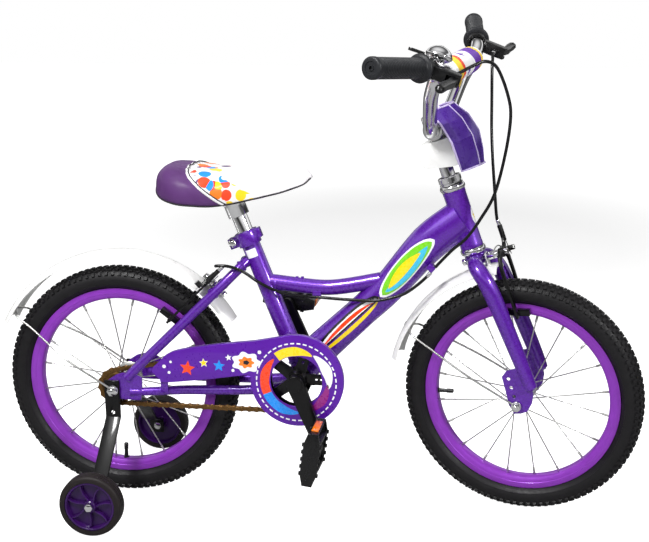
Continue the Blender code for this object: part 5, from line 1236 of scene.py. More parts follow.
@dataclass
class Frame:
    """Welded frame with its decals, seat clamp and headset."""

    down_width: float = 0.78
    down_radius: float = 0.032
    stay_radius: float = 0.008
    plate_side: float = 0.054
    print_side: float = 0.06
    print_layer: float = 0.00015

    def down_line(self) -> list[Vector]:
        """Centre line of the down tube."""
        return [on_steering(0.305), Vector((0.5090, 0, 0.442)), Vector((0.447, 0, 0.3696)),
                Vector((0.401, 0, 0.325)), Vector((0.3390, 0, 0.266)), Vector((0.310, 0, 0.236))]

    def down_tube(self) -> bpy.types.Object:
        """Curved tube, tall at both ends and flattened sideways."""
        shares = [r / self.down_radius for r in (0.032, 0.0305, 0.026, 0.0255, 0.0275, 0.0275)]
        item = Bench.tube(smooth_path(self.down_line(), 8), self.down_radius, 40, shares)
        return Bench.place(item, Matrix.Scale(self.down_width, 4, Y_AXIS))

    def stays(self, side: int) -> list[bpy.types.Object]:
        """Chain stay, seat stay and dropout of one side."""
        end = self.plate_side
        chain = [(0.290, 0.022, 0.205), (0.262, 0.0265, 0.198), (0.205, 0.031, 0.194), (0.115, 0.0355, 0.192),
                 (0.065, 0.046, 0.191), (0.026, end, 0.191)]
        seat = [(0.216, 0.009, 0.406), (0.203, 0.022, 0.393), (0.172, 0.0375, 0.362), (0.120, 0.0430, 0.311),
                (0.062, 0.050, 0.255), (0.022, end, 0.215)]
        taper = [1.1, 1.1, 1.08, 1.05, 1.0, 1.0, 0.95, 0.92, 0.9, 0.85, 0.8]
        parts = []
        for line, shares in ((chain, taper), (seat, None)):
            path = smooth_path([(x, side * y, z) for x, y, z in line], 6)
            parts.append(Bench.tube(path, self.stay_radius, 24, shares))
        slot = arc((0.0, 0.195), 0.0052, -90.0, 90.0, 8)
        outline = [(-0.014, 0.184), (-0.014, 0.1898), *slot, (-0.014, 0.2002), (-0.014, 0.206),
                   (-0.008, 0.212),
                   (0.004, 0.220), (0.015, 0.2235), (0.026, 0.224), (0.038, 0.221), (0.047, 0.216),
                   (0.0465, 0.197), (0.044, 0.178), (0.018, 0.178), (0.0, 0.179)]
        parts.append(Bench.plate([outline], 0.004, facing_right((0.0, side * end, 0.0)), 0.0005, 2))
        return parts

    def bead(self, centre: Point, direction: Vector, radius: float, flat: float = 1.0) -> bpy.types.Object:
        """Weld bead: a thin lumpy ring round a tube."""
        place = aimed(centre, direction)
        ring = [place @ Vector((radius * math.cos(a) * flat, radius * math.sin(a), 0.0004 * math.sin(9 * a)))
                for a in (2 * math.pi * k / 72 for k in range(72))]
        return Bench.tube(ring, 0.0017, 8, loop=True)

    def beads(self) -> list[bpy.types.Object]:
        """Weld beads where the tubes meet."""
        items = [self.bead(on_seat_tube(0.161) + Vector((0.0175, 0, -0.0045)), Vector((0.043, 0, -0.002)),
                           0.0128),
                 self.bead(on_seat_tube(0.021), SEAT_UP, 0.0152)]
        for side in (1, -1):
            items.append(self.bead(BRIDGE_CENTRE + Y_AXIS * (side * 0.0315), Y_AXIS, 0.0080))
            items.append(self.bead((0.209, side * 0.0165, 0.399), Vector((-0.6, side * 0.62, -0.6)), 0.0083))
            items.append(self.bead((0.277, side * 0.0245, 0.2015), Vector((1, -side * 0.2, 0.25)), 0.0088))
        return items

    def fittings(self) -> list[bpy.types.Object]:
        """Bridge, guard bosses and cable guides."""
        across = Vector((0.759, 0.0, -0.650)).normalized()
        along = Vector((0.650, 0.0, 0.759)).normalized()
        guide = axes((0.5183, -0.0262, 0.4042), along, Y_AXIS, across)
        parts = [Bench.rod(BRIDGE_CENTRE - Y_AXIS * 0.037, BRIDGE_CENTRE + Y_AXIS * 0.037, 0.008, 32),
                 Bench.rod((0.084, -0.036, 0.193), (0.084, -0.0537, 0.199), 0.004),
                 Bench.block((0.012, 0.003, 0.030), Matrix.Translation((0.084, -0.0532, 0.207)), 0.0006),
                 Bench.rod((0.283, -0.008, 0.288), (0.283, -0.0547, 0.288), 0.004),
                 Bench.block((0.010, 0.019, 0.012), guide @ Matrix.Translation((0, 0.0045, -0.0045)), 0.0012),
                 Bench.block((0.014, 0.007, 0.0076), Matrix.Translation((0.330, -0.0095, 0.3562)), 0.0010)]
        parts += [Bench.rod((x, 0, 0.370), (x, 0, 0.3805), 0.0025) for x in (0.296, 0.305)]
        return parts

    def tubes(self) -> bpy.types.Object:
        """Every welded tube as one painted piece."""
        seat = [(0.0, 0.0131), (0.0, 0.015), (0.2493, 0.015), (0.250, 0.0146), (0.250, 0.0131)]
        head = [(0.257, 0.0153), (0.257, 0.0178), (0.2576, 0.0183), (0.2630, 0.0183), (0.2640, 0.0180),
                (0.3450, 0.0180), (0.3460, 0.0183), (0.3514, 0.0183), (0.3520, 0.0178), (0.3520, 0.0153)]
        shell = mirrored([(0.0334, 0.0210), (0.034, 0.0204), (0.034, 0.0168)])
        top = [on_seat_tube(0.161), (0.262, 0, 0.3700), (0.318, 0, 0.3645), (0.350, 0, 0.3640),
               (0.385, 0, 0.3690), (0.432, 0, 0.3790)]
        parts = [self.down_tube(), Bench.turned(seat, aimed(BRACKET_CENTRE, SEAT_UP), 48),
                 Bench.turned(head, aimed(STEER_FOOT, STEER_UP), 56),
                 Bench.turned(shell, aimed(BRACKET_CENTRE, Y_AXIS), 56),
                 Bench.tube(smooth_path(top, 8), 0.0125, 32),
                 *self.stays(1), *self.stays(-1), *self.fittings(), *self.beads()]
        frame = Bench.joined(*parts)
        return Bench.finished(frame, "frame_welded", PURPLE_PAINT, Body.FRAME, ["frame"])

    def bearing_cups(self) -> None:
        """Screwed cups and lock rings at the ends of the bottom bracket."""
        parts = []
        for side in (1, -1):
            profile = [(0.030, 0.0086), (0.030, 0.0166), (0.0342, 0.0166), (0.0342, 0.0196), (0.0366, 0.0196),
                       (0.0372, 0.0188), (0.0372, 0.0120), (0.0366, 0.0086)]
            parts.append(Bench.turned(profile, aimed(BRACKET_CENTRE, Y_AXIS * side), 12 if side > 0 else 40))
        Bench.finished(Bench.joined(*parts), "bracket_cups", STEEL_BLACK, Body.FRAME)

    def headset(self) -> None:
        """Pressed cups above and below the head tube, and the locknut."""
        place = aimed(STEER_FOOT, STEER_UP)
        lower = [(0.2480, 0.0134), (0.2480, 0.0188), (0.2488, 0.0198), (0.2515, 0.0205), (0.2545, 0.0203),
                 (0.2567, 0.0188), (0.2567, 0.0134)]
        upper = [(0.3523, 0.0134), (0.3523, 0.0188), (0.3545, 0.0203), (0.3575, 0.0205), (0.3600, 0.0196),
                 (0.3610, 0.0185), (0.3610, 0.0134)]
        nut = [(0.3613, 0.0134), (0.3613, 0.0170), (0.3622, 0.0184), (0.3640, 0.0185), (0.3648, 0.0172),
               (0.3660, 0.0172), (0.3668, 0.0184), (0.3740, 0.0184), (0.3752, 0.0170), (0.3753, 0.0134)]
        for profile, name, body, node in ((lower, "headset_lower_ring", Body.FRAME, "headset_lower_cup"),
                                          (upper, "headset_upper_ring", Body.FRAME, "headset_upper_cup"),
                                          (nut, "headset_top_nut", Body.STEERING, "headset_locknut")):
            Bench.finished(Bench.turned(profile, place, 48), name, CHROME, body, [node])

    def seat_clamp(self) -> None:
        """Collar round the seat tube with its bolt."""
        Bench.refined("seat_clamp", "seat_collar", PURPLE_PAINT, Body.FRAME, 0.0008)
        Bench.refined("seat_clamp_bolt", "seat_collar_bolt", CHROME, Body.FRAME, 0.0004)

    def decal(self, name: str, outlines: Sequence[Outline], target: bpy.types.Object, finish: Finish,
              level: int = 1, side: int = -1) -> None:
        """Thin print wrapped on the side of a tube.

        Args:
            name: The print's name.
            outlines: Outlines in X and Z; those after the first are holes.
            target: Tube that carries it.
            finish: Its colour.
            level: Layer that it lies in, from 1 up.
            side: Side of the bicycle that it is on, +1 for the left.
        """
        item = Bench.plate(outlines, 0.0, facing_right((0.0, side * self.print_side, 0.0)), 0.0, 0)
        Bench.wrapped(item, target, Vector((0.0, float(-side), 0.0)), self.print_layer * level)
        Bench.finished(item, name, finish, Body.FRAME)

    def ribbon(self, first: float, last: float, taper: float, low: float, high: float) -> Outline:
        """Band along the down tube that narrows towards both ends.

        Args:
            first: Share of the tube's length where it starts.
            last: Share where it ends.
            taper: Power of the narrowing, lower for blunter ends.
            low: Height of its lower edge over the tube's centre line.
            high: Height of its upper edge.

        Returns:
            The outline's points in X and Z.
        """
        path = smooth_path(self.down_line(), 8)
        total = len(path) - 1
        edge_low, edge_high = [], []
        for k in range(25):
            share = first + (last - first) * k / 24
            index = min(total - 1, int(share * total))
            point = path[index].lerp(path[index + 1], share * total - index)
            way = (path[min(total, index + 2)] - path[max(0, index - 2)]).normalized()
            up = Vector((-way.z, 0, way.x))
            if up.z < 0:
                up = -up
            width = math.sin(math.pi * (k / 24)) ** taper
            edge_low.append(point + up * (low * width))
            edge_high.append(point + up * (high * width))
        return [(p.x, p.z) for p in edge_low + edge_high[::-1]]

    def prints(self, frame: bpy.types.Object) -> None:
        """Generic stripes and panels on the down tube, the seat tube and the head tube."""
        bands = (("panel_white_", (0.16, 0.455, 0.55, -0.0155, 0.0185), WHITE, 1),
                 ("panel_green_", (0.175, 0.44, 0.6, -0.0135, 0.0165), GREEN, 2),
                 ("panel_cyan_", (0.20, 0.42, 0.7, -0.0125, 0.0040), CYAN, 3),
                 ("panel_yellow_", (0.235, 0.40, 0.8, -0.0045, 0.0105), YELLOW_TUBE, 4),
                 ("stripe_black_", (0.455, 0.83, 0.35, -0.0020, 0.0150), BLACK, 1),
                 ("stripe_white_", (0.47, 0.82, 0.5, 0.0010, 0.0115), WHITE_TUBE, 2),
                 ("stripe_red_", (0.50, 0.80, 0.8, 0.0030, 0.0090), RED_TUBE, 3),
                 ("stripe_yellow_", (0.46, 0.86, 0.6, -0.0110, -0.0045), YELLOW_TUBE, 1))
        for side, mark in ((-1, "right"), (1, "left")):
            for name, band, finish, level in bands:
                self.decal(name + mark, [self.ribbon(*band)], frame, finish, level, side)
        foot = on_seat_tube(0.2130)
        corners = [foot + SEAT_UP * a + SEAT_FORWARD * b for a, b in
                   ((-0.007, -0.009), (0.007, -0.009), (0.007, 0.008), (-0.007, 0.008))]
        self.decal("seat_tube_label", [[(p.x, p.z) for p in corners]], frame, WHITE_TUBE, 1)
        badge = axes(on_steering(0.304, 0.06), -Y_AXIS, STEER_UP, (-Y_AXIS).cross(STEER_UP))
        oval = [(0.0095 * math.cos(a), 0.0150 * math.sin(a)) for a in (math.tau * k / 40 for k in range(40))]
        for name, outline, finish, level in (("head_badge", oval, WHITE_TUBE, 1),
                                             ("head_badge_star", star((0.0, 0.001), 0.0070), YELLOW_TUBE, 2)):
            item = Bench.plate([outline], 0.0, badge, 0.0, 0)
            Bench.wrapped(item, frame, -STEER_FORWARD, self.print_layer * level)
            Bench.finished(item, name, finish, Body.FRAME)

    def build(self) -> None:
        """Build the frame and what is pressed on it."""
        frame = self.tubes()
        self.bearing_cups()
        self.headset()
        self.seat_clamp()
        self.prints(frame)


@dataclass
class Fork:
    """Unicrown fork with flat ends."""

    spread: float = 0.046

    def build(self) -> None:
        """Build the fork."""
        line = [(0.235, 0.001, 0.000), (0.2345, 0.003, 0.0225), (0.2275, 0.009, 0.0385),
                (0.206, 0.0175, 0.0455),
                (0.170, 0.0225, self.spread), (0.127, 0.026, self.spread), (0.060, 0.031, self.spread),
                (0.030, 0.033, self.spread), (0.020, 0.0335, self.spread)]
        route = [(up, forward, -y) for up, forward, y in line[:0:-1]] + line
        half = [0.92, 0.93, 0.94, 0.98, 1.02, 1.06, 1.08, 1.08, 1.05, 1.03, 1.0, 0.97, 0.92, 0.88, 0.84, 0.8,
                0.5]
        path = smooth_path([on_steering(*spot) for spot in route], 6)
        parts = [Bench.tube(path, 0.0125, 28, half[:0:-1] + half)]
        steerer = [(0.2410, 0.0114), (0.2410, 0.0127), (0.3740, 0.0127), (0.3740, 0.0114)]
        race = [(0.2395, 0.0120), (0.2395, 0.0160), (0.2405, 0.0165), (0.2470, 0.0165), (0.2477, 0.0158),
                (0.2477, 0.0120)]
        place = aimed(STEER_FOOT, STEER_UP)
        parts += [Bench.turned(steerer, place, 36), Bench.turned(race, place, 40)]
        outline = [(0.030, 0.060), (0.0345, 0.050), (0.036, 0.040), (0.0355, 0.025), (0.034, 0.012),
                   (0.027, -0.002), (0.016, -0.013),
                   (0.005, -0.0142), (-0.006, -0.012), (-0.009, 0.004), (-0.0075, 0.030), (-0.006, 0.052),
                   (0.004, 0.060)]
        holes = [arc((0.003, up), 0.003, 0.0, 342.0, 19) for up in (0.046, 0.031, 0.016)]
        holes.append(arc((0.002, 0.0), 0.0044, 0.0, 345.0, 23))
        for side in (1, -1):
            flat = axes(STEER_FOOT + Y_AXIS * (side * self.spread), STEER_FORWARD, STEER_UP,
                        STEER_FORWARD.cross(STEER_UP))
            parts.append(Bench.plate([outline, *holes], 0.004, flat, 0.0004, 2))
        Bench.finished(Bench.joined(*parts), "fork_painted", PURPLE_PAINT, Body.STEERING, ["fork"], True)


@dataclass
class Mudguard:
    """Curved guard over a wheel, its bracket and its wire stay."""

    name: str
    body: Body
    centre: Vector
    steered: bool
    start: float
    end: float
    axle_side: float
    stay_turn: float
    radius: float = 0.2222
    half: float = 0.026
    drop: float = 0.011
    wall: float = 0.0018

    def guard(self) -> None:
        """Curved shell with rolled edges and its bracket."""
        shares = [(-1.0, 1.0), (-0.965, 0.74), (-0.90, 0.50), (-0.76, 0.26), (-0.60, 0.115), (-0.40, 0.045),
                  (-0.20, 0.01), (0.0, 0.0)]
        shares += [(-y, d) for y, d in reversed(shares[:-1])]
        outer = [(y * self.half, self.radius - d * self.drop) for y, d in shares]
        inner = [(y * (self.half - self.wall), self.radius - self.wall - d * (self.drop - self.wall))
                 for y, d in reversed(shares)]
        place = aimed(self.centre, -Y_AXIS) @ Matrix.Rotation(math.radians(self.start), 4, "Z")
        shell = Bench.turned(outer + inner, place, round((self.end - self.start) / 2.0),
                             self.end - self.start)
        rolls = []
        for side in (1, -1):
            edge = [place @ Vector(((self.radius - self.drop + 0.0010) * math.cos(a),
                                    (self.radius - self.drop + 0.0010) * math.sin(a),
                                    side * (self.half - 0.0013)))
                    for a in (math.radians((self.end - self.start) * k / 60) for k in range(61))]
            rolls.append(Bench.tube(edge, 0.0013, 10))
        Bench.finished(Bench.joined(shell, *rolls, self.bracket()), self.name + "_guard_shell", PLASTIC_WHITE,
                       self.body, [self.name + "_mudguard"], self.steered, 50.0)

    def bracket(self) -> bpy.types.Object:
        """Strip up to the fork's crown, or the foot under the frame's bridge."""
        if self.steered:
            strip = axes(on_steering(CROWN_HEIGHT - 0.00475, 0.01765), STEER_FORWARD, Y_AXIS, STEER_UP)
            return Bench.block((0.0017, 0.014, 0.0225), strip, 0.0005)
        radial = (BRIDGE_CENTRE - REAR_CENTRE)
        reach = radial.length - 0.0078
        radial.normalize()
        middle = REAR_CENTRE + radial * ((self.radius - 0.0013 + reach) / 2)
        return Bench.block((reach - self.radius + 0.0013, 0.024, 0.016),
                           axes(middle, radial, Y_AXIS, radial.cross(Y_AXIS)), 0.0003)

    def stay(self) -> None:
        """Wire from the axle up round the guard's end, with an eye at each foot."""
        wire = 0.0017
        eye = self.axle_side
        tilt = math.radians(self.stay_turn)
        radial = Vector((math.cos(tilt), 0.0, math.sin(tilt)))
        spots = [(0.0065, eye), (0.030, eye), (0.0942, eye - 0.002), (0.1674, 0.034), (0.1998, 0.027),
                 (0.2092, 0.018)]
        half = [self.centre + radial * reach + Y_AXIS * side for reach, side in spots]
        other = [Vector((p.x, -p.y, p.z)) for p in reversed(half)]
        route = [*half, self.centre + radial * 0.2177, *other]
        parts = [Bench.tube(smooth_path(route, 8), wire, 12)]
        for side in (1, -1):
            place = aimed(self.centre + Y_AXIS * (side * eye), Y_AXIS)
            parts.append(Bench.tube(circle(place, 0.0066, 32), 0.0016, 10, loop=True))
        rivet = [(-0.0008, 0.0), (-0.0008, 0.0052), (0.0006, 0.0050), (0.0016, 0.0030), (0.0018, 0.0)]
        parts.append(Bench.turned(rivet, aimed(self.centre + radial * (self.radius - 0.0006), radial), 24))
        Bench.finished(Bench.joined(*parts), self.name + "_guard_stay", ZINC, self.body,
                       [self.name + "_mudguard_stay"], self.steered)

    def build(self) -> None:
        """Build the guard and its stay."""
        self.guard()
        self.stay()


@dataclass
class Brake:
    """Side-pull rim brake with its bolt, return spring and bare inner wire."""

    end: str
    carrier: Body
    arms: tuple[Body, Body]
    centre: Vector
    out: Vector
    up: Vector
    reach: float
    cable_side: int
    steered: bool

    def build(self) -> None:
        """Build the arms, the bolt, the spring and the wire."""
        for body, side in zip(self.arms, ("right", "left")):
            node = f"{self.end}_brake_arm_{side}"
            Bench.refined(node, node + "_forged", STEEL_BLACK, body, 0.0006)
        Bench.refined(self.end + "_brake_bolt", self.end + "_brake_pivot", CHROME, self.carrier, 0.0006)
        layer = self.centre + self.out * (self.reach + 0.003) + Y_AXIS * (self.cable_side * 0.038)
        wire = Bench.tube([layer + self.up * 0.0345, layer + self.out * 0.0045 - self.up * 0.014], 0.0008, 8)
        back = self.centre + self.out * (self.reach - 0.0022)
        spring = [back + Y_AXIS * (0.0285 * math.sin(t)) + self.up * (0.012 * math.cos(t) - 0.001)
                  for t in (math.radians(-85 + 170 * k / 24) for k in range(25))]
        foot = layer + self.out * 0.0105 - self.up * 0.004
        Bench.finished(Bench.joined(wire, Bench.tube(spring, 0.0010, 8),
                                    Bench.nut(foot, self.out, 0.0088, 0.0022)),
                       self.end + "_brake_spring", ZINC, self.carrier, (), self.steered)


@dataclass
class Cockpit:
    """Stem, handlebar, its padded crossbar and the grips."""

    along: Vector = GRIP_END - GRIP_START
    crossbar: Vector = Vector((0.554, 0.0, 0.720))
    pad_half: float = 0.086
    pad_radius: float = 0.0205

    def stem(self) -> None:
        """Quill with a ribbed cross clamp and its socket bolts."""
        centre = on_steering(0.452, 0.006)
        outline = [(-0.025, 0.0113), (-0.025, 0.0152), (-0.0242, 0.0160)]
        for k in range(9):
            low = -0.0216 + k * 0.0048
            outline += [(low, 0.0164), (low + 0.0030, 0.0165), (low + 0.0034, 0.0157), (low + 0.0044, 0.0157)]
        outline += [(0.0242, 0.0160), (0.025, 0.0152), (0.025, 0.0113)]
        socket = [(0.0, 0.0), (0.0, 0.0060), (0.0112, 0.0060), (0.0120, 0.0052), (0.0120, 0.0034),
                  (0.0086, 0.0032), (0.0086, 0.0)]
        parts = [Bench.rod(on_steering(0.290), on_steering(0.4515), 0.0111, 40),
                 Bench.turned(outline, aimed(centre, Y_AXIS), 48),
                 Bench.turned(socket, aimed(on_steering(0.462, -0.008), STEER_UP), 28)]
        Bench.finished(Bench.joined(*parts), "stem_polished", CHROME, Body.STEERING, ["stem"], True, 30.0)

    def half_route(self) -> list[Vector]:
        """Left half of the handlebar's centre line, from its middle."""
        clamp = on_steering(0.452, 0.006)
        spots = [clamp, clamp + Y_AXIS * 0.027, (0.521, 0.042, 0.6285), (0.5250, 0.058, 0.643),
                 (0.530, 0.076, 0.664), (0.536, 0.094, 0.686), (0.5445, 0.109, 0.706), (0.551, 0.119, 0.7215),
                 (0.5513, 0.1305, 0.7312), GRIP_START - self.along * 0.18, GRIP_START,
                 GRIP_START + self.along * 0.95]
        return [Vector(p) for p in spots]

    def bar(self) -> None:
        """Bent handlebar with its crossbar."""
        half = self.half_route()
        right = [Vector((p.x, -p.y, p.z)) for p in half[:0:-1]]
        parts = [Bench.tube(smooth_path(right + half, 6), 0.011, 32),
                 Bench.rod(self.crossbar - Y_AXIS * 0.114, self.crossbar + Y_AXIS * 0.114, 0.0065, 24)]
        Bench.finished(Bench.joined(*parts), "handlebar_tube", CHROME, Body.STEERING, ["handlebar"], True)

    def grip(self, side: Side) -> None:
        """Ribbed grip with a flange.

        Args:
            side: Side of the bicycle that it is on.
        """
        sign = side.value
        start = Vector((GRIP_START.x, sign * GRIP_START.y, GRIP_START.z))
        way = Vector((self.along.x, sign * self.along.y, self.along.z))
        length = way.length
        outline = [(0.0, 0.0118), (0.0, 0.0196), (0.0008, 0.0206), (0.0028, 0.0210), (0.0048, 0.0205),
                   (0.0060, 0.0190), (0.0068, 0.0165), (0.0080, 0.0155), (0.0105, 0.0150)]
        low = 0.012
        while low < length - 0.014:
            outline += [(low, 0.0149), (low + 0.0006, 0.0141), (low + 0.0014, 0.0141), (low + 0.0020, 0.0149)]
            low += 0.0040
        outline += [(length - 0.0095, 0.0148), (length - 0.0085, 0.0155), (length - 0.0020, 0.0155),
                    (length - 0.0004, 0.0144), (length, 0.0128), (length, 0.0092), (length - 0.0012, 0.0086),
                    (length - 0.0012, 0.0046), (length, 0.0040), (length, 0.0028), (length - 0.0030, 0.0024),
                    (length - 0.0030, 0.0), (length * 0.957, 0.0), (length * 0.957, 0.0118)]
        Bench.finished(Bench.turned(outline, aimed(start, way), 40), "grip_ribbed_" + side.label, GRIP_RUBBER,
                       Body.STEERING, ["grip_" + side.label], True, 45.0)

    def pad(self) -> None:
        """Stuffed sleeve round the crossbar with a bright generic print."""
        shares = mirrored([(0.0, 1.0), (0.3, 0.985), (0.6, 1.0), (0.88, 0.975), (0.95, 0.93), (0.985, 0.86),
                           (1.0, 0.74)])
        outline = [(a * self.pad_half, r * self.pad_radius) for a, r in shares]
        outline += [(self.pad_half, 0.0070), (-self.pad_half, 0.0070)]
        place = aimed(self.crossbar, Y_AXIS)
        pad = Bench.turned(outline, place, 40)
        for corner in pad.data.vertices:
            spot = place.inverted() @ corner.co
            turn = math.atan2(spot.y, spot.x)
            reach = math.hypot(spot.x, spot.y)
            if reach > 0.010:
                ripple = 0.5 + 0.5 * math.sin(5.0 * turn + spot.z * 160.0)
                wave = 1.0 - 0.014 * ripple * math.sin(3.0 * turn) ** 2
                corner.co = place @ Vector((spot.x * wave, spot.y * wave, spot.z))
        Bench.modify(pad, "SUBSURF", levels=1, render_levels=1)
        Bench.finished(pad, "crossbar_pad_sleeve", PAD_WHITE, Body.STEERING, ["crossbar_pad"], True, 60.0)
        for name, low, high, finish, phase in (("pad_band_right", -0.072, -0.050, PAD_YELLOW, 0.4),
                                               ("pad_band_red", -0.050, -0.037, PAD_RED, 0.4),
                                               ("pad_band_left", 0.022, 0.060, PAD_PURPLE, 1.7),
                                               ("pad_band_end", 0.060, 0.071, PAD_YELLOW, 1.7)):
            self.band(name, low, high, finish, phase)
        for turn in (0.0, 90.0, 180.0, 270.0):
            spin = place @ Matrix.Rotation(math.radians(turn + 20.0), 4, "Z")
            outside = spin @ Matrix.Translation((0.05, 0.0, 0.0))
            flat = STEERING_TURN @ outside @ Matrix(((0, 0, 1, 0), (1, 0, 0, 0), (0, 1, 0, 0), (0, 0, 0, 1)))
            item = Bench.plate([star((-0.002, -0.012), 0.0085, turn)], 0.0, flat, 0.0, 0)
            way = (flat.to_3x3() @ Vector((0.0, 0.0, -1.0))).normalized()
            Bench.wrapped(item, pad, way, 0.00018)
            Bench.finished(item, f"pad_star_{round(turn)}", PAD_PURPLE, Body.STEERING)

    def band(self, name: str, low: float, high: float, finish: Finish, phase: float) -> None:
        """Printed band round the pad with wavy edges.

        Args:
            name: The band's name.
            low: Start along the crossbar.
            high: End along the crossbar.
            finish: Its colour.
            phase: Angle that its waves start at.
        """
        def reach(along: float) -> float:
            """Radius of the pad at a distance along the crossbar."""
            share = min(1.0, abs(along) / self.pad_half)
            return self.pad_radius * (1.0 - 0.03 * max(0.0, (share - 0.6) / 0.3)) + 0.0001

        steps = [low + (high - low) * k / 6 for k in range(7)]
        outline = [(a, reach(a)) for a in steps] + [(a, reach(a) - 0.0008) for a in reversed(steps)]
        place = aimed(self.crossbar, Y_AXIS)
        item = Bench.turned(outline, place, 72)
        for corner in item.data.vertices:
            spot = place.inverted() @ corner.co
            turn = math.atan2(spot.y, spot.x)
            spot.z += 0.0035 * math.sin(3.0 * turn + phase)
            corner.co = place @ spot
        Bench.finished(item, name, finish, Body.STEERING, (), True, 60.0)

    def build(self) -> None:
        """Build the cockpit's own pieces."""
        self.stem()
        self.bar()
        self.grip(Side.RIGHT)
        self.grip(Side.LEFT)
        self.pad()


@dataclass
class Controls:
    """Brake levers on their brackets, and the bell."""

    bell_foot: Vector = Vector((0.5512, -0.1305, 0.7312))
    bell_up: Vector = Vector((0.25, 0.30, 0.92)).normalized()

    def lever(self, side: Side, body: Body) -> None:
        """Bracket and blade of one lever.

        Args:
            side: Side of the bicycle that it is on.
            body: Body that the blade turns with.
        """
        bracket, blade = "lever_bracket_" + side.label, "brake_lever_" + side.label
        Bench.refined(bracket, bracket + "_moulded", PLASTIC_BLACK, Body.STEERING, 0.0008)
        Bench.refined(blade, blade + "_moulded", PLASTIC_BLACK, body, 0.0018, 3, 40.0)

    def bell(self) -> None:
        """Chrome dome on its clamp, with its thumb lever."""
        foot = self.bell_foot + self.bell_up * 0.016
        neck = foot - self.bell_up * 0.003
        dome = [(-0.004, 0.0), (-0.004, 0.0090), (-0.0022, 0.0118), (-0.0004, 0.0152), (0.0010, 0.0176),
                (0.0030, 0.0192), (0.0048, 0.0199), (0.0062, 0.0200), (0.0074, 0.0197), (0.0080, 0.0190),
                (0.0092, 0.0187), (0.0118, 0.0174), (0.0142, 0.0152), (0.0164, 0.0124), (0.0182, 0.0090),
                (0.0195, 0.0052), (0.0199, 0.0030), (0.0205, 0.0026), (0.0205, 0.0)]
        along = self.bell_up.cross(Vector((1.0, 0.0, -self.bell_up.x / self.bell_up.z))).normalized()
        clamp = mirrored([(0.0034, 0.0145), (0.004, 0.0139), (0.004, 0.0118)])
        parts = [Bench.turned(dome, aimed(foot, self.bell_up), 56),
                 Bench.turned(clamp, aimed(self.bell_foot, along), 40),
                 Bench.rod(neck + Vector((-0.013, 0, 0)), neck + Vector((-0.0265, 0, 0)), 0.0024, 16)]
        Bench.finished(Bench.joined(*parts), "bell_dome", CHROME, Body.STEERING, ["bell"], True)
        Bench.refined("bell_lever", "bell_thumb_lever", PLASTIC_BLACK, Body.BELL_LEVER, 0.0007)

    def build(self) -> None:
        """Build both levers and the bell."""
        self.lever(Side.RIGHT, Body.LEVER_RIGHT)
        self.lever(Side.LEFT, Body.LEVER_LEFT)
        self.bell()


@dataclass
class FrontPlate:
    """Faceted shield in front of the stem and the white case behind it."""

    heights: tuple[float, ...] = (0.380, 0.400, 0.428, 0.458, 0.482)
    halves: tuple[float, ...] = (0.026, 0.040, 0.048, 0.045, 0.030)
    edges: tuple[float, ...] = (0.042, 0.046, 0.048, 0.040, 0.024)

    def rings(self) -> list[list[Vector]]:
        """Corners of the shield, row by row from its foot."""
        rows = []
        for up, half, edge in zip(self.heights, self.halves, self.edges):
            fronts = [edge - 0.012, edge, edge + 0.015, edge + 0.020, edge + 0.015, edge, edge - 0.012]
            sides = [-half, -half * 0.93, -half * 0.45, 0.0, half * 0.45, half * 0.93, half]
            rows.append([on_steering(up, f, s) for f, s in zip(fronts, sides)])
        return rows

    def build(self) -> None:
        """Build the shield, its pale edging and ridges, and the case."""
        rows = self.rings()
        plate = Bench.sheet(rows)
        Bench.modify(plate, "SOLIDIFY", thickness=0.0028, offset=-1.0)
        Bench.modify(plate, "BEVEL", width=0.0009, segments=2, limit_method="ANGLE",
                     angle_limit=math.radians(30))
        Bench.finished(plate, "front_shield", PLATE_PAINT, Body.STEERING, ["front_plate"], True, 20.0)
        border = (rows[0] + [row[-1] for row in rows[1:]] + rows[-1][-2::-1]
                  + [row[0] for row in rows[-2:0:-1]])
        rim = Bench.tube([p + STEER_FORWARD * 0.0003 for p in border], 0.0017, 10, loop=True)
        ridge = [Bench.tube([row[column] + STEER_FORWARD * 0.0004 for row in rows], 0.0010, 8)
                 for column in (2, 4)]
        Bench.finished(Bench.joined(rim, *ridge), "front_shield_edge", EDGE_LILAC, Body.STEERING, (), True)
        Bench.refined("front_plate_housing", "front_case", PLASTIC_WHITE, Body.STEERING, 0.0016, 3)


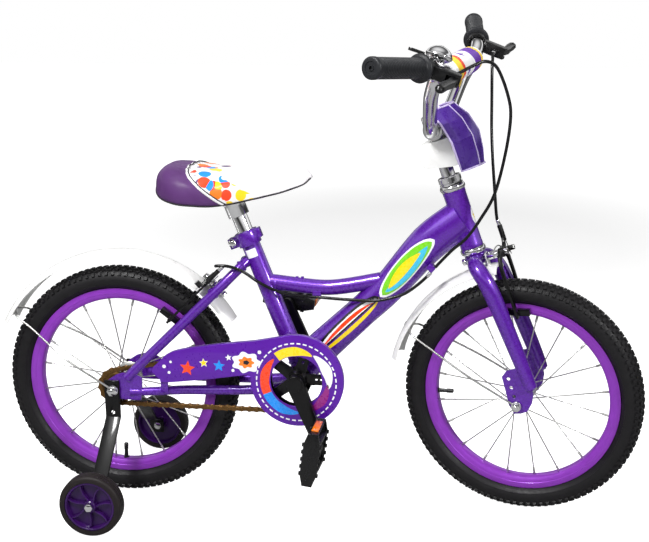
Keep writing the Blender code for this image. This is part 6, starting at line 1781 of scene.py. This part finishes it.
@dataclass
class Saddle:
    """Two-tone stuffed saddle with piping on its base, rails, clamp and post.

    Each row of the profile holds a place along X, half of the width there, and the heights of the top and of
    the lower edge.
    """

    seam: Vector = Vector((0.130, 0.0, 0.558))
    normal: Vector = Vector((1.0, 0.0, 1.15)).normalized()
    profile: tuple[tuple[float, float, float, float], ...] = (
        (0.077, 0.024, 0.538, 0.528), (0.083, 0.047, 0.553, 0.519), (0.097, 0.066, 0.562, 0.512),
        (0.122, 0.079, 0.561, 0.507), (0.148, 0.079, 0.558, 0.505), (0.172, 0.070, 0.5562, 0.503),
        (0.197, 0.052, 0.5562, 0.5035), (0.222, 0.036, 0.5575, 0.507), (0.250, 0.028, 0.5605, 0.513),
        (0.276, 0.0255, 0.5625, 0.5195), (0.298, 0.023, 0.561, 0.527), (0.313, 0.017, 0.556, 0.533),
        (0.321, 0.008, 0.548, 0.5405))

    def section(self, half: float, top: float, bottom: float, x: float, swell: float = 1.0) -> list[Vector]:
        """Closed section across the saddle.

        Args:
            half: Half of its width.
            top: Height of its top.
            bottom: Height of its lower edge.
            x: Where it is cut.
            swell: Size as a share, about its middle.

        Returns:
            The section's points, from the right over the top.
        """
        rail = mirrored([(0.0, 1.0), (0.40, 0.98), (0.74, 0.88), (0.93, 0.66), (1.0, 0.38), (1.0, 0.10),
                         (0.94, 0.0)])
        curve = smooth_path([(y, h, 0.0) for y, h in rail], 4)
        middle = (top + bottom) / 2
        return [Vector((x, p.x * half * swell, middle + (bottom + (top - bottom) * p.y - middle) * swell))
                for p in curve]

    def sections(self) -> list[list[Vector]]:
        """Sections from the tail to the nose, rounded off at both ends."""
        spots = smooth_path([(x, half, top) for x, half, top, _ in self.profile], 5)
        floors = smooth_path([(x, bottom, 0.0) for x, _, _, bottom in self.profile], 5)
        rows = [self.section(p.y, p.z, f.y, p.x) for p, f in zip(spots, floors)]
        caps = []
        for x, half, top, bottom in (self.profile[0], self.profile[-1]):
            out = -1.0 if x < self.seam.x else 1.0
            caps += [self.section(half, top, bottom, x + out * gap, size)
                     for gap, size in ((0.0016, 0.45), (0.0012, 0.80))]
        tail, nose = caps[:2], caps[:1:-1]
        return tail + rows + nose

    def stuffed(self) -> bpy.types.Object:
        """Whole cover, pulled in a little along the seam and puckered beside it."""
        cover = Bench.sheet(self.sections(), wrap=True)
        Bench.heal(cover, holes=True)
        for corner in cover.data.vertices:
            gap = (corner.co - self.seam).dot(self.normal)
            pull = 0.0016 * math.exp(-(gap / 0.005) ** 2)
            pucker = 0.0005 * math.exp(-(gap / 0.016) ** 2) * math.sin(corner.co.y * 520.0)
            height = corner.co.z - 0.53
            corner.co.y *= 1.0 - (pull + pucker) * 8.0
            if height > 0:
                corner.co.z -= pull + pucker
        return cover

    def covers(self) -> None:
        """Purple tail and white front, with piping and a dark seam in between."""
        whole = self.stuffed()
        printed = PrintedVinyl("vinyl_printed", "saddle_vinyl", srgb(240, 238, 240), 0.4, variation=0.05,
                               cell=900.0, depth=0.00012, coat=0.15,
                               frame_matrix=tuple(tuple(row) for row in axes(
                                   self.seam, self.normal, Y_AXIS, self.normal.cross(Y_AXIS))),
                               low=0.004, high=0.034, size=50.0)
        for name, finish, clear in (("saddle_tail", VINYL_PURPLE, "outer"),
                                    ("saddle_front", printed, "inner")):
            item = Bench.sliced(Bench.copied(whole, Matrix.Identity(4)), self.seam, self.normal, clear)
            Bench.finished(item, name, finish, Body.SEAT, ["saddle_cover"], smooth=60.0)
        seam = Bench.section_curve(whole, self.seam, self.normal)
        white = Bench.tube(seam, 0.0022, 10, loop=True)
        Bench.finished(white, "saddle_piping", PIPING_WHITE, Body.SEAT)
        dark = Bench.tube([p + self.normal * 0.0030 for p in seam], 0.0008, 8, loop=True)
        Bench.finished(dark, "saddle_thread", FOAM_DARK, Body.SEAT)
        bpy.data.objects.remove(whole)

    def edge(self) -> None:
        """Dark strip that holds the cover's lower edge."""
        spots = smooth_path([(x, half * 0.985, bottom + 0.0016) for x, half, _, bottom in self.profile], 4)
        loop = spots + [Vector((p.x, -p.y, p.z)) for p in reversed(spots)]
        Bench.finished(Bench.tube(loop, 0.0014, 10, loop=True), "saddle_edge", FOAM_DARK, Body.SEAT)

    def build(self) -> None:
        """Build the cover and what carries it."""
        self.covers()
        self.edge()
        Bench.refined("saddle_base", "saddle_shell", PLASTIC_BLACK, Body.SEAT, 0.0010)
        Bench.refined("saddle_frame", "saddle_rails", CHROME, Body.SEAT, 0.0005)
        Bench.finished(Bench.rod(on_seat_tube(0.110), on_seat_tube(0.300), 0.0127, 48, 0.0008),
                       "seat_post_tube", CHROME, Body.SEAT, ["seat_post"])


@dataclass
class Drive:
    """Crank, toothed chainring, roller chain, freewheel, guard and pedals."""

    plane: float = -0.040
    ring_pitch: float = 0.0567
    sprocket_pitch: float = 0.02854
    links: int = 70
    pedal_middle: float = 0.114
    spindle_start: float = 0.086
    spindle_share: float = 0.9

    def teeth(self, centre: Point, pitch: float, count: int, inner: float,
              gap_turn: float) -> bpy.types.Object:
        """Thin toothed ring in the chain's plane.

        Args:
            centre: Its middle.
            pitch: Radius of its pitch circle.
            count: Number of teeth.
            inner: Radius of its opening.
            gap_turn: Angle in degrees of the middle of one gap.

        Returns:
            The new object.
        """
        outline = []
        step = 360.0 / count
        for k in range(count):
            base = gap_turn + k * step
            for turn, radius in ((0.0, pitch - 0.0040), (0.20, pitch - 0.0034), (0.31, pitch - 0.0010),
                                 (0.42, pitch + 0.0024), (0.50, pitch + 0.0030), (0.58, pitch + 0.0024),
                                 (0.69, pitch - 0.0010), (0.80, pitch - 0.0034)):
                angle = math.radians(base + turn * step)
                outline.append((radius * math.cos(angle), radius * math.sin(angle)))
        hole = arc((0.0, 0.0), inner, 0.0, 355.0, 71)
        return Bench.plate([outline, hole], 0.0022, facing_right((centre[0], self.plane, centre[2])), 0.0003)

    def line_turn(self) -> float:
        """Angle of the line from the sprocket to the chainring, in degrees."""
        gap = BRACKET_CENTRE - REAR_CENTRE
        return math.degrees(math.atan2(gap.z, gap.x))

    def pitch_line(self) -> list[Vector]:
        """Middles of the chain's pins, from the chainring's far side round the loop."""
        gap = BRACKET_CENTRE - REAR_CENTRE
        turn = self.line_turn()
        lean = math.degrees(math.acos((self.ring_pitch - self.sprocket_pitch) / gap.length))
        wrap = 180.0 - lean
        fine = [*arc((BRACKET_CENTRE.x, BRACKET_CENTRE.z), self.ring_pitch, turn, turn + wrap, 120),
                *arc((REAR_CENTRE.x, REAR_CENTRE.z), self.sprocket_pitch, turn + wrap, turn + 360.0 - wrap,
                     160),
                *arc((BRACKET_CENTRE.x, BRACKET_CENTRE.z), self.ring_pitch, turn - wrap, turn, 120)]
        points = [Vector((x, self.plane, z)) for x, z in fine]
        lengths = [0.0]
        for a, b in zip(points, points[1:]):
            lengths.append(lengths[-1] + (b - a).length)
        pins, index = [], 0
        for k in range(self.links):
            reach = lengths[-1] * k / self.links
            while lengths[index + 1] < reach:
                index += 1
            share = (reach - lengths[index]) / max(1e-9, lengths[index + 1] - lengths[index])
            pins.append(points[index].lerp(points[index + 1], share))
        return pins

    def link(self, outer: bool, pitch: float) -> bpy.types.Object:
        """One link lying along local X, its pins on the ends.

        Args:
            outer: Whether its plates are the outer ones.
            pitch: Distance between its pins.

        Returns:
            The new object.
        """
        half = pitch / 2
        outline = [*arc((half, 0.0), 0.0041, -125.0, 125.0, 8), (0.0, 0.0029),
                   *arc((-half, 0.0), 0.0041, 55.0, 305.0, 8), (0.0, -0.0029)]
        side = 0.0030 if outer else 0.0020
        parts = [Bench.plate([outline], 0.0009, Matrix.Translation((0, 0, s * side)), 0.0002, 0)
                 for s in (1, -1)]
        for x in (-half, half):
            if outer:
                parts.append(Bench.rod((x, 0, -0.0035), (x, 0, 0.0035), 0.0017, 8, 0.0003))
            else:
                parts.append(Bench.rod((x, 0, -0.0016), (x, 0, 0.0016), 0.0037, 10, 0.0002))
        return Bench.joined(*parts)

    def chain(self) -> None:
        """Roller chain of alternate inner and outer links."""
        pins = self.pitch_line()
        pitch = (pins[1] - pins[0]).length
        patterns = [self.link(True, pitch), self.link(False, pitch)]
        links = []
        for k, pin in enumerate(pins):
            following = pins[(k + 1) % len(pins)]
            way = (following - pin).normalized()
            links.append(Bench.copied(patterns[k % 2],
                                      axes((pin + following) / 2, way, Y_AXIS.cross(way), Y_AXIS)))
        for pattern in patterns:
            bpy.data.objects.remove(pattern)
        Bench.finished(Bench.joined(*links), "chain_links", CHAIN_BRONZE, Body.FRAME, ["chain"])

    def crank(self) -> None:
        """One-piece crank, a little slimmer inside the pedals, and its toothed chainring."""
        crank = Bench.softened("crank", 0.0018, 3, 40.0)
        for side in (1.0, -1.0):
            points = [v for v in crank.data.vertices if side * v.co.y > self.spindle_start]
            x, z = (sum(v.co[axis] for v in points) / len(points) for axis in (0, 2))
            for point in points:
                point.co.x = x + (point.co.x - x) * self.spindle_share
                point.co.z = z + (point.co.z - z) * self.spindle_share
        Bench.finished(crank, "crank_forged", STEEL_BLACK, Body.CRANK, ["crank"])
        ring = self.teeth(BRACKET_CENTRE, self.ring_pitch, 28, 0.0500, self.line_turn())
        Bench.finished(Bench.joined(Bench.softened("chainring", 0.0005), ring), "chainring_toothed",
                       STEEL_BLACK, Body.CRANK, ["chainring"])

    def freewheel(self) -> None:
        """Freewheel body with its toothed sprocket."""
        shell = [(-0.0460, 0.0148), (-0.0460, 0.0186), (-0.0452, 0.0195), (-0.0418, 0.0203),
                 (-0.0415, 0.0232),
                 (-0.0408, 0.0240), (-0.0392, 0.0240), (-0.0385, 0.0232), (-0.0382, 0.0205),
                 (-0.0316, 0.0205), (-0.0310, 0.0199), (-0.0310, 0.0148)]
        body = Bench.turned(shell, aimed(REAR_CENTRE, Y_AXIS), 48)
        ring = self.teeth(REAR_CENTRE, self.sprocket_pitch, 14, 0.0220, self.line_turn() + 180.0)
        Bench.finished(Bench.joined(body, ring), "freewheel_toothed", CHAIN_BRONZE, Body.FREEWHEEL,
                       ["freewheel_sprocket"])

    def pedal(self, side: Side, body: Body) -> None:
        """Cage pedal with grip studs and an amber reflector on each end.

        Args:
            side: Side of the bicycle that it is on.
            body: Body that it turns with.
        """
        node = "pedal_" + side.label
        eye = BRACKET_CENTRE + CRANK_DOWN * (CRANK_LENGTH * -side.value)
        turn = 8.0 if side is Side.RIGHT else 97.0
        place = Matrix.Translation(eye) @ Matrix.Rotation(math.radians(turn), 4, "Y")
        middle = side.value * self.pedal_middle
        studs = [Bench.block((0.0046, 0.0036, 0.0064), place @ Matrix.Translation(
            (face * 0.0132, middle + edge * 0.0345, row * 0.0120)), 0.0010)
            for face in (1, -1) for edge in (1, -1) for row in (-2, -1, 0, 1, 2)]
        cage = Bench.joined(Bench.softened(node, 0.0009, 2, 40.0), *studs)
        Bench.finished(cage, node + "_moulded", PLASTIC_BLACK, body, [node])
        lenses = [Bench.block((0.0110, 0.044, 0.0026), place @ Matrix.Translation(
            (0.0, middle, end * 0.0434)), 0.0008) for end in (1, -1)]
        Bench.finished(Bench.joined(*lenses), "reflectors_" + side.label, AMBER, body)

    def build(self) -> None:
        """Build the drive."""
        self.crank()
        self.freewheel()
        self.chain()
        self.pedal(Side.RIGHT, Body.PEDAL_RIGHT)
        self.pedal(Side.LEFT, Body.PEDAL_LEFT)


@dataclass
class Guard:
    """Chain guard with its lip and a bright generic print."""

    centre: tuple[float, float] = (0.304, 0.222)
    middle: tuple[float, float] = (0.303, 0.220)
    radius: float = 0.076
    opening: float = 0.042
    face: float = -0.0575
    plate_side: float = -0.05625
    lip_side: float = -0.0517
    edge_side: float = -0.0472

    def outline(self) -> list[tuple[float, float]]:
        """Outline of the guard in X and Z."""
        arm = [(0.2284, 0.2300), (0.159, 0.219), (0.087, 0.2105), (0.077, 0.216), (0.066, 0.227),
               (0.066, 0.234), (0.079, 0.247), (0.091, 0.258), (0.114, 0.267), (0.175, 0.278), (0.236, 0.286),
               (0.2934, 0.2973)]
        tip = smooth_path([(x, z, 0.0) for x, z in arm[1:-1]], 5)
        return arc(self.centre, self.radius, 174.0, 458.0, 96) + [(p.x, p.y) for p in reversed(tip)]

    def lip_line(self) -> list[tuple[float, float]]:
        """Line of the lip along the guard's edge."""
        tip = smooth_path([(x, z - 0.0015, 0.0) for x, z in ((0.236, 0.286), (0.175, 0.278), (0.114, 0.267),
                                                             (0.091, 0.258), (0.079, 0.247))], 5)
        return arc(self.centre, self.radius - 0.0015, 210.0, 458.0, 84) + [(p.x, p.y) for p in tip]

    def band(self, low: float, high: float, start: float, end: float, tips: tuple[bool, bool]) -> Outline:
        """Curved band round the crank, pointed at the chosen ends.

        Args:
            low: Its inner radius in millimetres.
            high: Its outer radius in millimetres.
            start: First angle in degrees.
            end: Last angle in degrees.
            tips: Whether it is pointed at its start and at its end.

        Returns:
            The outline's points.
        """
        outer, inner = [], []
        for k in range(33):
            share = k / 32
            width = 1.0
            if tips[0]:
                width = min(width, (share / 0.45) ** 0.6)
            if tips[1]:
                width = min(width, ((1.0 - share) / 0.45) ** 0.6)
            angle = math.radians(start + (end - start) * share)
            middle, half = (low + high) / 2000.0, (high - low) / 2000.0 * max(0.02, width)
            for line, radius in ((outer, middle + half), (inner, middle - half)):
                line.append((self.middle[0] + radius * math.cos(angle),
                             self.middle[1] + radius * math.sin(angle)))
        return outer + inner[::-1]

    def stamp(self, name: str, outline: Outline, finish: Finish, level: int = 1) -> None:
        """Lay one printed figure on the guard.

        Args:
            name: The figure's name.
            outline: Its outline in X and Z.
            finish: Its colour.
            level: Layer that it lies in, from 1 up.
        """
        place = facing_right((0.0, self.face - 0.00010 * level + 0.00004, 0.0))
        Bench.finished(Bench.plate([outline], 0.0001, place, 0.0, 0), name, finish, Body.FRAME)

    def rosette(self, centre: Point, size: float, petals: int, dent: float) -> Outline:
        """Round flower outline."""
        spots = []
        for k in range(72):
            angle = math.tau * k / 72
            reach = size * (1.0 + dent * math.cos(petals * angle))
            spots.append((centre[0] + reach * 1.35 * math.cos(angle), centre[1] + reach * math.sin(angle)))
        return spots

    def prints(self) -> None:
        """Curved bands, a ring of dashes, plain stars, a flower and dots."""
        self.stamp("band_yellow", self.band(44, 59, 127, 59, (False, True)), YELLOW)
        self.stamp("band_white", self.band(45, 62, -10, 58, (True, True)), WHITE)
        self.stamp("band_magenta", self.band(44, 58, -69, -2, (True, True)), MAGENTA)
        self.stamp("band_blue", self.band(44, 59, 203, 275, (False, True)), BLUE)
        self.stamp("band_red", self.band(44, 59, 203, 133, (False, True)), RED)
        dashes = [Bench.plate([self.dash(k)], 0.0001, facing_right((0.0, self.face - 0.00006, 0.0)), 0.0, 0)
                  for k in range(40)]
        Bench.finished(Bench.joined(*dashes), "ring_of_dashes", WHITE, Body.FRAME)
        figures = [("star_red", star((0.1245, 0.2365), 0.0132, -8.0), RED, 1),
                   ("star_yellow_edge", star((0.152, 0.2466), 0.0078, 6.0), WHITE, 1),
                   ("star_yellow", star((0.152, 0.2466), 0.0064, 6.0), YELLOW, 2),
                   ("star_blue", star((0.177, 0.2426), 0.0102, -4.0), BLUE, 1),
                   ("star_white", star((0.193, 0.257), 0.0056, 10.0), WHITE, 1),
                   ("flower_white", self.rosette((0.222, 0.2500), 0.0165, 7, 0.12), WHITE, 1),
                   ("flower_orange", self.rosette((0.222, 0.2500), 0.0088, 7, 0.14), ORANGE, 2),
                   ("flower_black", self.rosette((0.222, 0.2500), 0.0036, 5, 0.10), BLACK_GUARD, 3)]
        for k, (x, z, size) in enumerate(((0.086, 0.238, 0.0030), (0.097, 0.246, 0.0021),
                                          (0.094, 0.228, 0.0024),
                                          (0.244, 0.268, 0.0030), (0.200, 0.236, 0.0026))):
            figures.append((f"dot_{k}", arc((x, z), size, 0.0, 342.0, 19), WHITE, 1))
        for name, outline, finish, level in figures:
            self.stamp(name, outline, finish, level)

    def dash(self, index: int) -> Outline:
        """Outline of one dash of the ring."""
        start = index * 9.0 + 2.0
        high = arc(self.middle, 0.0658, start, start + 5.6, 3)
        return high + arc(self.middle, 0.0636, start + 5.6, start, 3)

    def build(self) -> None:
        """Build the guard."""
        hole = arc((0.303, 0.221), self.opening, 0.0, 356.0, 89)
        plate = Bench.plate([self.outline(), hole], 0.0025, facing_right((0.0, self.plate_side, 0.0)),
                            0.0005, 2)
        line = [Vector((x, 0.0, z)) for x, z in self.lip_line()]
        lip = Bench.plate([Bench.strip([(p.x, p.z) for p in line], 0.002)], 0.0093,
                          facing_right((0.0, self.lip_side, 0.0)), 0.0003)
        Bench.finished(Bench.joined(plate, lip), "chain_guard_shell", GUARD_PAINT, Body.FRAME,
                       ["chain_guard"], smooth=30.0)
        edge = Bench.tube([Vector((p.x, self.edge_side, p.z)) for p in line], 0.0011, 8)
        Bench.finished(edge, "chain_guard_edge", GUARD_EDGE, Body.FRAME)
        self.prints()


@dataclass
class Stabiliser:
    """Cranked bracket with a small ribbed wheel."""

    side: Side
    body: Body
    track: float = 0.187
    radius: float = 0.050

    @property
    def centre(self) -> Vector:
        """Middle of the wheel."""
        return Vector((0.0, self.side.value * self.track, self.radius))

    def wheel(self) -> None:
        """Hub with curved ribs and the solid tyre."""
        out = aimed(self.centre, Y_AXIS * self.side.value)
        shell = [(-0.0118, 0.0377), (-0.0118, 0.0396), (0.0118, 0.0396), (0.0121, 0.0388), (0.0121, 0.0374),
                 (0.0116, 0.0368), (0.0042, 0.0360), (0.0030, 0.0352), (0.0028, 0.0105), (0.0112, 0.0094),
                 (0.0122, 0.0084), (0.0122, 0.0046), (-0.0118, 0.0046), (-0.0118, 0.0096), (-0.0028, 0.0105),
                 (-0.0030, 0.0352), (-0.0042, 0.0360)]
        curve = [(0.0095 + 0.0270 * t, 0.0065 * math.sin(t * 2.2)) for t in (k / 10 for k in range(11))]
        rib = Bench.plate([Bench.strip(curve, 0.0022)], 0.0072, out @ Matrix.Translation((0, 0, 0.0062)),
                          0.0003)
        ribs = Bench.ringed(rib, out, 7)
        hub = Bench.joined(Bench.turned(shell, out, 72), ribs)
        Bench.finished(hub, "small_hub_" + self.side.label, HUB_PURPLE, self.body,
                       ["stabiliser_hub_" + self.side.label], smooth=30.0)
        tyre = mirrored([(0.0006, 0.0490), (0.0008, 0.0500), (0.0042, 0.0500), (0.0046, 0.0488),
                         (0.0058, 0.0488), (0.0062, 0.0499), (0.0085, 0.0498), (0.0105, 0.0491),
                         (0.0122, 0.0475), (0.0130, 0.0455), (0.0130, 0.0402)])
        Bench.finished(Bench.turned(tyre, out, 96), "small_tyre_" + self.side.label, SMALL_TYRE, self.body,
                       ["stabiliser_tyre_" + self.side.label], smooth=30.0)

    def build(self) -> None:
        """Build the bracket, the axle bolt and the wheel."""
        label, sign = self.side.label, self.side.value
        Bench.refined("stabiliser_bracket_" + label, "cranked_strip_" + label, STEEL_BLACK, Body.FRAME,
                      0.0007)
        bolt = Bench.softened("stabiliser_axle_" + label, 0.0004)
        head = Bench.nut(self.centre + Y_AXIS * (sign * 0.0133), Y_AXIS * sign, 0.0132, 0.0042)
        Bench.finished(Bench.joined(bolt, head), "small_axle_" + label, CHROME, Body.FRAME,
                       ["stabiliser_axle_" + label])
        self.wheel()


@dataclass
class Cables:
    """Brake cables from the levers to the calipers."""

    radius: float = 0.0025
    guide: Vector = Vector((0.5183, -0.0262, 0.4042))
    way: Vector = Vector((0.650, 0.0, 0.759)).normalized()
    lever_side: float = 0.152
    grip_inner: float = 0.166
    grip_outer: float = 0.288

    def lever_frame(self, side: Side) -> Matrix:
        """Local axes of a lever: X outboard, Y up along its pin, Z forward."""
        share = (self.lever_side - self.grip_inner) / (self.grip_outer - self.grip_inner)
        bar = GRIP_START.lerp(GRIP_END, share)
        bar.y *= side.value
        return axes(bar, Y_AXIS * side.value, Vector((0.34, 0.0, 0.94)).normalized(),
                    Vector((0.94, 0.0, -0.34)).normalized())

    def ferrules(self, path: Sequence[Vector]) -> list[bpy.types.Object]:
        """Metal caps at both ends of a cable."""
        ends = ((path[0], path[1] - path[0]), (path[-1], path[-2] - path[-1]))
        return [Bench.rod(foot, foot + way.normalized() * 0.009, 0.0031, 16) for foot, way in ends]

    def build(self) -> None:
        """Build the front cable, the rear cable and its loop over the head tube."""
        left = self.lever_frame(Side.LEFT) @ Vector((-0.0226, 0.0, 0.037))
        front_top = on_steering(0.236, 0.042, 0.038) + STEER_UP * 0.0363
        front = smooth_path([left, left - Y_AXIS * 0.012, (0.5830, 0.104, 0.7190), (0.5850, 0.092, 0.700),
                             (0.5875, 0.082, 0.657), (0.5905, 0.070, 0.612), (0.596, 0.056, 0.567),
                             (0.602, 0.046, 0.521), front_top + STEER_UP * 0.014, front_top], 6)
        Bench.finished(Bench.tube(front, self.radius, 14), "front_cable_housing", CABLE_BLACK, Body.STEERING,
                       ["front_brake_cable"], True)
        Bench.finished(Bench.joined(*self.ferrules(front)), "front_cable_caps", CHROME, Body.STEERING, (),
                       True)
        up = Vector((0.709, 0.0, 0.705))
        out = Vector((-0.705, 0.0, 0.709))
        rear_top = BRIDGE_CENTRE + out * 0.020 + up * 0.0363 - Y_AXIS * 0.038
        rear = smooth_path([self.guide - self.way * 0.0056, self.guide - self.way * 0.01456,
                            (0.4930, -0.0270, 0.3785), (0.473, -0.0265, 0.3640), (0.450, -0.0265, 0.3560),
                            (0.425, -0.0265, 0.3512), (0.377, -0.0175, 0.3492), (0.330, -0.0095, 0.3495),
                            (0.304, -0.0125, 0.3515), (0.278, -0.0190, 0.3560), (0.243, -0.0210, 0.3710),
                            (0.217, -0.0290, 0.3910), (0.203, -0.0355, 0.3995), (0.188, -0.0385, 0.4035),
                            (0.172, -0.0385, 0.4030), rear_top + up * 0.010, rear_top], 6)
        Bench.finished(Bench.tube(rear, self.radius, 14), "rear_cable_housing", CABLE_BLACK, Body.FRAME,
                       ["rear_brake_cable"])
        Bench.finished(Bench.joined(*self.ferrules(rear)), "rear_cable_caps", CHROME, Body.FRAME)
        right = self.lever_frame(Side.RIGHT) @ Vector((-0.0229, 0.0, 0.037))
        loop = smooth_path([STEERING_TURN @ right, STEERING_TURN @ (right + Y_AXIS * 0.012),
                            (0.5795, -0.112, 0.7275), (0.598, -0.099, 0.733), (0.614, -0.084, 0.722),
                            (0.629, -0.066, 0.683), (0.634, -0.056, 0.648), (0.627, -0.046, 0.591),
                            (0.612, -0.041, 0.529), (0.591, -0.038, 0.489), (0.570, -0.0345, 0.458),
                            (0.549, -0.0300, 0.4385), self.guide + self.way * 0.0168,
                            self.guide + self.way * 0.0056], 6)
        item = Bench.tube(loop, self.radius, 14)
        item.name = item.data.name = "rear_cable_loop"
        item.data.materials.append(CABLE_BLACK.build())
        Bench.pick(item)
        bpy.ops.object.shade_smooth_by_angle(angle=math.radians(40.0))
        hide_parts("rear_brake_cable_loop")
        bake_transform(item)
        Bench.made.append(item.name)


@dataclass
class Studio:
    """Camera, lights and a white floor that keeps only the shadow.

    The room's three strengths are for plain fill, for reflections and for what the camera sees. Its shades
    are greys by height, with low dark and light bands that show in polished metal.
    """

    spot: Vector = Vector((0.680, -1.962, 0.871))
    azimuth: float = 7.21
    elevation: float = 14.34
    lens: float = 70.6
    sensor: float = 36.0
    shift: tuple[float, float] = (-0.0863, 0.0262)
    floor_lit: float = 0.60
    floor_mirrored: float = 0.34
    glow: tuple[float, float] = (0.54, 0.99)
    room: tuple[float, float, float] = (0.22, 1.25, 1.0)
    shade_ends: tuple[tuple[float, ...], ...] = ((0.05, 0.05, 0.06), (0.75, 0.75, 0.75))
    shades: tuple[tuple[float, float], ...] = ((0.46, 0.20), (0.50, 0.02), (0.56, 0.05), (0.61, 0.50),
                                               (0.70, 0.90), (0.76, 0.08), (0.86, 0.12))

    def camera(self) -> None:
        """Put the camera where the photograph was taken from."""
        bpy.ops.object.camera_add(location=self.spot)
        camera = bpy.context.object
        camera.rotation_euler = (math.radians(90.0 - self.elevation), 0.0, math.radians(self.azimuth))
        camera.data.lens = self.lens
        camera.data.sensor_width = self.sensor
        camera.data.shift_x, camera.data.shift_y = self.shift
        bpy.context.scene.camera = camera

    def light(self, name: str, place: Point, size: float, power: float, reflected: bool,
              aim: Point = (0.35, 0.0, 0.35)) -> None:
        """Add one soft square light.

        Args:
            name: Its name.
            place: Where it hangs.
            size: Length of its side.
            power: Its power in watts.
            reflected: Whether it shows in reflections.
            aim: Point that it shines at.
        """
        bpy.ops.object.light_add(type="AREA", location=place)
        lamp = bpy.context.object
        lamp.name = name
        lamp.data.size = size
        lamp.data.energy = power
        lamp.rotation_euler = (Vector(aim) - Vector(place)).to_track_quat("-Z", "Y").to_euler()
        lamp.visible_glossy = reflected

    def floor(self) -> None:
        """White floor that glows more with distance, so that it ends in plain white."""
        bpy.ops.mesh.primitive_plane_add(size=14.0, location=(0.3, 2.0, 0.0))
        floor = bpy.context.object
        floor.name = "floor"
        graph = Graph("floor_white")
        path = graph.nodes.new("ShaderNodeLightPath")
        tone = graph.mix(path.outputs["Is Glossy Ray"], (self.floor_lit,) * 3, (self.floor_mirrored,) * 3)
        graph.set(Base_Color=tone, Roughness=0.9, Specular_IOR_Level=0.05)
        across, along, _ = graph.split(graph.place)
        far = graph.math("ADD", graph.math("MULTIPLY", across, across), graph.math("MULTIPLY", along, along))
        glow = graph.math("MULTIPLY", graph.span(far, 0.4, 2.6, *self.glow), path.outputs["Is Camera Ray"])
        graph.set(Emission_Color=(1.0, 1.0, 1.0, 1.0), Emission_Strength=glow)
        floor.data.materials.append(graph.material)

    def world(self) -> None:
        """White to the camera, a soft bright room in reflections and a dim fill elsewhere."""
        world = bpy.data.worlds.new("studio")
        bpy.context.scene.world = world
        world.use_nodes = True
        nodes, links = world.node_tree.nodes, world.node_tree.links
        nodes.clear()
        out = nodes.new("ShaderNodeOutputWorld")
        path = nodes.new("ShaderNodeLightPath")
        coords = nodes.new("ShaderNodeTexCoord")
        split = nodes.new("ShaderNodeSeparateXYZ")
        ramp = nodes.new("ShaderNodeValToRGB")
        links.new(coords.outputs["Generated"], split.inputs[0])
        stretch = nodes.new("ShaderNodeMapRange")
        stretch.inputs["From Min"].default_value = -1.0
        links.new(split.outputs[2], stretch.inputs["Value"])
        links.new(stretch.outputs["Result"], ramp.inputs["Fac"])
        for end, colour in zip(ramp.color_ramp.elements, self.shade_ends):
            end.color = (*colour, 1.0)
        for place, grey in self.shades:
            element = ramp.color_ramp.elements.new(place)
            element.color = (grey, grey, grey, 1.0)
        shades = []
        for strength in self.room:
            shade = nodes.new("ShaderNodeBackground")
            shade.inputs["Color"].default_value = (1.0, 1.0, 1.0, 1.0)
            shade.inputs["Strength"].default_value = strength
            shades.append(shade)
        links.new(ramp.outputs["Color"], shades[1].inputs["Color"])
        result = shades[0]
        for ray, shade in (("Is Glossy Ray", shades[1]), ("Is Camera Ray", shades[2])):
            mix = nodes.new("ShaderNodeMixShader")
            links.new(path.outputs[ray], mix.inputs["Fac"])
            links.new(result.outputs[0], mix.inputs[1])
            links.new(shade.outputs[0], mix.inputs[2])
            result = mix
        links.new(result.outputs[0], out.inputs["Surface"])

    def build(self) -> None:
        """Set the studio up."""
        self.camera()
        for lamp in (("key", (-0.9, -2.2, 2.6), 2.0, 20.0, True),
                     ("fill", (2.4, -1.8, 1.5), 1.8, 10.0, False),
                     ("top", (0.4, 0.6, 3.0), 2.6, 32.0, False),
                     ("strip", (-0.35, -1.35, 2.2), 0.45, 50.0, True),
                     ("strip_right", (2.3, -1.2, 1.5), 0.35, 26.0, True)):
            self.light(*lamp)
        self.floor()
        self.world()
        bpy.context.scene.view_settings.view_transform = "Standard"


def main() -> None:
    """Build every sub-assembly round the CAD model and set the studio up."""
    logging.basicConfig(level=logging.INFO, format="%(name)s: %(message)s")
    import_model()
    Frame().build()
    Fork().build()
    rear_wheel().build()
    front_wheel().build()
    Mudguard("rear", Body.FRAME, REAR_CENTRE, False, 30.0, 153.0, 0.0623, 147.5).build()
    Mudguard("front", Body.STEERING, FRONT_CENTRE, True, 101.0, 167.0, 0.0500, 152.0).build()
    Brake("rear", Body.FRAME, (Body.REAR_ARM_RIGHT, Body.REAR_ARM_LEFT), BRIDGE_CENTRE,
          Vector((-0.705, 0.0, 0.709)), Vector((0.709, 0.0, 0.705)), 0.017, -1, False).build()
    Brake("front", Body.STEERING, (Body.FRONT_ARM_RIGHT, Body.FRONT_ARM_LEFT), on_steering(CROWN_HEIGHT),
          STEER_FORWARD, STEER_UP, 0.039, 1, True).build()
    Cockpit().build()
    Controls().build()
    FrontPlate().build()
    Saddle().build()
    Drive().build()
    Guard().build()
    Stabiliser(Side.RIGHT, Body.STABILISER_RIGHT).build()
    Stabiliser(Side.LEFT, Body.STABILISER_LEFT).build()
    Cables().build()
    Studio().build()
    LOG.info("%d pieces made", len(Bench.made))


if __name__ == "__main__":
    main()
